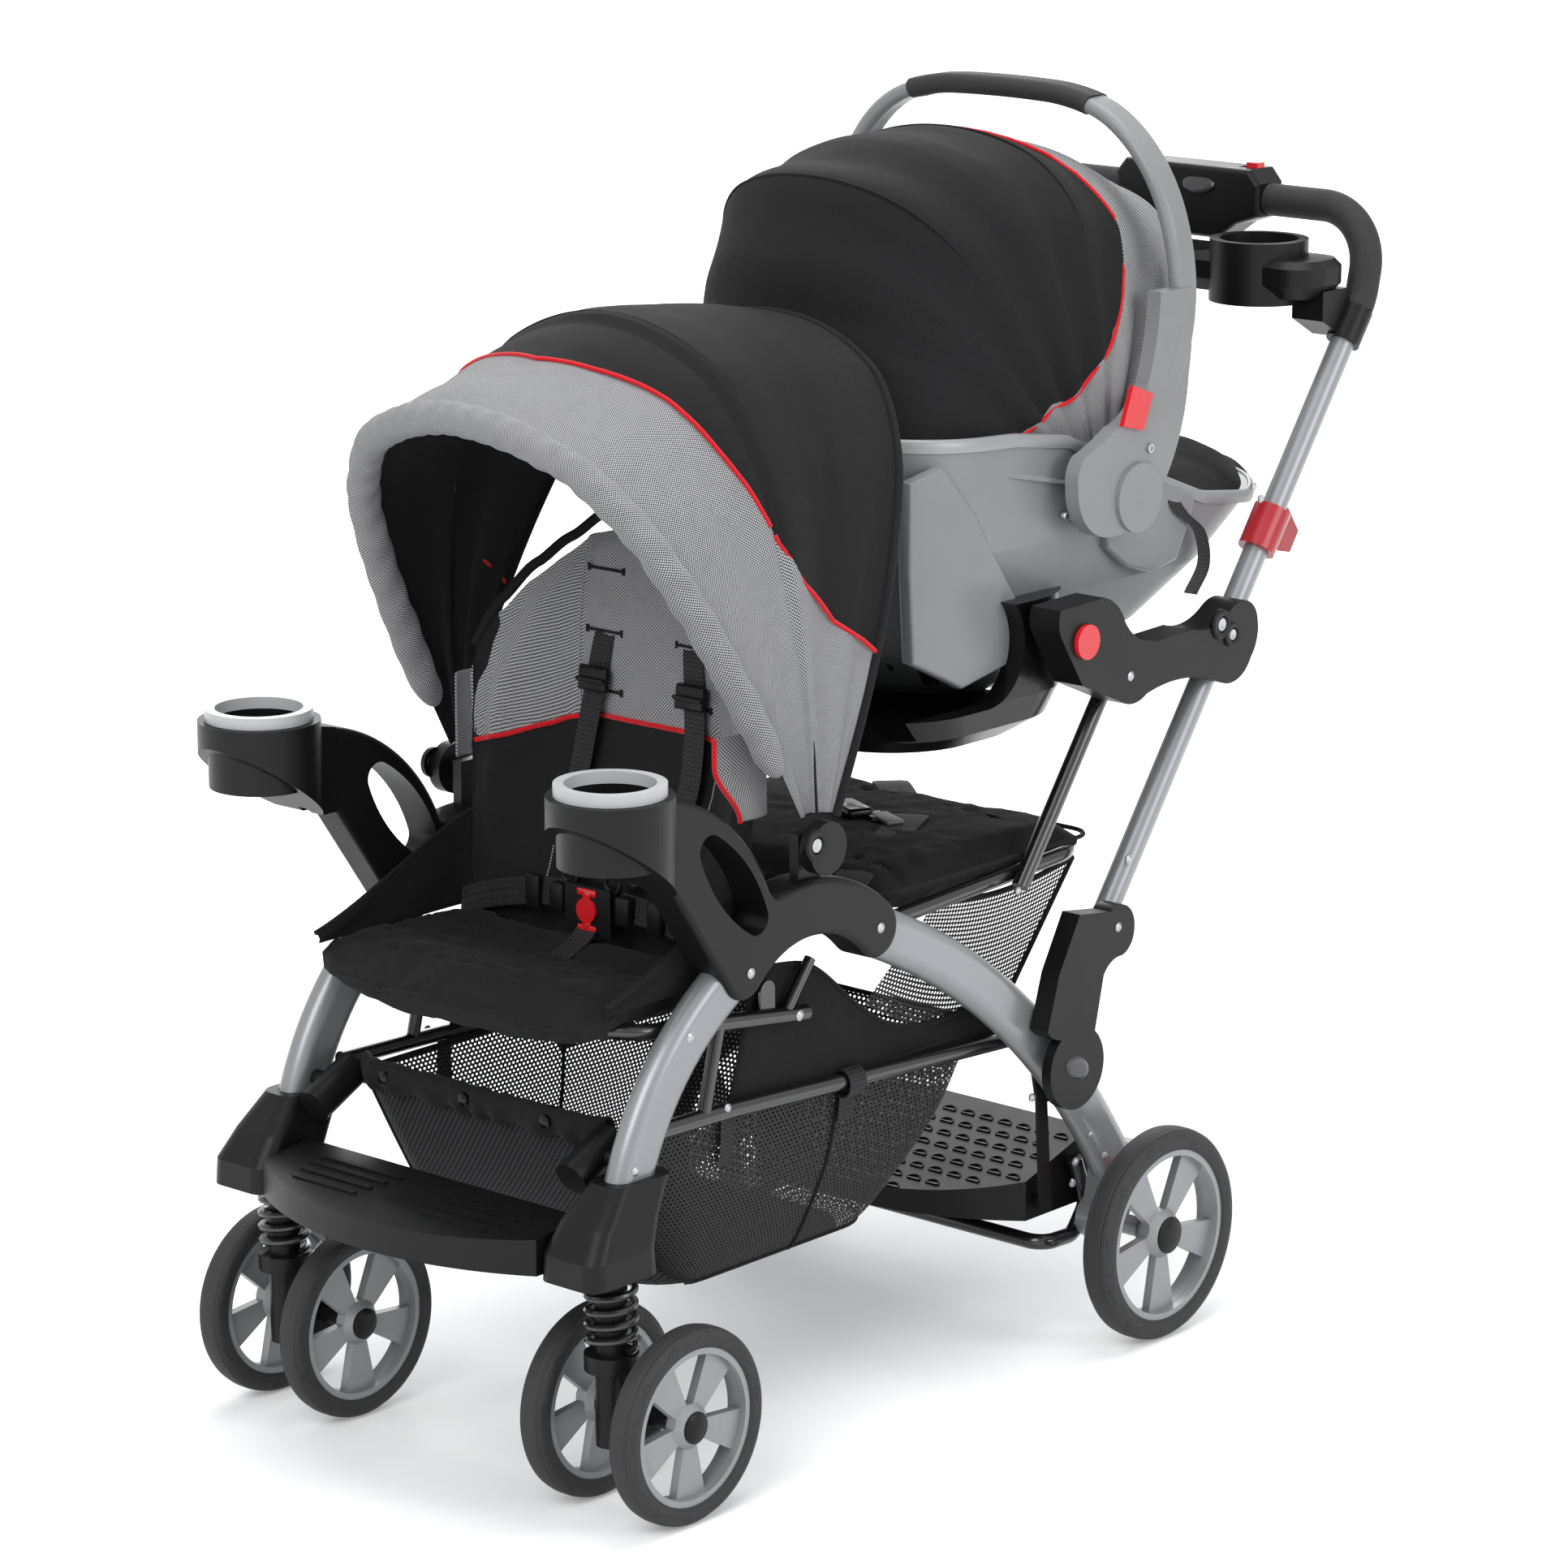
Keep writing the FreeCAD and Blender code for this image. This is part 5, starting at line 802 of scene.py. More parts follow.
def declare(piece: bpy.types.Object, width: float) -> None:
    """Work out from its area how long a stretched sheet was cut, and keep nothing.

    Args:
        piece: the sheet, whose modelled faces give its area.
        width: how wide it was cut, in metres.
    """
    area = sum(p.area for p in piece.data.polygons)
    area / width


def swollen(piece: bpy.types.Object, cap: float, pressure: float = 4.0) -> bpy.types.Object:
    """Fill a pad with air as cloth, and keep what it becomes.

    Args:
        piece: a closed pad.
        cap: the most that a point may move, in millimetres.
        pressure: how hard it is filled.

    Returns:
        The pad, swollen and smoothed.
    """
    rest = [v.co.copy() for v in piece.data.vertices]
    cloth = piece.modifiers.new("air", "CLOTH")
    cloth.settings.quality = 5
    cloth.settings.mass = 0.3
    cloth.settings.tension_stiffness = cloth.settings.compression_stiffness = 15
    cloth.settings.bending_stiffness = 0.5
    cloth.settings.use_pressure = True
    cloth.settings.uniform_pressure_force = pressure
    cloth.settings.effector_weights.gravity = 0
    cloth.point_cache.frame_start, cloth.point_cache.frame_end = 1, 20
    scene = bpy.context.scene
    for number in range(1, 21):
        scene.frame_set(number)
    graph = bpy.context.evaluated_depsgraph_get()
    full = bpy.data.meshes.new_from_object(piece.evaluated_get(graph), depsgraph=graph)
    piece.modifiers.clear()
    piece.data = full
    for vert, start in zip(full.vertices, rest):
        move = vert.co - start
        if move.length > cap / 1000:
            vert.co = start + move * (cap / 1000 / move.length)
    scene.frame_set(1)
    full.polygons.foreach_set("use_smooth", [True] * len(full.polygons))
    bpy.context.view_layer.update()
    return piece


# Canopies

@dataclass
class Bow:
    """One bow of a canopy: its angle about the pivot, its reach and its half width."""
    angle: float
    reach: float
    half: float


@dataclass
class Fan:
    """Cloth stretched over bows that turn about one line across the stroller."""
    pivot: Flat
    arch: Sequence[Flat]
    bows: Sequence[Bow]
    start: float
    piping: Sequence[Flat]

    def __post_init__(self) -> None:
        """Lay out the arch from one foot to the other."""
        left = [(x, h) for x, h in self.arch]
        right = [(-x, h) for x, h in reversed(self.arch[:-1])]
        self.line = Track([(x, h, 0.0) for x, h in left + right])
        self.width = self.line.reach[-1] * self.bows[0].reach

    def bow(self, angle: float) -> Bow:
        """Args: angle: any angle about the pivot. Returns: the cloth's section there."""
        rows = sorted(self.bows, key=lambda b: b.angle)
        if angle <= rows[0].angle:
            return Bow(angle, rows[0].reach, rows[0].half)
        for low, high in zip(rows, rows[1:]):
            if angle <= high.angle:
                t = (angle - low.angle) / (high.angle - low.angle)
                dip = 1 - 0.018 * math.sin(math.pi * t) ** 2 * min((high.angle - low.angle) / 20, 1)
                return Bow(angle, mix(low.reach, high.reach, t) * dip,
                           mix(low.half, high.half, t) * (1 - (1 - dip) * 0.4))
        return Bow(angle, rows[-1].reach, rows[-1].half)

    def point(self, u: float, angle: float, out: float = 0.0) -> Vector:
        """A point of the cloth.

        Args:
            u: 0 at the left foot and 1 at the right.
            angle: about the pivot.
            out: how far off the cloth, in millimetres.

        Returns:
            The point in metres.
        """
        bow = self.bow(angle)
        spot = self.line.at(u)
        ahead = self.line.at(min(u + 0.004, 1)) - self.line.at(max(u - 0.004, 0))
        side = Vector((-ahead.y * bow.reach, ahead.x * bow.half, 0)).normalized()
        x = spot.x * bow.half - side.x * out
        h = max(spot.y * bow.reach, self.start) - side.y * out
        turn = math.radians(angle)
        return place(x, self.pivot[0] + h * math.cos(turn), self.pivot[1] + h * math.sin(turn))

    def piping_angle(self, u: float) -> float:
        """Args: u: place across the cloth. Returns: the angle at which the piping crosses it."""
        w = abs(u - 0.5)
        rows = self.piping
        for (a, low), (b, high) in zip(rows, rows[1:]):
            if w <= b:
                return mix(low, high, (w - a) / (b - a))
        return rows[-1][1]

    def cloth(self, name: str, front: float, back: float, columns: int, rows: int) -> Work:
        """A sheet of the fan between two angles.

        Args: name: the piece's. front, back: the angles of its edges. columns, rows: its faces.
        Returns: the work, its points marked with how far past the piping they lie.
        """
        work = Work(name)
        mark = work.bm.verts.layers.float.new("past_piping")

        def ripple(u: float, angle: float) -> float:
            low = 1 - ease(0.05, 0.3, min(u, 1 - u))
            pull = noise.noise(Vector((u * 3.0, angle * 0.11, 1.7 + self.pivot[0] * 0.01)))
            fine = noise.noise(Vector((u * 9.0, angle * 0.3, 4.1)))
            return pull * 3.2 + fine * 1.0 + low * math.sin(angle * 0.42) * 2.2 * ease(0.0, 0.1,
                                                                                       min(u, 1 - u))

        def surface(u: float, v: float) -> Vector:
            angle = mix(front, back, v)
            return self.point(u, angle, ripple(u, angle) * ease(0, 0.06, v) * ease(0, 0.06, 1 - v) - 1.0)

        length = math.radians(abs(front - back)) * self.bow(mix(front, back, 0.5)).reach * 0.8 / 1000
        work.sheet(surface, columns, rows, (self.width / 1000, length))
        for face in work.bm.faces:
            for loop in face.loops:
                u = loop[work.map].uv.x / (self.width / 1000)
                angle = mix(front, back, loop[work.map].uv.y / length)
                loop.vert[mark] = (self.piping_angle(u) - angle) * (1 if front > back else -1)
        return work

    def piping_line(self, low: float, high: float, out: float, steps: int = 160) -> list[list[Vector]]:
        """The stretches of the piping whose angle lies between two.

        Args: low, high: the angles. out: how far off the cloth it lies, in mm. steps: how fine.
        Returns: runs of points in metres.
        """
        runs: list[list[Vector]] = [[]]
        for i in range(steps + 1):
            u = i / steps
            angle = self.piping_angle(u)
            if low <= angle <= high:
                runs[-1].append(self.point(u, angle, out))
            elif runs[-1]:
                runs.append([])
        return [run for run in runs if len(run) > 2]

    def bow_line(self, angle: float, out: float, low: float = 0.0, high: float = 1.0,
                 steps: int = 90) -> list[Vector]:
        """Points along a bow.

        Args: angle, out, low, high, steps: where, how far off and how fine.

        Returns: the points.
        """
        return [self.point(mix(low, high, i / steps), angle, out) for i in range(steps + 1)]


@dataclass
class FrontCanopy:
    """The canopy over the front seat: a checked brim with a padded roll, then black cloth over two bows."""
    roll: float = 15.5
    brim: float = 119.5
    tuck: float = 95.0
    rear: float = 65.0
    piping: float = 2.2
    fan: Fan = field(default_factory=lambda: Fan(
        (221, 581), ((1.0, 0.064), (0.985, 0.31), (0.92, 0.56), (0.80, 0.765), (0.54, 0.924), (0.0, 1.0)),
        (Bow(119.5, 462, 224), Bow(95, 463, 226), Bow(94, 470, 230), Bow(65, 488, 241)), 30,
        ((0.0, 105.5), (0.08, 104.3), (0.15, 102.5), (0.2, 101.5), (0.244, 100.2), (0.27, 99.0), (0.3, 97.0),
         (0.33, 94.5), (0.355, 91.5), (0.381, 82.5), (0.4, 66.0), (0.41, 50.0), (0.5, 20.0))))

    def build(self) -> None:
        """Make the canopy's cloth, roll, piping and seams."""
        front = self.fan.cloth("canopy_brim_cloth", self.brim, self.tuck, 120, 26)
        made = front.piece("canopy_front", Finish.CANOPY, "grey_fabric", thick=1.6, smooth=1,
                           replaces=["canopy_front"],
                           lining=Finish.BLACK_CLOTH)
        self.declare(made, ["canopy_padded_brim"])
        back = self.fan.cloth("canopy_rear_cloth", self.tuck + 1, self.rear, 120, 30)
        made = back.piece("frame", Finish.CANOPY, thick=1.6, smooth=1,
                          replaces=["canopy_rear"],
                         lining=Finish.BLACK_CLOTH)
        self.declare(made, ["canopy_mounts"])
        self.make_roll()
        for index, run in enumerate(self.fan.piping_line(self.tuck + 0.5, 120, 1.8)):
            Work(f"canopy_piping_front_{index}").tube(run, self.piping, 10).piece("canopy_front",
                    Finish.PIPING)
        for index, run in enumerate(self.fan.piping_line(self.rear, self.tuck + 0.5, 1.8)):
            Work(f"canopy_piping_rear_{index}").tube(run, self.piping, 10).piece("frame", Finish.PIPING)
        for name, angle, radius in (("canopy_mid_seam", 93.0, 1.5), ("canopy_rear_binding", 65.4, 4.2)):
            Work(name).tube(self.fan.bow_line(angle, 0.6), radius, 10).piece("frame", Finish.BLACK_PAD)

    def declare(self, piece: bpy.types.Object, rests: Sequence[str]) -> None:
        """Work out how large the sheet was cut, and keep nothing. Args: piece: the sheet. rests: not used."""
        declare(piece, self.fan.width / 1000)

    def make_roll(self) -> None:
        """The padded roll round the brim, drawn in where it is gathered."""
        work = Work("canopy_padded_brim")
        line = self.fan.bow_line(self.brim, -self.roll / 3, 0.035, 0.965, 150)
        centre = place(0, *self.fan.pivot)
        middle = line[len(line) // 2]
        ahead = (middle - centre).normalized().cross(Vector((1, 0, 0))).normalized()
        steps = len(line) - 1

        def skin(u: float, v: float) -> Vector:
            i = min(int(v * steps), steps - 1)
            share = v * steps - i
            here = line[i].lerp(line[i + 1], share)
            along = (line[min(i + 1, steps)] - line[max(i - 1, 0)]).normalized()
            out = along.cross(ahead).normalized()
            gather = 0.7 * math.sin(v * 190 + 2.5 * math.sin(u * TURN)) + 1.1 * noise.noise(Vector((v * 40,
                    math.cos(u * TURN), math.sin(u * TURN))))
            end = math.sqrt(max(1 - (2 * v - 1) ** 40, 0.02))
            radius = (self.roll + gather) * end / 1000
            return here + (out * math.cos(u * TURN) + ahead * math.sin(u * TURN)) * radius

        work.sheet(skin, 26, 320, (2 * math.pi * self.roll / 1000, 1.45))
        bmesh.ops.remove_doubles(work.bm, verts=work.bm.verts, dist=2e-5)
        bmesh.ops.holes_fill(work.bm, edges=work.bm.edges, sides=40)
        bmesh.ops.recalc_face_normals(work.bm, faces=work.bm.faces)
        roll = work.piece("canopy_front", Finish.GREY_CLOTH, smooth=1)


@dataclass
class CarrierCanopy:
    """The infant carrier's canopy, black to its piping and checked down to its hem."""
    piping: float = 2.0
    fan: Fan = field(default_factory=lambda: Fan(
        (690, 840), ((1.0, 0.075), (0.99, 0.40), (0.95, 0.58), (0.84, 0.80), (0.54, 0.945), (0.0, 1.0)),
        (Bow(168, 302, 190), Bow(152, 306, 174), Bow(138, 340, 172), Bow(125, 378, 174), Bow(108, 352, 182),
         Bow(92, 338, 190), Bow(74, 326, 196), Bow(58, 320, 200)), 27,
        ((0.0, 88.0), (0.1, 86.0), (0.14, 84.0), (0.2, 83.0), (0.245, 81.0), (0.28, 79.3), (0.32, 79.0),
         (0.36, 81.0),
         (0.395, 86.5), (0.42, 98.0), (0.438, 113.0))))
    tail: Sequence[Flat] = ((0.438, 113), (0.43, 135), (0.395, 151), (0.355, 161), (0.31, 165.5), (0.3, 168))

    @property
    def length(self) -> float:
        """How long the cloth is from its head end to its hem, in metres."""
        return math.radians(110) * self.fan.bow(113).reach * 0.8 / 1000

    def reach_at(self, angle: float) -> float:
        """Args: angle: about the pivot. Returns: how far out from the middle the piping runs there."""
        low = [(a, w) for w, a in self.fan.piping if w >= 0.32]
        rows = low + [(a, w) for w, a in self.tail]
        for (a, near), (b, far) in zip(rows, rows[1:]):
            if angle <= b:
                return mix(near, far, max(angle - a, 0) / max(b - a, 1e-6))
        return rows[-1][1]

    def build(self) -> None:
        """Make the cloth, its piping and its bow seams."""
        work = self.fan.cloth("carrier_canopy_cloth", 168, 58, 130, 100)
        mark = work.bm.verts.layers.float["past_piping"]
        for face in work.bm.faces:
            for loop in face.loops:
                w = abs(loop[work.map].uv.x / (self.fan.width / 1000) - 0.5)
                angle = mix(168, 58, loop[work.map].uv.y / self.length)
                top = angle - self.fan.piping_angle(0.5 + min(w, 0.32))
                loop.vert[mark] = min(top, (self.reach_at(angle) - w) * 200)
        made = work.piece("carrier", Finish.CANOPY, thick=1.6, smooth=1,
                          replaces=["carrier_canopy"])
        area = sum(p.area for p in made.data.polygons)
        width = self.fan.width / 1000
        area / width
        half = Track([(w, angle, 0) for w, angle in list(self.fan.piping) + list(self.tail[1:])])
        spots = half.sampled(120)
        run = [self.fan.point(0.5 - p.x, p.y, 1.0) for p in reversed(spots)] + [self.fan.point(0.5 + p.x,
                p.y, 1.0) for p in spots[1:]]
        Work("carrier_piping").tube(run, self.piping, 10).piece("carrier", Finish.PIPING)
        for index, angle in enumerate((125.0, 92.0)):
            Work(f"carrier_bow_seam_{index}").tube(self.fan.bow_line(angle, 0.4, 0.06, 0.94), 1.4, 8).piece(
                "carrier", Finish.BLACK_PAD)
        Work("carrier_canopy_hem").tube(self.fan.bow_line(58.5, 0.4, 0.02, 0.98), 3.0, 10).piece(
            "carrier", Finish.GREY_CLOTH)


# Soft goods

def skin_hit(piece: bpy.types.Object, spot: Vector, toward: Vector, out: float) -> Optional[Vector]:
    """Where a line meets a piece.

    Args:
        piece: the piece that the line is thrown at.
        spot: where it starts, in metres.
        toward: its direction.
        out: how far in front of the surface to stop, in millimetres.

    Returns:
        The point, or nothing where the line misses.
    """
    found, place_hit, _, _ = piece.ray_cast(spot, toward.normalized())
    return place_hit - toward.normalized() * out / 1000 if found else None


def skin_line(piece: bpy.types.Object, spots: Sequence[Vector], toward: Vector, out: float) -> list[Vector]:
    """Args: as for skin_hit, for many lines. Returns: the points where they meet the piece."""
    hits = (skin_hit(piece, spot, toward, out) for spot in spots)
    return [hit for hit in hits if hit is not None]


def seam(name: str, piece: bpy.types.Object, spots: Sequence[Vector], toward: Vector, radius: float,
         finish: Finish, body: str, slot: str, sink: float = 0.0) -> bpy.types.Object:
    """Lay a cord or a seam on a piece's skin.

    Args:
        name: the new piece's name.
        piece: what it lies on.
        spots: its line, in front of the skin.
        toward: the way to the skin.
        radius: its radius, in millimetres.
        finish, body: as for any piece. slot: not used.
        sink: how deep the skin is drawn in beside it, in millimetres.

    Returns:
        The seam.
    """
    line = skin_line(piece, spots, toward, 0.0)
    if sink:
        pinch(piece, line, toward, sink, radius * 6)
        line = skin_line(piece, spots, toward, radius * 0.3)
    return Work(name).tube(line if len(line) > 2 else list(spots), radius, 8).piece(body, finish, slot)


def pinch(piece: bpy.types.Object, line: Sequence[Vector], toward: Vector, depth: float,
          reach: float) -> None:
    """Draw a skin in along a line, as stitching does.

    Args: piece: the pad. line: the stitches, in metres. toward: the way in. depth, reach: in millimetres.
    """
    if not line:
        return
    inwards = toward.normalized()
    flat = [p - inwards * p.dot(inwards) for p in line]
    tree = KDTree(len(line))
    for index, point in enumerate(flat):
        tree.insert(point, index)
    tree.balance()
    for vert in piece.data.vertices:
        if vert.normal.dot(inwards) > -0.2:
            continue
        spot = vert.co - inwards * vert.co.dot(inwards)
        _, index, away = tree.find(spot)
        share = away * 1000 / reach
        if share < 1:
            ripple = 0.8 + 0.35 * math.sin(index * 1.1)
            vert.co += inwards * depth / 1000 * (1 - share * share) ** 2 * ripple


def wrinkled(piece: bpy.types.Object, height: float, size: float, seed: float) -> None:
    """Give a skin soft, uneven creases. Args: piece: the pad. height, size: in mm. seed: which pattern."""
    for vert in piece.data.vertices:
        spot = vert.co * (1000 / size)
        fold = 1 - abs(noise.noise(spot + Vector((seed, 0, 0)))) * 2.6
        vert.co += vert.normal * height / 1000 * (max(fold,
                -0.4) + 0.4 * noise.noise(spot * 2.3 + Vector((0, seed, 0))))


def marked(piece: bpy.types.Object, value: Callable[[Vector], float]) -> None:
    """Write on each point of a skin how far past its piping it lies.

    Args: piece: the pad. value: for a point in metres.
    """
    layer = piece.data.attributes.new("past_piping", "FLOAT", "POINT")
    layer.data.foreach_set("value", [value(v.co) for v in piece.data.vertices])


@dataclass
class FrontSeat:
    """The front seat: a bucket back, a quilted cushion, side wings and the harness."""
    half: float = 187.0
    deep: float = 250.0
    edge: float = 178.0
    foot: float = 458.0
    thick: float = 20.0
    crown: Sequence[Flat] = ((0, 855), (25, 853), (85, 840), (112, 817), (136, 792), (161, 756), (178, 720),
                             (187, 688))
    piping: Sequence[Flat] = ((0, 655), (60, 655), (97, 649), (114, 642), (150, 630), (190, 619))
    panel: float = 88.0
    belt: float = 25.0

    def table(self, rows: Sequence[Flat], x: float) -> float:
        """Args: rows: pairs by distance from the middle. x: where. Returns: the value there."""
        x = abs(x)
        for (a, low), (b, high) in zip(rows, rows[1:]):
            if x <= b:
                return mix(low, high, ease(0, 1, (x - a) / (b - a)) * 0.4 + (x - a) / (b - a) * 0.6)
        return rows[-1][1]

    def face(self, x: float, z: float) -> float:
        """Args: x, z: a point of the back. Returns: how far back its front skin lies."""
        depth = mix(196, self.deep, ease(470, 650, z))
        t = min(max((abs(x) - self.panel) / (self.half - self.panel), 0), 1)
        return mix(depth, self.edge, (ease(0, 1, t) + t) / 2) + 6 * ease(700, 850, z)

    def build(self) -> None:
        """Make the back, the cushion, the wings and the harness."""
        self.make_back()
        self.make_cushion()
        self.make_wings()
        self.make_harness()

    def make_back(self) -> None:
        """The padded back: checked above its red piping, black below, with a seam beside each bolster."""
        work = Work("seat_back_pad")

        def skin(u: float, v: float) -> Vector:
            x = (2 * u - 1) * (self.half - 2)
            top = self.table(self.crown, x) - 6
            z = mix(self.foot, top, v)
            return place(x, self.face(x, z) + 5, z)

        work.sheet(skin, 50, 50)
        bmesh.ops.solidify(work.bm, geom=work.bm.faces[:], thickness=self.thick / 1000)
        bmesh.ops.recalc_face_normals(work.bm, faces=work.bm.faces[:])
        back = work.piece("seat_back", Finish.SEAT_BACK, sharp=60, replaces=["seat_back"])
        swollen(back, 9.0)
        wrinkled(back, 0.9, 46, 3.1)
        ahead = Vector((0, 1, 0))
        for side in (-1, 1):
            for name, edge in (("bolster", self.panel), ("hem", self.half - 9)):
                spots = [place(side * edge, 60, z) for z in range(int(self.foot) + 22,
                        int(self.table(self.crown, edge)) - 14, 5)]
                seam(f"seat_{name}_seam_{'right' if side < 0 else 'left'}", back, spots, ahead, 0.8,
                     Finish.GREY_PAD if name == "bolster" else Finish.BLACK_PAD, "seat_back", "grey_fabric",
                     3.0)
        line = [place(x, 60, self.table(self.piping, x)) for x in range(-180, 181, 4)]
        seam("seat_piping", back, line, ahead, 2.6, Finish.PIPING, "seat_back", "red_plastic", 2.0)
        marked(back, lambda p: max(self.table(self.piping, p.x * 1000) - p.z * 1000,
                                   (p.y * 1000 + SETBACK) - self.face(p.x * 1000, p.z * 1000) - 11))
        rim = [place(x, self.face(x, self.table(self.crown, x)) + 16,
                     self.table(self.crown, x) + 1) for x in range(-180, 181, 4)]
        Work("seat_back_binding").tube(rim, 5.0, 10).piece("seat_back", Finish.BLACK_PAD)
        slots = Work("harness_slots")
        for x in (-57, 57):
            for z in (680, 737, 796):
                at = skin_hit(back, place(x, 60, z), ahead, 0.3)
                if at is None:
                    continue
                y = at.y * 1000 + SETBACK
                slots.block((x - 21, y - 0.8, z - 1.6), (x + 21, y + 0.8, z + 1.6), 0.7, 2)
                for end in (x - 22, x + 22):
                    slots.block((end - 1.6, y - 1.2, z - 3.6), (end + 1.6, y + 0.8, z + 3.6), 0.7, 2)
        slots.piece("seat_back", Finish.BLACK_PAD)

    def make_cushion(self) -> None:
        """The quilted cushion that rolls over the front tube, its edge piped in black."""
        work = Work("seat_cushion_pad")

        def front(x: float) -> float:
            return -42 + 24 * (x / 186) ** 2

        def shelf(x: float, v: float) -> Vector:
            y = mix(front(x), 183, v)
            dip = 16 * math.exp(-((y - 105) / 55) ** 2) * (1 - (x / 186) ** 2)
            droop = 26 * (1 - ease(-46, -6, y))
            return Vector((x, y, 461 - dip - droop))

        def skin(u: float, v: float) -> Vector:
            p = shelf((2 * u - 1) * 184, v)
            return place(p.x, p.y, p.z)

        work.sheet(skin, 48, 34)
        bmesh.ops.solidify(work.bm, geom=work.bm.faces[:], thickness=0.015)
        bmesh.ops.recalc_face_normals(work.bm, faces=work.bm.faces[:])
        pad = work.piece("frame", Finish.BLACK_PAD, sharp=60, replaces=["seat_cushion"])
        swollen(pad, 10.0)
        down = Vector((0, 0, -1))
        for index, y in enumerate((2, 62, 128)):
            spots = [place(x, y + 9 * math.cos(x / 70 + index) + 20 * (x / 186) ** 2 * (1 - index),
                           560) for x in range(-166, 167, 5)]
            seam(f"cushion_seam_{index}", pad, spots, down, 0.7, Finish.BLACK_PAD, "frame", "black_fabric",
                 5.0)
        edge = [place(x, front(x) + 7, 560) for x in range(-178, 179, 4)]
        seam("cushion_piping", pad, edge, down, 2.1, Finish.BLACK_PAD, "frame", "black_fabric", 2.0)
        for side in (-1, 1):
            spots = [place(side * 179, y, 560) for y in range(-16, 178, 4)]
            seam(f"cushion_side_piping_{'right' if side < 0 else 'left'}", pad, spots, down, 2.1,
                 Finish.BLACK_PAD, "frame", "black_fabric", 1.5)
        wrinkled(pad, 1.5, 30, 7.7)

    def make_wings(self) -> None:
        """Cloth wings from the back's edges forward to the cushion, and the small checked flaps above them.
        """
        for side, name in ((1, "left"), (-1, "right")):
            def wing(u: float, v: float) -> Vector:
                top = mix(552, 472, ease(0, 1, u) * 0.35 + u * 0.65)
                fold = 2.2 * math.sin(u * 9 + v * 4) * math.sin(v * math.pi)
                return place(side * (183.5 + 3 * v + fold), mix(198, -14, u), mix(462, top, v))

            made = Work(f"seat_wing_{name}").sheet(wing, 26, 16, (0.2, 0.14)).piece(
                "frame", Finish.BLACK_CLOTH, thick=2.4, smooth=1)
            declare(made, 0.2)

            def flap(u: float, v: float) -> Vector:
                near = mix(166, 131, ease(0, 0.7, v)) if side > 0 else 176
                return place(side * (185 + 2 * math.sin(u * math.pi)), mix(near, 204, u), mix(606, 690, v))

            made = Work(f"seat_flap_{name}").sheet(flap, 10, 16, (0.06, 0.08)).piece(
                "seat_back", Finish.GREY_CLOTH, thick=2.4, smooth=1)
            declare(made, 0.06)
            if side > 0:
                Work(f"seat_flap_piping_{name}").tube([flap(0, v / 20) for v in range(21)], 2.4, 10).piece(
                    "seat_back", Finish.PIPING)
            Work(f"seat_wing_edge_{name}").tube([wing(v / 24, 1) for v in range(25)], 2.4, 10).piece(
                "frame", Finish.BLACK_PAD)

    def make_harness(self) -> None:
        """Shoulder, lap and crotch straps with their sliders, hooks and the buckle's red tabs."""
        across = Vector((1, 0, 0))
        straps = Work("harness_webbing")
        fittings = Work("harness_sliders")
        for side in (-1, 1):
            line = Track([(side * 55, 254, 737), (side * 56, 246, 733), (side * 62, 240, 692),
                          (side * 68, 232, 640),
                          (side * 68, 218, 590), (side * 52, 190, 545), (side * 30, 166, 524)])
            straps.strap(line, across, self.belt, 2.0)
            lap = Track([(side * 34, 167, 500), (side * 80, 172, 494), (side * 140, 174, 480),
                         (side * 174, 168, 468)])
            straps.strap(lap, Vector((0, 0.1, 1)), self.belt, 2.0, 30)
            fittings.block((side * 62 - 18, 232, 680), (side * 62 + 18, 240, 704), 3, 3,
                           Matrix.Rotation(math.radians(-6), 3, "X"))
            fittings.block((side * 62 - 18, 228, 689), (side * 62 + 18, 233, 694), 2, 2)
            fittings.block((side * 78 - 9, 164, 478), (side * 78 + 9, 173, 512), 3, 3)
            hook = [place(side * 27 + 9 * math.cos(a), 165,
                          521 + 9 * math.sin(a)) for a in [i * TURN / 20 for i in range(20)]]
            fittings.tube(hook, 2.4, 8, closed=True)
            fittings.block((side * 42 - 9, 159, 483), (side * 42 + 9, 173, 511), 3, 3)
        straps.piece("seat_back", Finish.STRAP, replaces=["harness_straps"])
        fittings.piece("seat_back", Finish.BLACK)
        crotch = Track([(0, 162, 476), (0, 146, 464), (0, 120, 454), (0, 96, 450)])
        Work("crotch_strap").strap(crotch, across, self.belt, 2.0, 24).piece("frame", Finish.STRAP)
        tabs = Work("buckle_tabs")
        for low, high in ((506, 513), (471, 478)):
            tabs.block((-12, 156.6, low), (12, 159, high), 1.6, 2)
            tabs.block((-5, 156.4, min(low, 500) if low < 490 else 502),
                       (5, 159.2, high if low > 490 else 482), 1.4, 2)
        tabs.piece("seat_back", Finish.RED)


# Basket, bench and carrier

Ring = Sequence[Sequence[float]]


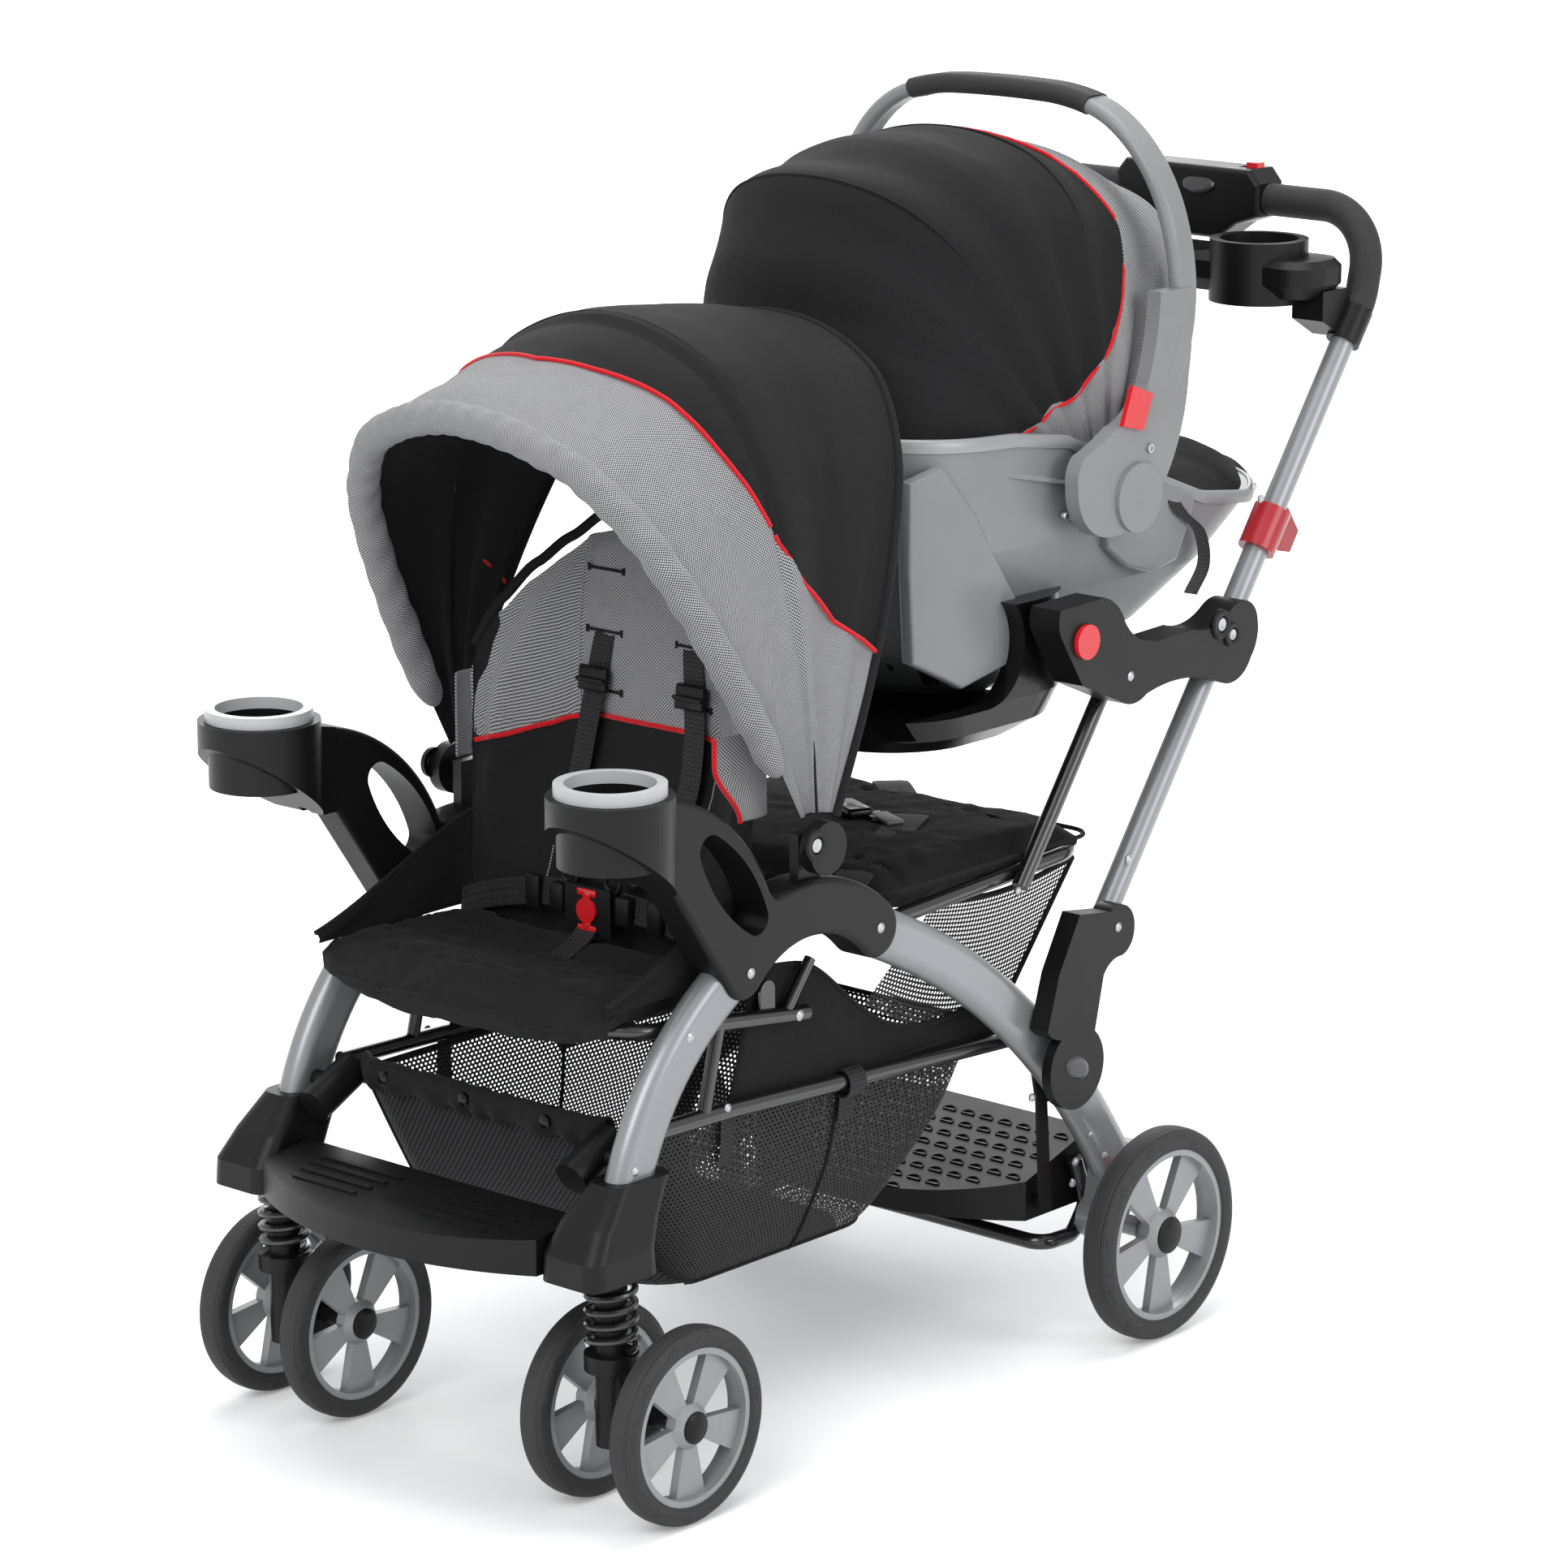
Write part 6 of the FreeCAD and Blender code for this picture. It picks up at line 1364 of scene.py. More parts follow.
def round_plan(share: float, front: float, back: float, half: float, corner: float) -> Flat:
    """A point of a rounded box seen from above.

    Args:
        share: how far round it, from the middle of its back over the left side.
        front, back, half, corner: its front and back lines, half width and corner radius.

    Returns:
        Its x and y.
    """
    corner = min(corner, half - 5)
    straight, long_side, arc = half - corner, back - front - 2 * corner, corner * math.pi / 2
    total = 4 * straight + 2 * long_side + 4 * arc
    left = (share % 1.0) * total
    turn = 0.0
    x, y = 0.0, back
    for run, bend in ((straight, arc), (long_side, arc), (2 * straight, arc), (long_side, arc),
                      (straight, 0.0)):
        step = min(left, run)
        x, y = x + math.cos(turn) * step, y - math.sin(turn) * step
        left -= step
        if left <= 0:
            break
        if bend:
            part = min(left, bend) / corner
            cx, cy = x - math.sin(turn) * corner, y - math.cos(turn) * corner
            turn += part
            x, y = cx + math.sin(turn) * corner, cy + math.cos(turn) * corner
            left -= part * corner
            if left <= 1e-9:
                break
    return x, y


@dataclass
class Basket:
    """The shopping basket: a net tub, a solid front with a gathered roll, and tall side panels."""
    levels: Ring = ((158, 130, 395, 135), (166, 98, 415, 148), (200, 74, 446, 162), (255, 48, 500, 172),
                    (330, 12, 548, 178.5))
    corner: float = 55.0
    half: float = 181.0
    front_half: float = 153.0
    top_edge: Sequence[Flat] = ((196, 470), (203, 462), (271, 448), (342, 393), (389, 365), (462, 352),
                                (545, 366))
    net: Sequence[Flat] = ((352, 392), (455, 470), (668, 474), (560, 345))

    def level(self, v: float) -> Vector:
        """Args: v: 0 at the floor, 1 at the top. Returns: height, front, back and half width there."""
        return Track(self.levels).at(v)

    def wall(self, u: float, v: float, out: float = 0.0) -> Vector:
        """Args: u: round it. v: up it. out: millimetres outside it. Returns: the point."""
        z, front, back, half = self.level(v)
        x, y = round_plan(u, front - out, back + out, half + out, self.corner)
        return place(x, y, z)

    def rail(self, y: float) -> float:
        """Args: y: where. Returns: the height of the side rail."""
        return mix(342, 313, (y - 10) / 540)

    def build(self) -> None:
        """Make the tub, its floor, the panels and their straps."""
        tub = Work("basket_net")
        tub.sheet(self.wall, 96, 18, (1.26, 0.2))
        bmesh.ops.remove_doubles(tub.bm, verts=tub.bm.verts, dist=2e-4)
        net = tub.piece("frame", Finish.NET, replaces=["basket"])
        declare(net, 0.62)
        floor = Work("basket_floor").sheet(lambda u, v: place(0, 262, 158).lerp(self.wall(u, 0), v),
                                           96, 8, (0.9, 0.14))
        bmesh.ops.remove_doubles(floor.bm, verts=floor.bm.verts, dist=2e-4)
        made = floor.piece("frame", Finish.BLACK_PAD, thick=2.0)
        declare(made, 0.27)
        self.make_front()
        for side, name in ((1, "left"), (-1, "right")):
            self.make_side(side, name)
        rim = [self.wall(i / 120, 1.0) for i in range(120)]
        Work("basket_rim").tube(rim, 2.6, 8, closed=True).piece("frame", Finish.BLACK_PAD)

    def make_front(self) -> None:
        """The solid front panel with its bindings, and the gathered roll snapped over the front rail."""
        def front(u: float, v: float) -> Vector:
            z, low, back, half = self.level(v)
            x = (2 * u - 1) * min(self.front_half - 8 + 8 * v, half - 2)
            past = max(abs(x) - (half - self.corner), 0)
            y = low + self.corner - math.sqrt(max(self.corner ** 2 - past ** 2, 0))
            return place(x, y - 1.6, z)

        made = Work("basket_front").sheet(front, 34, 16, (0.3, 0.2)).piece("frame", Finish.MESH, thick=1.0)
        declare(made, 0.3)
        for side in (0.0, 1.0):
            Work(f"basket_front_edge_{int(side)}").tube([front(side, v / 16) for v in range(17)], 2.6,
                                                        8).piece("frame", Finish.BLACK_PAD)

        def roll(u: float, v: float) -> Vector:
            x = (2 * u - 1) * (self.front_half + 4)
            gather = 2.4 * math.sin(x / 5.5 + 2 * math.sin(x / 23)) * math.sin(v * math.pi)
            turn = v * TURN
            size = 11.5 + gather + 1.5 * noise.noise(Vector((x / 18, v * 3, 0)))
            past = max(abs(x) - 124, 0)
            y = 8 + self.corner - math.sqrt(self.corner ** 2 - past ** 2)
            return place(x, y + size * 0.85 * math.sin(turn), 341 + size * 1.25 * math.cos(turn))

        work = Work("basket_roll").sheet(roll, 110, 14)
        bmesh.ops.remove_doubles(work.bm, verts=work.bm.verts, dist=2e-4)
        made = work.piece("frame", Finish.BLACK_PAD, sharp=80)
        snaps = Work("basket_snaps")
        for x in (-112, -8, 96):
            past = max(abs(x) - 124, 0)
            y = 8 + self.corner - math.sqrt(self.corner ** 2 - past ** 2)
            snaps.lathe([(0, 2.6), (3.4, 2.2), (6.0, 1.0), (6.6, -1.0), (6.6, -2.5)],
                        place(x, y - 10.5, 343), Vector((0, -1, 0.1)), 20)
        snaps.piece("frame", Finish.GLOSS)

    def make_side(self, side: int, name: str) -> None:
        """A tall black side panel, its binding, the meshed corner above it and the straps.

        Args: side, name: which.
        """
        edge = Track(self.top_edge)

        def panel(u: float, v: float) -> Vector:
            top = edge.at(u)
            low_y = mix(150, 545, u)
            y, z = mix(low_y, top[0], v), mix(self.rail(low_y) - 6, top[1], v)
            ripple = 1.2 * math.sin(u * 14 + v * 5) * math.sin(v * math.pi)
            return place(side * (self.half - 1 - 2.5 * v + ripple), y, z)

        made = Work(f"basket_panel_{name}").sheet(panel, 36, 14, (0.39, 0.12)).piece(
            "frame", Finish.BLACK_CLOTH, thick=1.2)
        declare(made, 0.39)
        Work(f"basket_panel_edge_{name}").tube([panel(u / 40, 1) for u in range(41)], 2.4, 8).piece(
            "frame", Finish.BLACK_PAD)

        def corner(u: float, v: float) -> Vector:
            low = Vector(self.net[0]).lerp(Vector(self.net[3]), u)
            high = Vector(self.net[1]).lerp(Vector(self.net[2]), u)
            low[1] -= 22 * math.sin(u * math.pi)
            high[1] -= 10 * math.sin(u * math.pi)
            y, z = low.lerp(high, v)
            return place(side * (self.half - 5), y, z)

        made = Work(f"basket_corner_net_{name}").sheet(corner, 20, 14, (0.22, 0.11)).piece("frame",
                Finish.NET)
        declare(made, 0.22)
        for part, line in (("top", [corner(i / 20, 1) for i in range(21)]),
                           ("back", [corner(1, i / 20) for i in range(21)])):
            Work(f"basket_net_{part}_{name}").tube(line, 2.6, 8).piece("frame", Finish.BLACK_PAD)
        for part, low, high in (("floor", 0.12, 0.12), ("corner", 0.0, 1.0)):
            middle, reach = (0.23 if side > 0 else 0.77), (0.0 if part == "corner" else 0.26)
            spots = [self.wall(middle + (i / 30 - 0.5) * reach, mix(low, high, i / 30), 0.8) for i in range(31)]
            Work(f"basket_seam_{part}_{name}").tube(spots, 1.8, 8).piece("frame", Finish.BLACK_PAD)
        straps = Work(f"basket_straps_{name}")
        straps.strap(Track([(side * 183, 151, 331), (side * 183.5, 150, 312), (side * 181, 149, 284)]),
                     Vector((0, 1, 0.1)), 20, 1.6, 10)
        y, z, r = 318, self.rail(318), 11.0
        loop = [(side * (187.5 + r * math.sin(a)), y,
                 z + r * 1.2 * math.cos(a)) for a in [i * TURN / 24 for i in range(25)]]
        straps.strap(Track(loop), Vector((0, 1, 0)), 24, 1.6, 36)
        straps.strap(Track([(side * 184, 318, z - 8), (side * 182.5, 319, z - 24),
                            (side * 180.5, 319, z - 40)]), Vector((0, 1, 0)), 22, 1.6, 10)
        straps.piece("frame", Finish.STRAP)


@dataclass
class Bench:
    """The rear child's bench: a padded seat with a piped edge, two straps and a buckle."""
    low: Point = (-193.0, 349.0, 479.0)
    high: Point = (193.0, 682.0, 505.0)

    def build(self) -> None:
        """Make the pad, its quilting, the straps and the buckle."""
        a, b = self.low, self.high
        work = Work("bench_cushion")
        middle = (b[2] + a[2]) / 2
        ring = [round_plan(i / 160, a[1], b[1], b[0], 26) for i in range(160)]
        for lift in (-13, 13):
            def skin(u: float, v: float) -> Vector:
                rounded = min(1, 6 * (1 - v) + 0.12)
                centre = place(0, (a[1] + b[1]) / 2, middle + lift)
                return centre.lerp(self.edge_point(ring, u, middle + lift * rounded), v)

            work.sheet(skin, 160, 22)
        bmesh.ops.remove_doubles(work.bm, verts=work.bm.verts, dist=2e-4)
        bmesh.ops.bridge_loops(work.bm, edges=[e for e in work.bm.edges if e.is_boundary])
        bmesh.ops.recalc_face_normals(work.bm, faces=work.bm.faces[:])
        pad = work.piece("frame", Finish.BLACK_PAD, sharp=70, replaces=["bench_pad"])
        swollen(pad, 8.0)
        down = Vector((0, 0, -1))
        for index, y in enumerate((410, 620)):
            spots = [place(x, y + 12 * math.cos(x / 90), 560) for x in range(-178, 179, 5)]
            seam(f"bench_seam_{index}", pad, spots, down, 0.7, Finish.BLACK_PAD, "frame", "black_fabric", 4.0)
        wrinkled(pad, 1.4, 34, 2.2)
        Work("bench_piping").tube([place(x * 0.995, (y - 516) * 0.995 + 516, b[2] - 6) for x, y in ring],
                                  2.4, 8, closed=True).piece("frame", Finish.BLACK_PAD)
        self.make_straps()

    def edge_point(self, ring: Sequence[Flat], u: float, z: float) -> Vector:
        """Args: ring: the pad's plan. u: round it. z: height. Returns: the point."""
        x, y = ring[round(u * len(ring)) % len(ring)]
        return place(x, y, z)

    def make_straps(self) -> None:
        """Two lap straps over the pad and the buckle that joins them."""
        top = self.high[2] + 3.5
        straps = Work("bench_straps")
        for line in (((165, 326, 470), (162, 340, top - 8), (150, 366, top), (122, 424, top),
                      (94, 478, top + 1), (57, 560, top + 5), (46, 580, top + 2)),
                     ((-66, 676, top), (-44, 655, top + 4), (-14, 631, top + 1), (10, 606, top - 1))):
            track = Track(line)

            def across(v: float, track: Track = track) -> Vector:
                ahead = track.at(min(v + 0.02, 1)) - track.at(max(v - 0.02, 0))
                return Vector((ahead.y, -ahead.x, 0)).normalized()

            straps.strap(track, across, 36, 2.0, 50)
        straps.piece("frame", Finish.STRAP)
        turn = Matrix.Rotation(math.radians(-24), 3, "Z")
        buckle = Work("bench_buckle")
        buckle.block((-28, 527, top), (22, 555, top + 14), 4, 3, turn)
        buckle.block((16, 531, top + 2), (46, 552, top + 9), 2.5, 2, turn)
        buckle.piece("frame", Finish.GLOSS)
        Work("bench_buckle_plate").block((26, 529, top + 6), (66, 548, top + 10), 1.5, 2,
                                         turn).piece("frame", Finish.PLATE)
        Work("bench_buckle_tab").block((-36, 537, top + 5), (-22, 553, top + 16), 2.5, 3,
                                       turn).piece("frame", Finish.RED)


@dataclass
class CarrierTrim:
    """The infant carrier's rim flange, padding, foot cover, moulded side leg, belt and screws."""
    rim: Sequence[Flat] = ((380, 920), (560, 910), (640, 898), (760, 850), (860, 812), (950, 800),
                           (1020, 808), (1100, 806))
    levels: Ring = ((636, 560, 730, 90), (650, 535, 775, 122), (690, 492, 868, 152), (741, 445, 945, 172),
                    (800, 408, 1015, 184),
                    (860, 402, 1040, 186), (925, 402, 1040, 184))
    corner: float = 110.6

    def plan(self, u: float, z: float, out: float) -> Flat:
        """Args: u: round it. z: height. out: millimetres outside. Returns: x and y of the shell there."""
        rows = self.levels
        z = min(max(z, rows[0][0]), rows[-1][0])
        for a, b in zip(rows, rows[1:]):
            if z <= b[0]:
                t = (z - a[0]) / (b[0] - a[0])
                front, back, half = (mix(a[i], b[i], t) for i in (1, 2, 3))
                return round_plan(u, front - out, back + out, half + out,
                                  min(self.corner + out, half + out - 5))
        return 0.0, 0.0

    def rim_height(self, y: float) -> float:
        """Args: y: where. Returns: the height of the shell's rim."""
        rows = self.rim
        for (a, low), (b, high) in zip(rows, rows[1:]):
            if y <= b:
                return mix(low, high, max(0.0, (y - a) / (b - a)))
        return rows[-1][1]

    def rim_point(self, u: float, out: float, lift: float = 0.0) -> Vector:
        """Args: u: round it. out, lift: millimetres outside and above. Returns: a point of the rim."""
        z = 850.0
        for _ in range(6):
            x, y = self.plan(u, z, out)
            z = self.rim_height(y)
        return place(x, y, z + lift)

    def build(self) -> None:
        """Make the flange, the padding, the leg, the cover, the belt and the screws."""
        self.make_rim()
        self.make_pad()
        self.make_sides()
        self.make_screws()

    def make_rim(self) -> None:
        """The rolled flange round the shell's rim."""
        def flange(u: float, v: float) -> Vector:
            turn = mix(-0.15, 1.15, v) * math.pi
            return self.rim_point(u, -1.5 - 4.5 * math.cos(turn), -7 + 9 * math.sin(turn))

        work = Work("carrier_rim").sheet(flange, 160, 10)
        work.sheet(lambda u, v: flange(u, 0).lerp(flange(u, 1), v), 160, 1)
        bmesh.ops.remove_doubles(work.bm, verts=work.bm.verts, dist=2e-4)
        bmesh.ops.recalc_face_normals(work.bm, faces=work.bm.faces[:])
        work.piece("carrier", Finish.RIM, sharp=50)

    def make_pad(self) -> None:
        """The padded lining, deepest along the middle, with a black cover over its foot end."""
        def lining(u: float, v: float) -> Vector:
            top = self.rim_point(u, -19, -4)
            z_top = top.z * 1000
            z = mix(664, z_top, v ** 0.8)
            if v > 0.995:
                return top
            x, y = self.plan(u, z, -19)
            return place(x, y, z)

        work = Work("carrier_lining").sheet(lining, 120, 22)
        work.sheet(lambda u, v: place(0, 645, 662).lerp(lining(u, 0), v), 120, 8)
        bmesh.ops.remove_doubles(work.bm, verts=work.bm.verts, dist=2e-4)
        bmesh.ops.recalc_face_normals(work.bm, faces=work.bm.faces[:])
        bmesh.ops.solidify(work.bm, geom=work.bm.faces[:], thickness=0.011)
        bmesh.ops.recalc_face_normals(work.bm, faces=work.bm.faces[:])
        pad = work.piece("carrier", Finish.BLACK_PAD, sharp=60, replaces=["carrier_pad"])
        wrinkled(pad, 1.6, 40, 5.5)

        def hump(u: float, v: float) -> Vector:
            x = (2 * u - 1) * 168
            y = mix(846, 1030, v)
            side = 1 - abs(2 * u - 1) ** 5
            rise = 30 * math.sin(min(v * 1.25, 1) * math.pi * 0.5) * (1 - ease(0.82, 1, v) * 0.55)
            reach = 1 - 0.32 * ease(0.55, 1, v)
            fold = 1.6 * math.sin(x / 17 + v * 5) * side
            return place(x * reach, y, self.rim_height(y) - 8 + (rise + fold) * side + 6 * side)

        made = Work("carrier_foot_cover").sheet(hump, 44, 26, (0.34, 0.19)).piece(
            "carrier", Finish.BLACK_CLOTH, thick=2.5)

    def make_sides(self) -> None:
        """The moulded leg and flap of each side, and the belt that hangs from the rim."""
        for side, name in ((1, "left"), (-1, "right")):
            leg = Work(f"carrier_leg_{name}")
            leg.prism([(452, 893), (500, 845), (549, 772), (593, 714), (560, 690), (483, 676), (456, 690),
                       (410, 712), (404, 800), (404, 885)],
                      side * 178, 16, 3.5)
            leg.piece("carrier", Finish.SHELL)
            flap = Work(f"carrier_flap_{name}")
            flap.prism([(694, 812), (700, 780), (732, 757), (770, 745), (812, 752), (834, 791), (842, 815),
                        (770, 840), (720, 838)],
                       side * 184, 12, 3.5)
            flap.piece("carrier", Finish.SHELL)
            belt = Track([(side * 168, 806, 832), (side * 186, 803, 818), (side * 193, 812, 800),
                          (side * 194, 842, 776), (side * 188, 858, 740),
                          (side * 168, 864, 706)])
            Work(f"carrier_belt_{name}").strap(belt, Vector((0, 1, -0.25)), 22, 1.8, 40).piece("carrier",
                    Finish.STRAP)

    def make_screws(self) -> None:
        """A recessed screw in the handle's hub, and two small screws before it."""
        pins = Work("carrier_screws")
        for side in (-1, 1):
            for y, z in ((632, 822), (644, 818)):
                pins.lathe([(0, 3), (3.2, 2.6), (4.2, 1.2), (4.2, -3)], place(side * 190, y, z),
                           Vector((side, 0, 0)), 16)
            pins.lathe([(0, 0.6), (2.4, 0.8), (2.6, 2.0), (4.6, 2.0), (4.8, -1.5)],
                       place(side * 222, 722, 880), Vector((side, 0, 0)), 20)
        pins.piece("carrier", Finish.ZINC)


@dataclass
class Wheels:
    """Six tyres with their scrolls, and the black caps in the hubs."""
    front: Sequence[Flat] = ((74, -12), (78, -13.5), (84, -14), (88.5, -12.5), (91.5, -9), (92.5, -4))
    rear: Sequence[Flat] = ((86, -14), (90, -15.6), (97, -16), (102.5, -14.5), (105.8, -10.5), (107, -4.5))

    def build(self) -> None:
        """Make the tyres and the caps."""
        rows = [(f"front_{a}_{b}", 1 if a == "left" else -1, 266.5 if b == "outer" else 156.5, 0.0, 92.5,
                 self.front, 15.0)
                for a in ("left", "right") for b in ("outer", "inner")]
        rows += [(f"rear_{a}", 1 if a == "left" else -1, 283.0, 677.0, 107.0, self.rear,
                  18.5) for a in ("left", "right")]
        for name, side, x, y, z, half, cap in rows:
            across = Vector((1, 0, 0))
            middle = place(side * x, y, z)
            ring = [*half, *[(r, -h) for r, h in reversed(half)]]
            tyre = Work(f"{name}_tyre_skin").lathe([*ring, ring[0]], middle, across, 96)
            self.map_shoulder(tyre, middle, half[0][0] / 1000, half[-1][0] / 1000)
            tyre.piece(name, Finish.TYRE, sharp=60, replaces=[f"{name}_tyre"])
            caps = Work(f"{name}_hub_caps")
            for way in (1, -1):
                caps.lathe([(0, 3.6), (cap * 0.5, 3.2), (cap * 0.85, 1.8), (cap, 0), (cap, -2.5)],
                           middle + across * way * (half[2][1] * -1 - 1.5) / 1000, across * way, 32)
            caps.piece(name, Finish.BLACK)

    def map_shoulder(self, work: Work, centre: Vector, low: float, high: float) -> None:
        """Lay the map with the turn one way and the share of the sidewall the other.

        Args: work, centre, low, high: its radii.
        """
        for face in work.bm.faces:
            turns = [math.atan2(v.co.z - centre.z, v.co.y - centre.y) / TURN for v in face.verts]
            high_turn = max(turns)
            for loop, turn in zip(face.loops, turns):
                away = math.hypot(loop.vert.co.y - centre.y, loop.vert.co.z - centre.z)
                loop[work.map].uv = (turn + (1 if high_turn - turn > 0.5 else 0), (away - low) / (high - low))


# Small fittings

@dataclass
class Fittings:
    """Rivets, bolts and screws on the tubes, blank badges, the canopies' pivot caps and the board's treads.
    """
    rivets: Sequence[tuple[float, float, float, float]] = (
        (230, 130, 480, 5.2), (230, 312, 485, 5.2), (224, 55, 435, 5.4), (224, -19, 327, 5.0),
        (196, 138, 343, 4.6),
        (197, 237, 410, 5.4), (235, 682, 479, 4.8), (248, 650, 419, 4.8), (225, 617, 182, 4.2),
        (225, 613, 161, 4.2),
        (224, 665, 177, 4.4), (224, 643, 204, 3.6), (249, 662, 668, 5.0), (241, 868, 824, 4.2),
        (241, 880, 810, 4.2),
        (240, 1043, 960, 4.6), (230, 541, 267, 4.4), (213, 537, 472, 4.4))
    reach: float = 26.0
    carriers: Sequence[str] = ("armrests", "front_legs", "rear_legs", "seat_frame", "rail_connectors",
                               "platform_stay", "fold_links",
                               "push_bar", "tray_arms", "tray_tubes", "tube_clamps", "rear_tray",
                               "canopy_mounts",
                               "standing_platform", "handle_console")

    def surface(self, side: int, x: float, y: float, z: float) -> float:
        """Args: side, x, y, z: about where. Returns: how far out the nearest packed surface lies there."""
        best, gap = x, self.reach
        for name in self.carriers:
            node = frame["nodes"][name]
            start = place(side * (x + self.reach), y, z)
            found, hit, _, _ = node.ray_cast(start, Vector((-side, 0, 0)))
            if found and abs(abs(hit.x) * 1000 - x) < gap:
                best, gap = abs(hit.x) * 1000, abs(abs(hit.x) * 1000 - x)
        return best

    def build(self) -> None:
        """Make every fitting."""
        self.make_rivets()
        self.make_caps()
        self.make_badges()
        self.make_treads()

    def make_rivets(self) -> None:
        """Domed rivet heads on thin washers."""
        work = Work("rivets")
        for side in (-1, 1):
            for x, y, z, wide in self.rivets:
                size = wide * 0.86
                at = place(side * self.surface(side, x, y, z), y, z)
                work.lathe([(0, 2.4), (size * 0.45, 2.2), (size * 0.8, 1.4), (size, 0.4), (size * 1.1, 0.3),
                            (size * 1.1, -1.5)],
                           at, Vector((side, 0, 0)), 20)
        work.piece("frame", Finish.ZINC)

    def make_caps(self) -> None:
        """Round caps with a recessed screw over the canopy pivots and the tray arms' ends."""
        caps, screws = Work("pivot_caps"), Work("pivot_screws")
        for side in (-1, 1):
            for x, y, z, size in ((245, 202, 588, 15), (249, 824, 683, 12.5), (235, 806, 696, 15)):
                out = self.surface(side, x, y, z)
                at, axis = place(side * out, y, z), Vector((side, 0, 0))
                caps.lathe([(0, 1.0), (size * 0.5, 1.0), (size * 0.58, 3.0), (size * 0.85, 3.4),
                            (size, 1.8), (size, -3)], at, axis, 36)
                screws.lathe([(0, 1.4), (size * 0.2, 1.6), (size * 0.34, 2.4), (size * 0.42, 2.2),
                              (size * 0.42, 0)], at, axis, 20)
        caps.piece("frame", Finish.BLACK)
        screws.piece("frame", Finish.ZINC)

    def oval(self, work: Work, centre: Vector, right: Vector, up: Vector, size: Flat, thick: float) -> None:
        """A low oval plate with rounded edges.

        Args: work, centre, right, up: its place. size: half width and height. thick: mm.
        """
        def dome(u: float, v: float) -> Vector:
            turn = u * TURN
            rise = thick * (1 - v ** 8)
            flat = right * size[0] * v * math.cos(turn) + up * size[1] * v * math.sin(turn)
            return centre + (flat + right.cross(up) * rise) / 1000

        work.sheet(dome, 48, 8)
        bmesh.ops.remove_doubles(work.bm, verts=work.bm.verts, dist=1e-5)
        bmesh.ops.recalc_face_normals(work.bm, faces=work.bm.faces[:])

    def make_badges(self) -> None:
        """Blank oval plates on the console and on both fold links."""
        plate = Work("blank_badges")
        front = skin_hit(frame["nodes"]["handle_console"], place(17, 900, 1086), Vector((0, 1, 0)), 0.4)
        if front is not None:
            self.oval(plate, front, Vector((1, 0, 0)), Vector((0, 0.35, 0.94)), (20, 11), 1.6)
        for side in (-1, 1):
            at = place(side * (self.surface(side, 248, 588, 290) + 0.3), 588, 290)
            self.oval(plate, at, Vector((0, side * 0.9, -0.42)), Vector((0, side * 0.42, 0.9)), (19, 11), 1.6)
        plate.piece("frame", Finish.BADGE)

    def make_treads(self) -> None:
        """Half-moon treads over the top of the standing board."""
        work = Work("board_treads")
        board = frame["nodes"]["standing_platform"]
        for row, y in enumerate(range(542, 694, 19)):
            for x in range(-162 + (row % 2) * 12, 163, 24):
                spots = []
                for i in range(11):
                    turn = math.pi * (i / 10)
                    at = skin_hit(board, place(x + 7.5 * math.cos(turn), y + 6 * math.sin(turn) - 3, 320),
                                  Vector((0, 0, -1)), 0.3)
                    if at is not None:
                        spots.append(at)
                if len(spots) == 11 and max(p.z for p in spots) - min(p.z for p in spots) < 0.008:
                    work.tube([*spots, spots[0]], 1.2, 6)
        work.piece("frame", Finish.BLACK)


# Studio and assembly

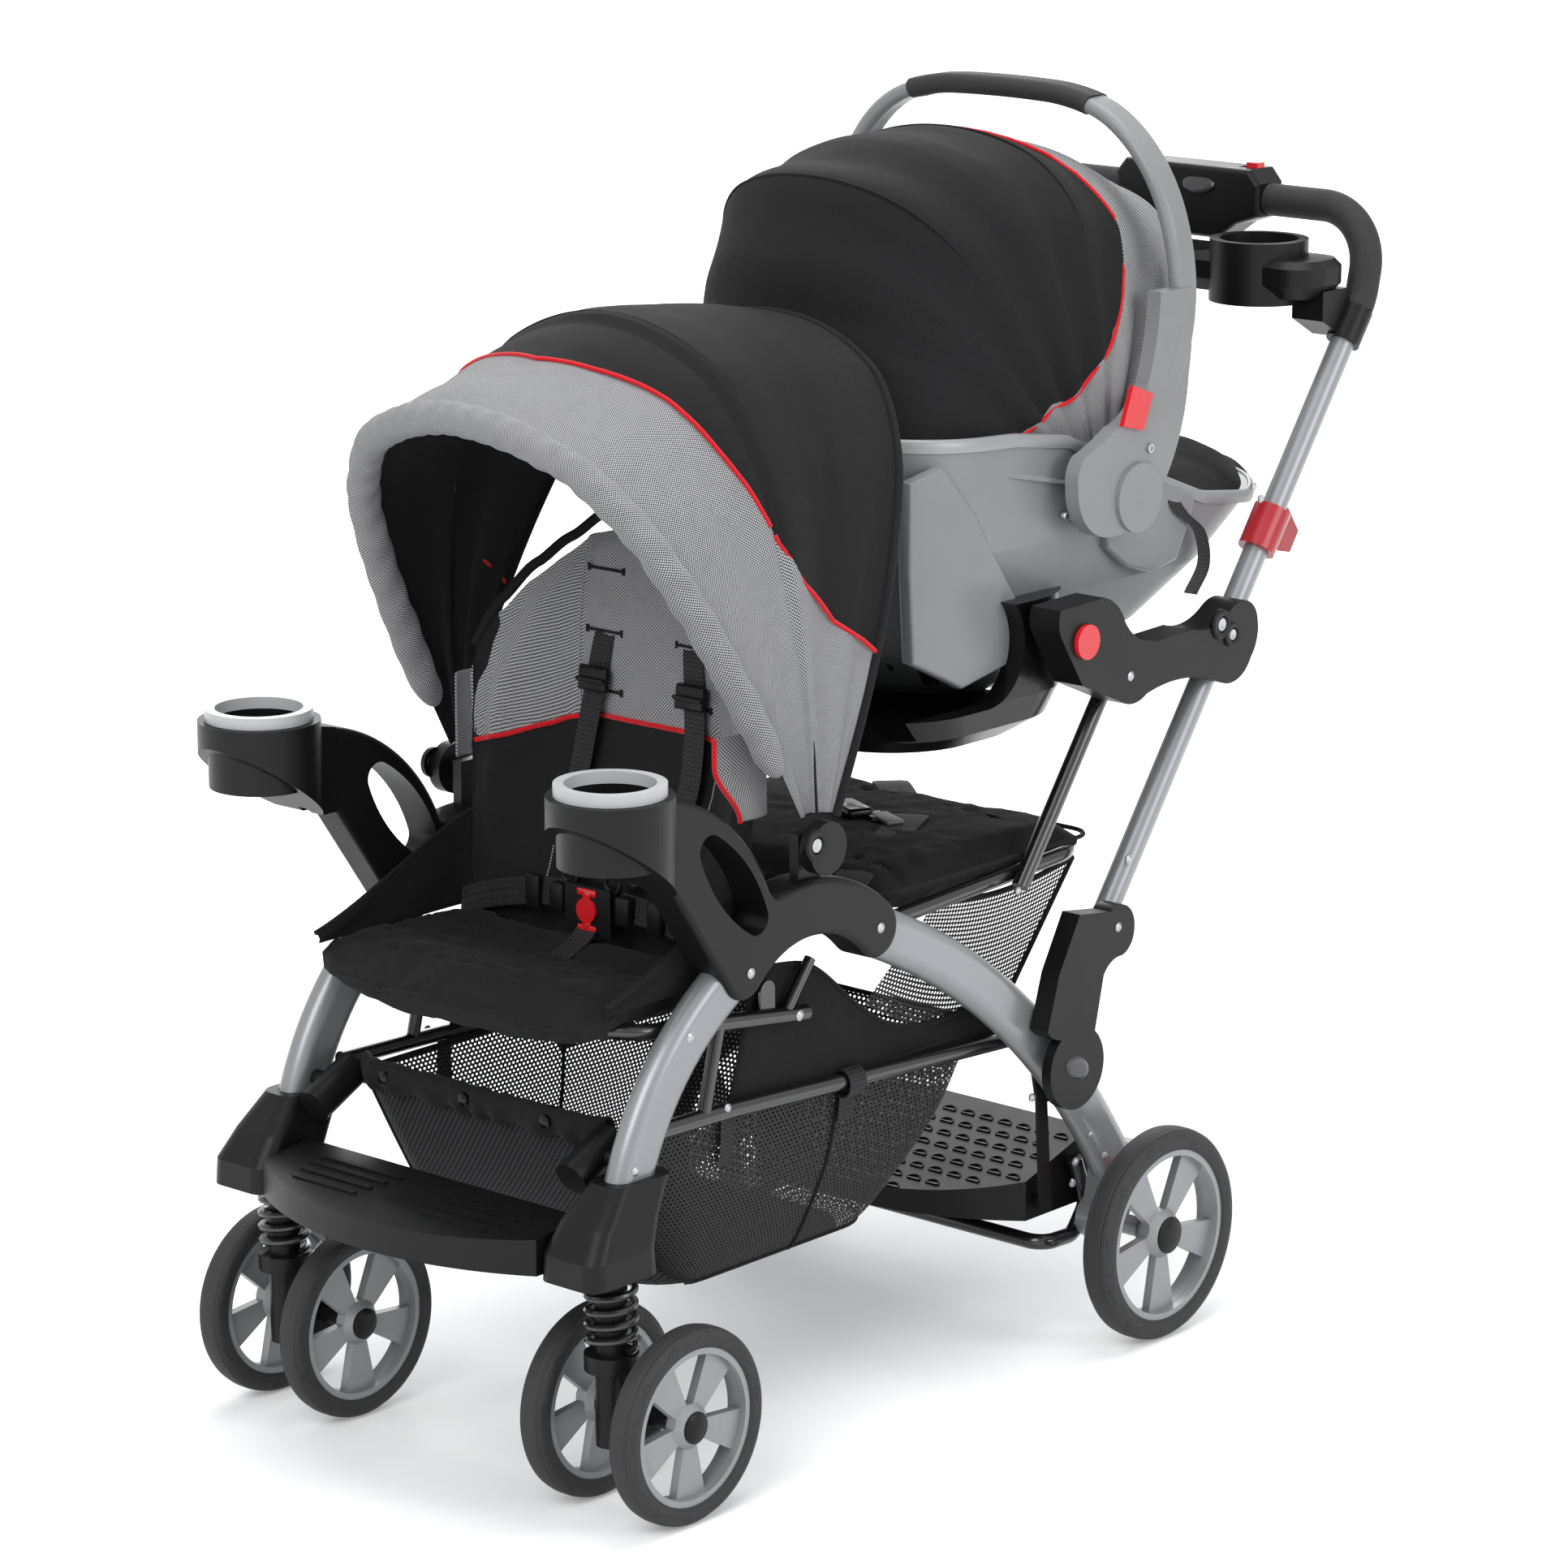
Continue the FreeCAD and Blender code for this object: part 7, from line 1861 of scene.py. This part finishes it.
@dataclass
class Studio:
    """A pale floor, soft light and the camera at the photograph's place."""
    camera: Point = (3.33847, -3.86273, 1.81246)
    turn: Point = (1.328972700, 0.0, 0.718775759)
    lens: float = 36 * 6633.865 / 1932
    floor: float = 14.0
    glow: float = 0.2

    def build(self) -> None:
        """Make the floor, the world, the lamps and the camera."""
        self.make_floor()
        self.make_world()
        self.make_lamps()
        eye = bpy.data.cameras.new("eye")
        eye.lens, eye.sensor_width, eye.clip_end = self.lens, 36, 60
        seat = bpy.data.objects.new("eye", eye)
        seat.location, seat.rotation_euler = self.camera, self.turn
        bpy.context.scene.collection.objects.link(seat)
        bpy.context.scene.camera = seat
        bpy.context.scene.view_settings.view_transform = "Standard"

    def make_floor(self) -> None:
        """A pale floor that shows as white to the camera but keeps the shadow."""
        bm = bmesh.new()
        bmesh.ops.create_grid(bm, x_segments=1, y_segments=1, size=self.floor)
        mesh = bpy.data.meshes.new("floor")
        bm.to_mesh(mesh)
        bm.free()
        mesh.materials.append(self.floor_finish())
        ground = bpy.data.objects.new("floor", mesh)
        ground.location.z = -0.0005
        bpy.context.scene.collection.objects.link(ground)

    def floor_finish(self) -> bpy.types.Material:
        """Returns: pale matt paint, which the camera and mirrors see turn white away from the stroller."""
        sh = Shader("floor")
        x, y, _ = sh.axes(sh.object_point())
        away = ((x * x + y * y) ** 0.5).ramp(0.7, 2.4)
        path = sh.node("ShaderNodeLightPath")
        seen = Field(sh, path.outputs["Is Camera Ray"]).most(Field(sh, path.outputs["Is Glossy Ray"]))
        seen = seen.most(Field(sh, path.outputs["Is Transmission Ray"]))
        paint = sh.node("ShaderNodeBsdfDiffuse", {}, {"Color": (0.88, 0.88, 0.88, 1)})
        glow = sh.node("ShaderNodeEmission", {},
                       {"Color": (1, 1, 1, 1), "Strength": seen * (away * 0.8 + self.glow)})
        both = sh.node("ShaderNodeAddShader", {}, {0: paint.outputs[0], 1: glow.outputs[0]})
        sh.node("ShaderNodeOutputMaterial", {}, {0: both.outputs[0]})
        return sh.material

    def make_world(self) -> None:
        """White all round, plainer on the object than to the camera."""
        world = bpy.data.worlds.new("studio")
        world.use_nodes = True
        tree = world.node_tree
        tree.nodes.clear()
        path = tree.nodes.new("ShaderNodeLightPath")
        seen, behind = tree.nodes.new("ShaderNodeMath"), tree.nodes.new("ShaderNodeMath")
        seen.operation = behind.operation = "MAXIMUM"
        tree.links.new(path.outputs["Is Camera Ray"], seen.inputs[0])
        tree.links.new(path.outputs["Is Transmission Ray"], behind.inputs[0])
        tree.links.new(path.outputs["Is Glossy Ray"], behind.inputs[1])
        tree.links.new(behind.outputs[0], seen.inputs[1])
        plain, white = tree.nodes.new("ShaderNodeBackground"), tree.nodes.new("ShaderNodeBackground")
        plain.inputs[0].default_value, plain.inputs[1].default_value = (0.95, 0.97, 1, 1), 0.62
        white.inputs[0].default_value, white.inputs[1].default_value = (1, 1, 1, 1), 1.0
        both = tree.nodes.new("ShaderNodeMixShader")
        tree.links.new(seen.outputs[0], both.inputs[0])
        tree.links.new(plain.outputs[0], both.inputs[1])
        tree.links.new(white.outputs[0], both.inputs[2])
        out = tree.nodes.new("ShaderNodeOutputWorld")
        tree.links.new(both.outputs[0], out.inputs[0])
        bpy.context.scene.world = world

    def make_lamps(self) -> None:
        """Large soft boxes: a key from the front left, a top light and a rim light behind."""
        boxes = (("key", (1.2, -4.2, 3.6), 3.0, 130), ("top", (0.0, 0.3, 4.2), 3.2, 90),
                 ("side", (4.2, 0.6, 2.2), 2.4, 60),
                 ("rim", (-3.0, 3.2, 2.8), 2.4, 70))
        for name, spot, size, power in boxes:
            lamp = bpy.data.lights.new(name, "AREA")
            lamp.shape, lamp.size, lamp.energy = "DISK", size, power
            box = bpy.data.objects.new(name, lamp)
            box.location = spot
            box.rotation_euler = (Vector((0, 0, 0.55)) - Vector(spot)).to_track_quat("-Z", "Y").to_euler()
            bpy.context.scene.collection.objects.link(box)


class Carried:
    """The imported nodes, each given its finish."""

    def build(self) -> None:
        """Give every node the finish of its slot, or its own."""
        by_slot = {
            "silver_frame": Finish.SILVER, "black_tube": Finish.BLACK_TUBE, "black_plastic": Finish.BLACK,
            "gloss_black": Finish.GLOSS, "grey_plastic": Finish.PALE, "carrier_grey": Finish.SHELL,
            "rim_grey": Finish.RIM, "red_plastic": Finish.RED, "tyre_black": Finish.TYRE,
            "black_fabric": Finish.BLACK_PAD, "grey_fabric": Finish.GREY_PAD, "webbing": Finish.STRAP,
            "spring_black": Finish.SPRING, "grip_foam": Finish.FOAM}
        own = {"tube_clamps": Finish.MAROON, "brake_pedal_left": Finish.MAROON,
               "brake_pedal_right": Finish.MAROON}
        for row in frame["record"]["subparts"]:
            node = frame["nodes"][row["node"]]
            finish = own.get(row["node"], by_slot[row["material_slot"]])
            for slot in node.material_slots:
                slot.material = PALETTE.get(finish)


def main() -> None:
    """Dress the stroller piece by piece."""
    logging.basicConfig(level=logging.INFO, format="%(name)s %(message)s", stream=sys.stdout)
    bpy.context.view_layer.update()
    for part in (Studio(), Carried(), FrontCanopy(), CarrierCanopy(), FrontSeat(), Basket(), Bench(),
                 CarrierTrim(),
                 Wheels(), Fittings()):
        log.info("building %s", type(part).__name__)
        part.build()


if __name__ == "__main__":
    main()
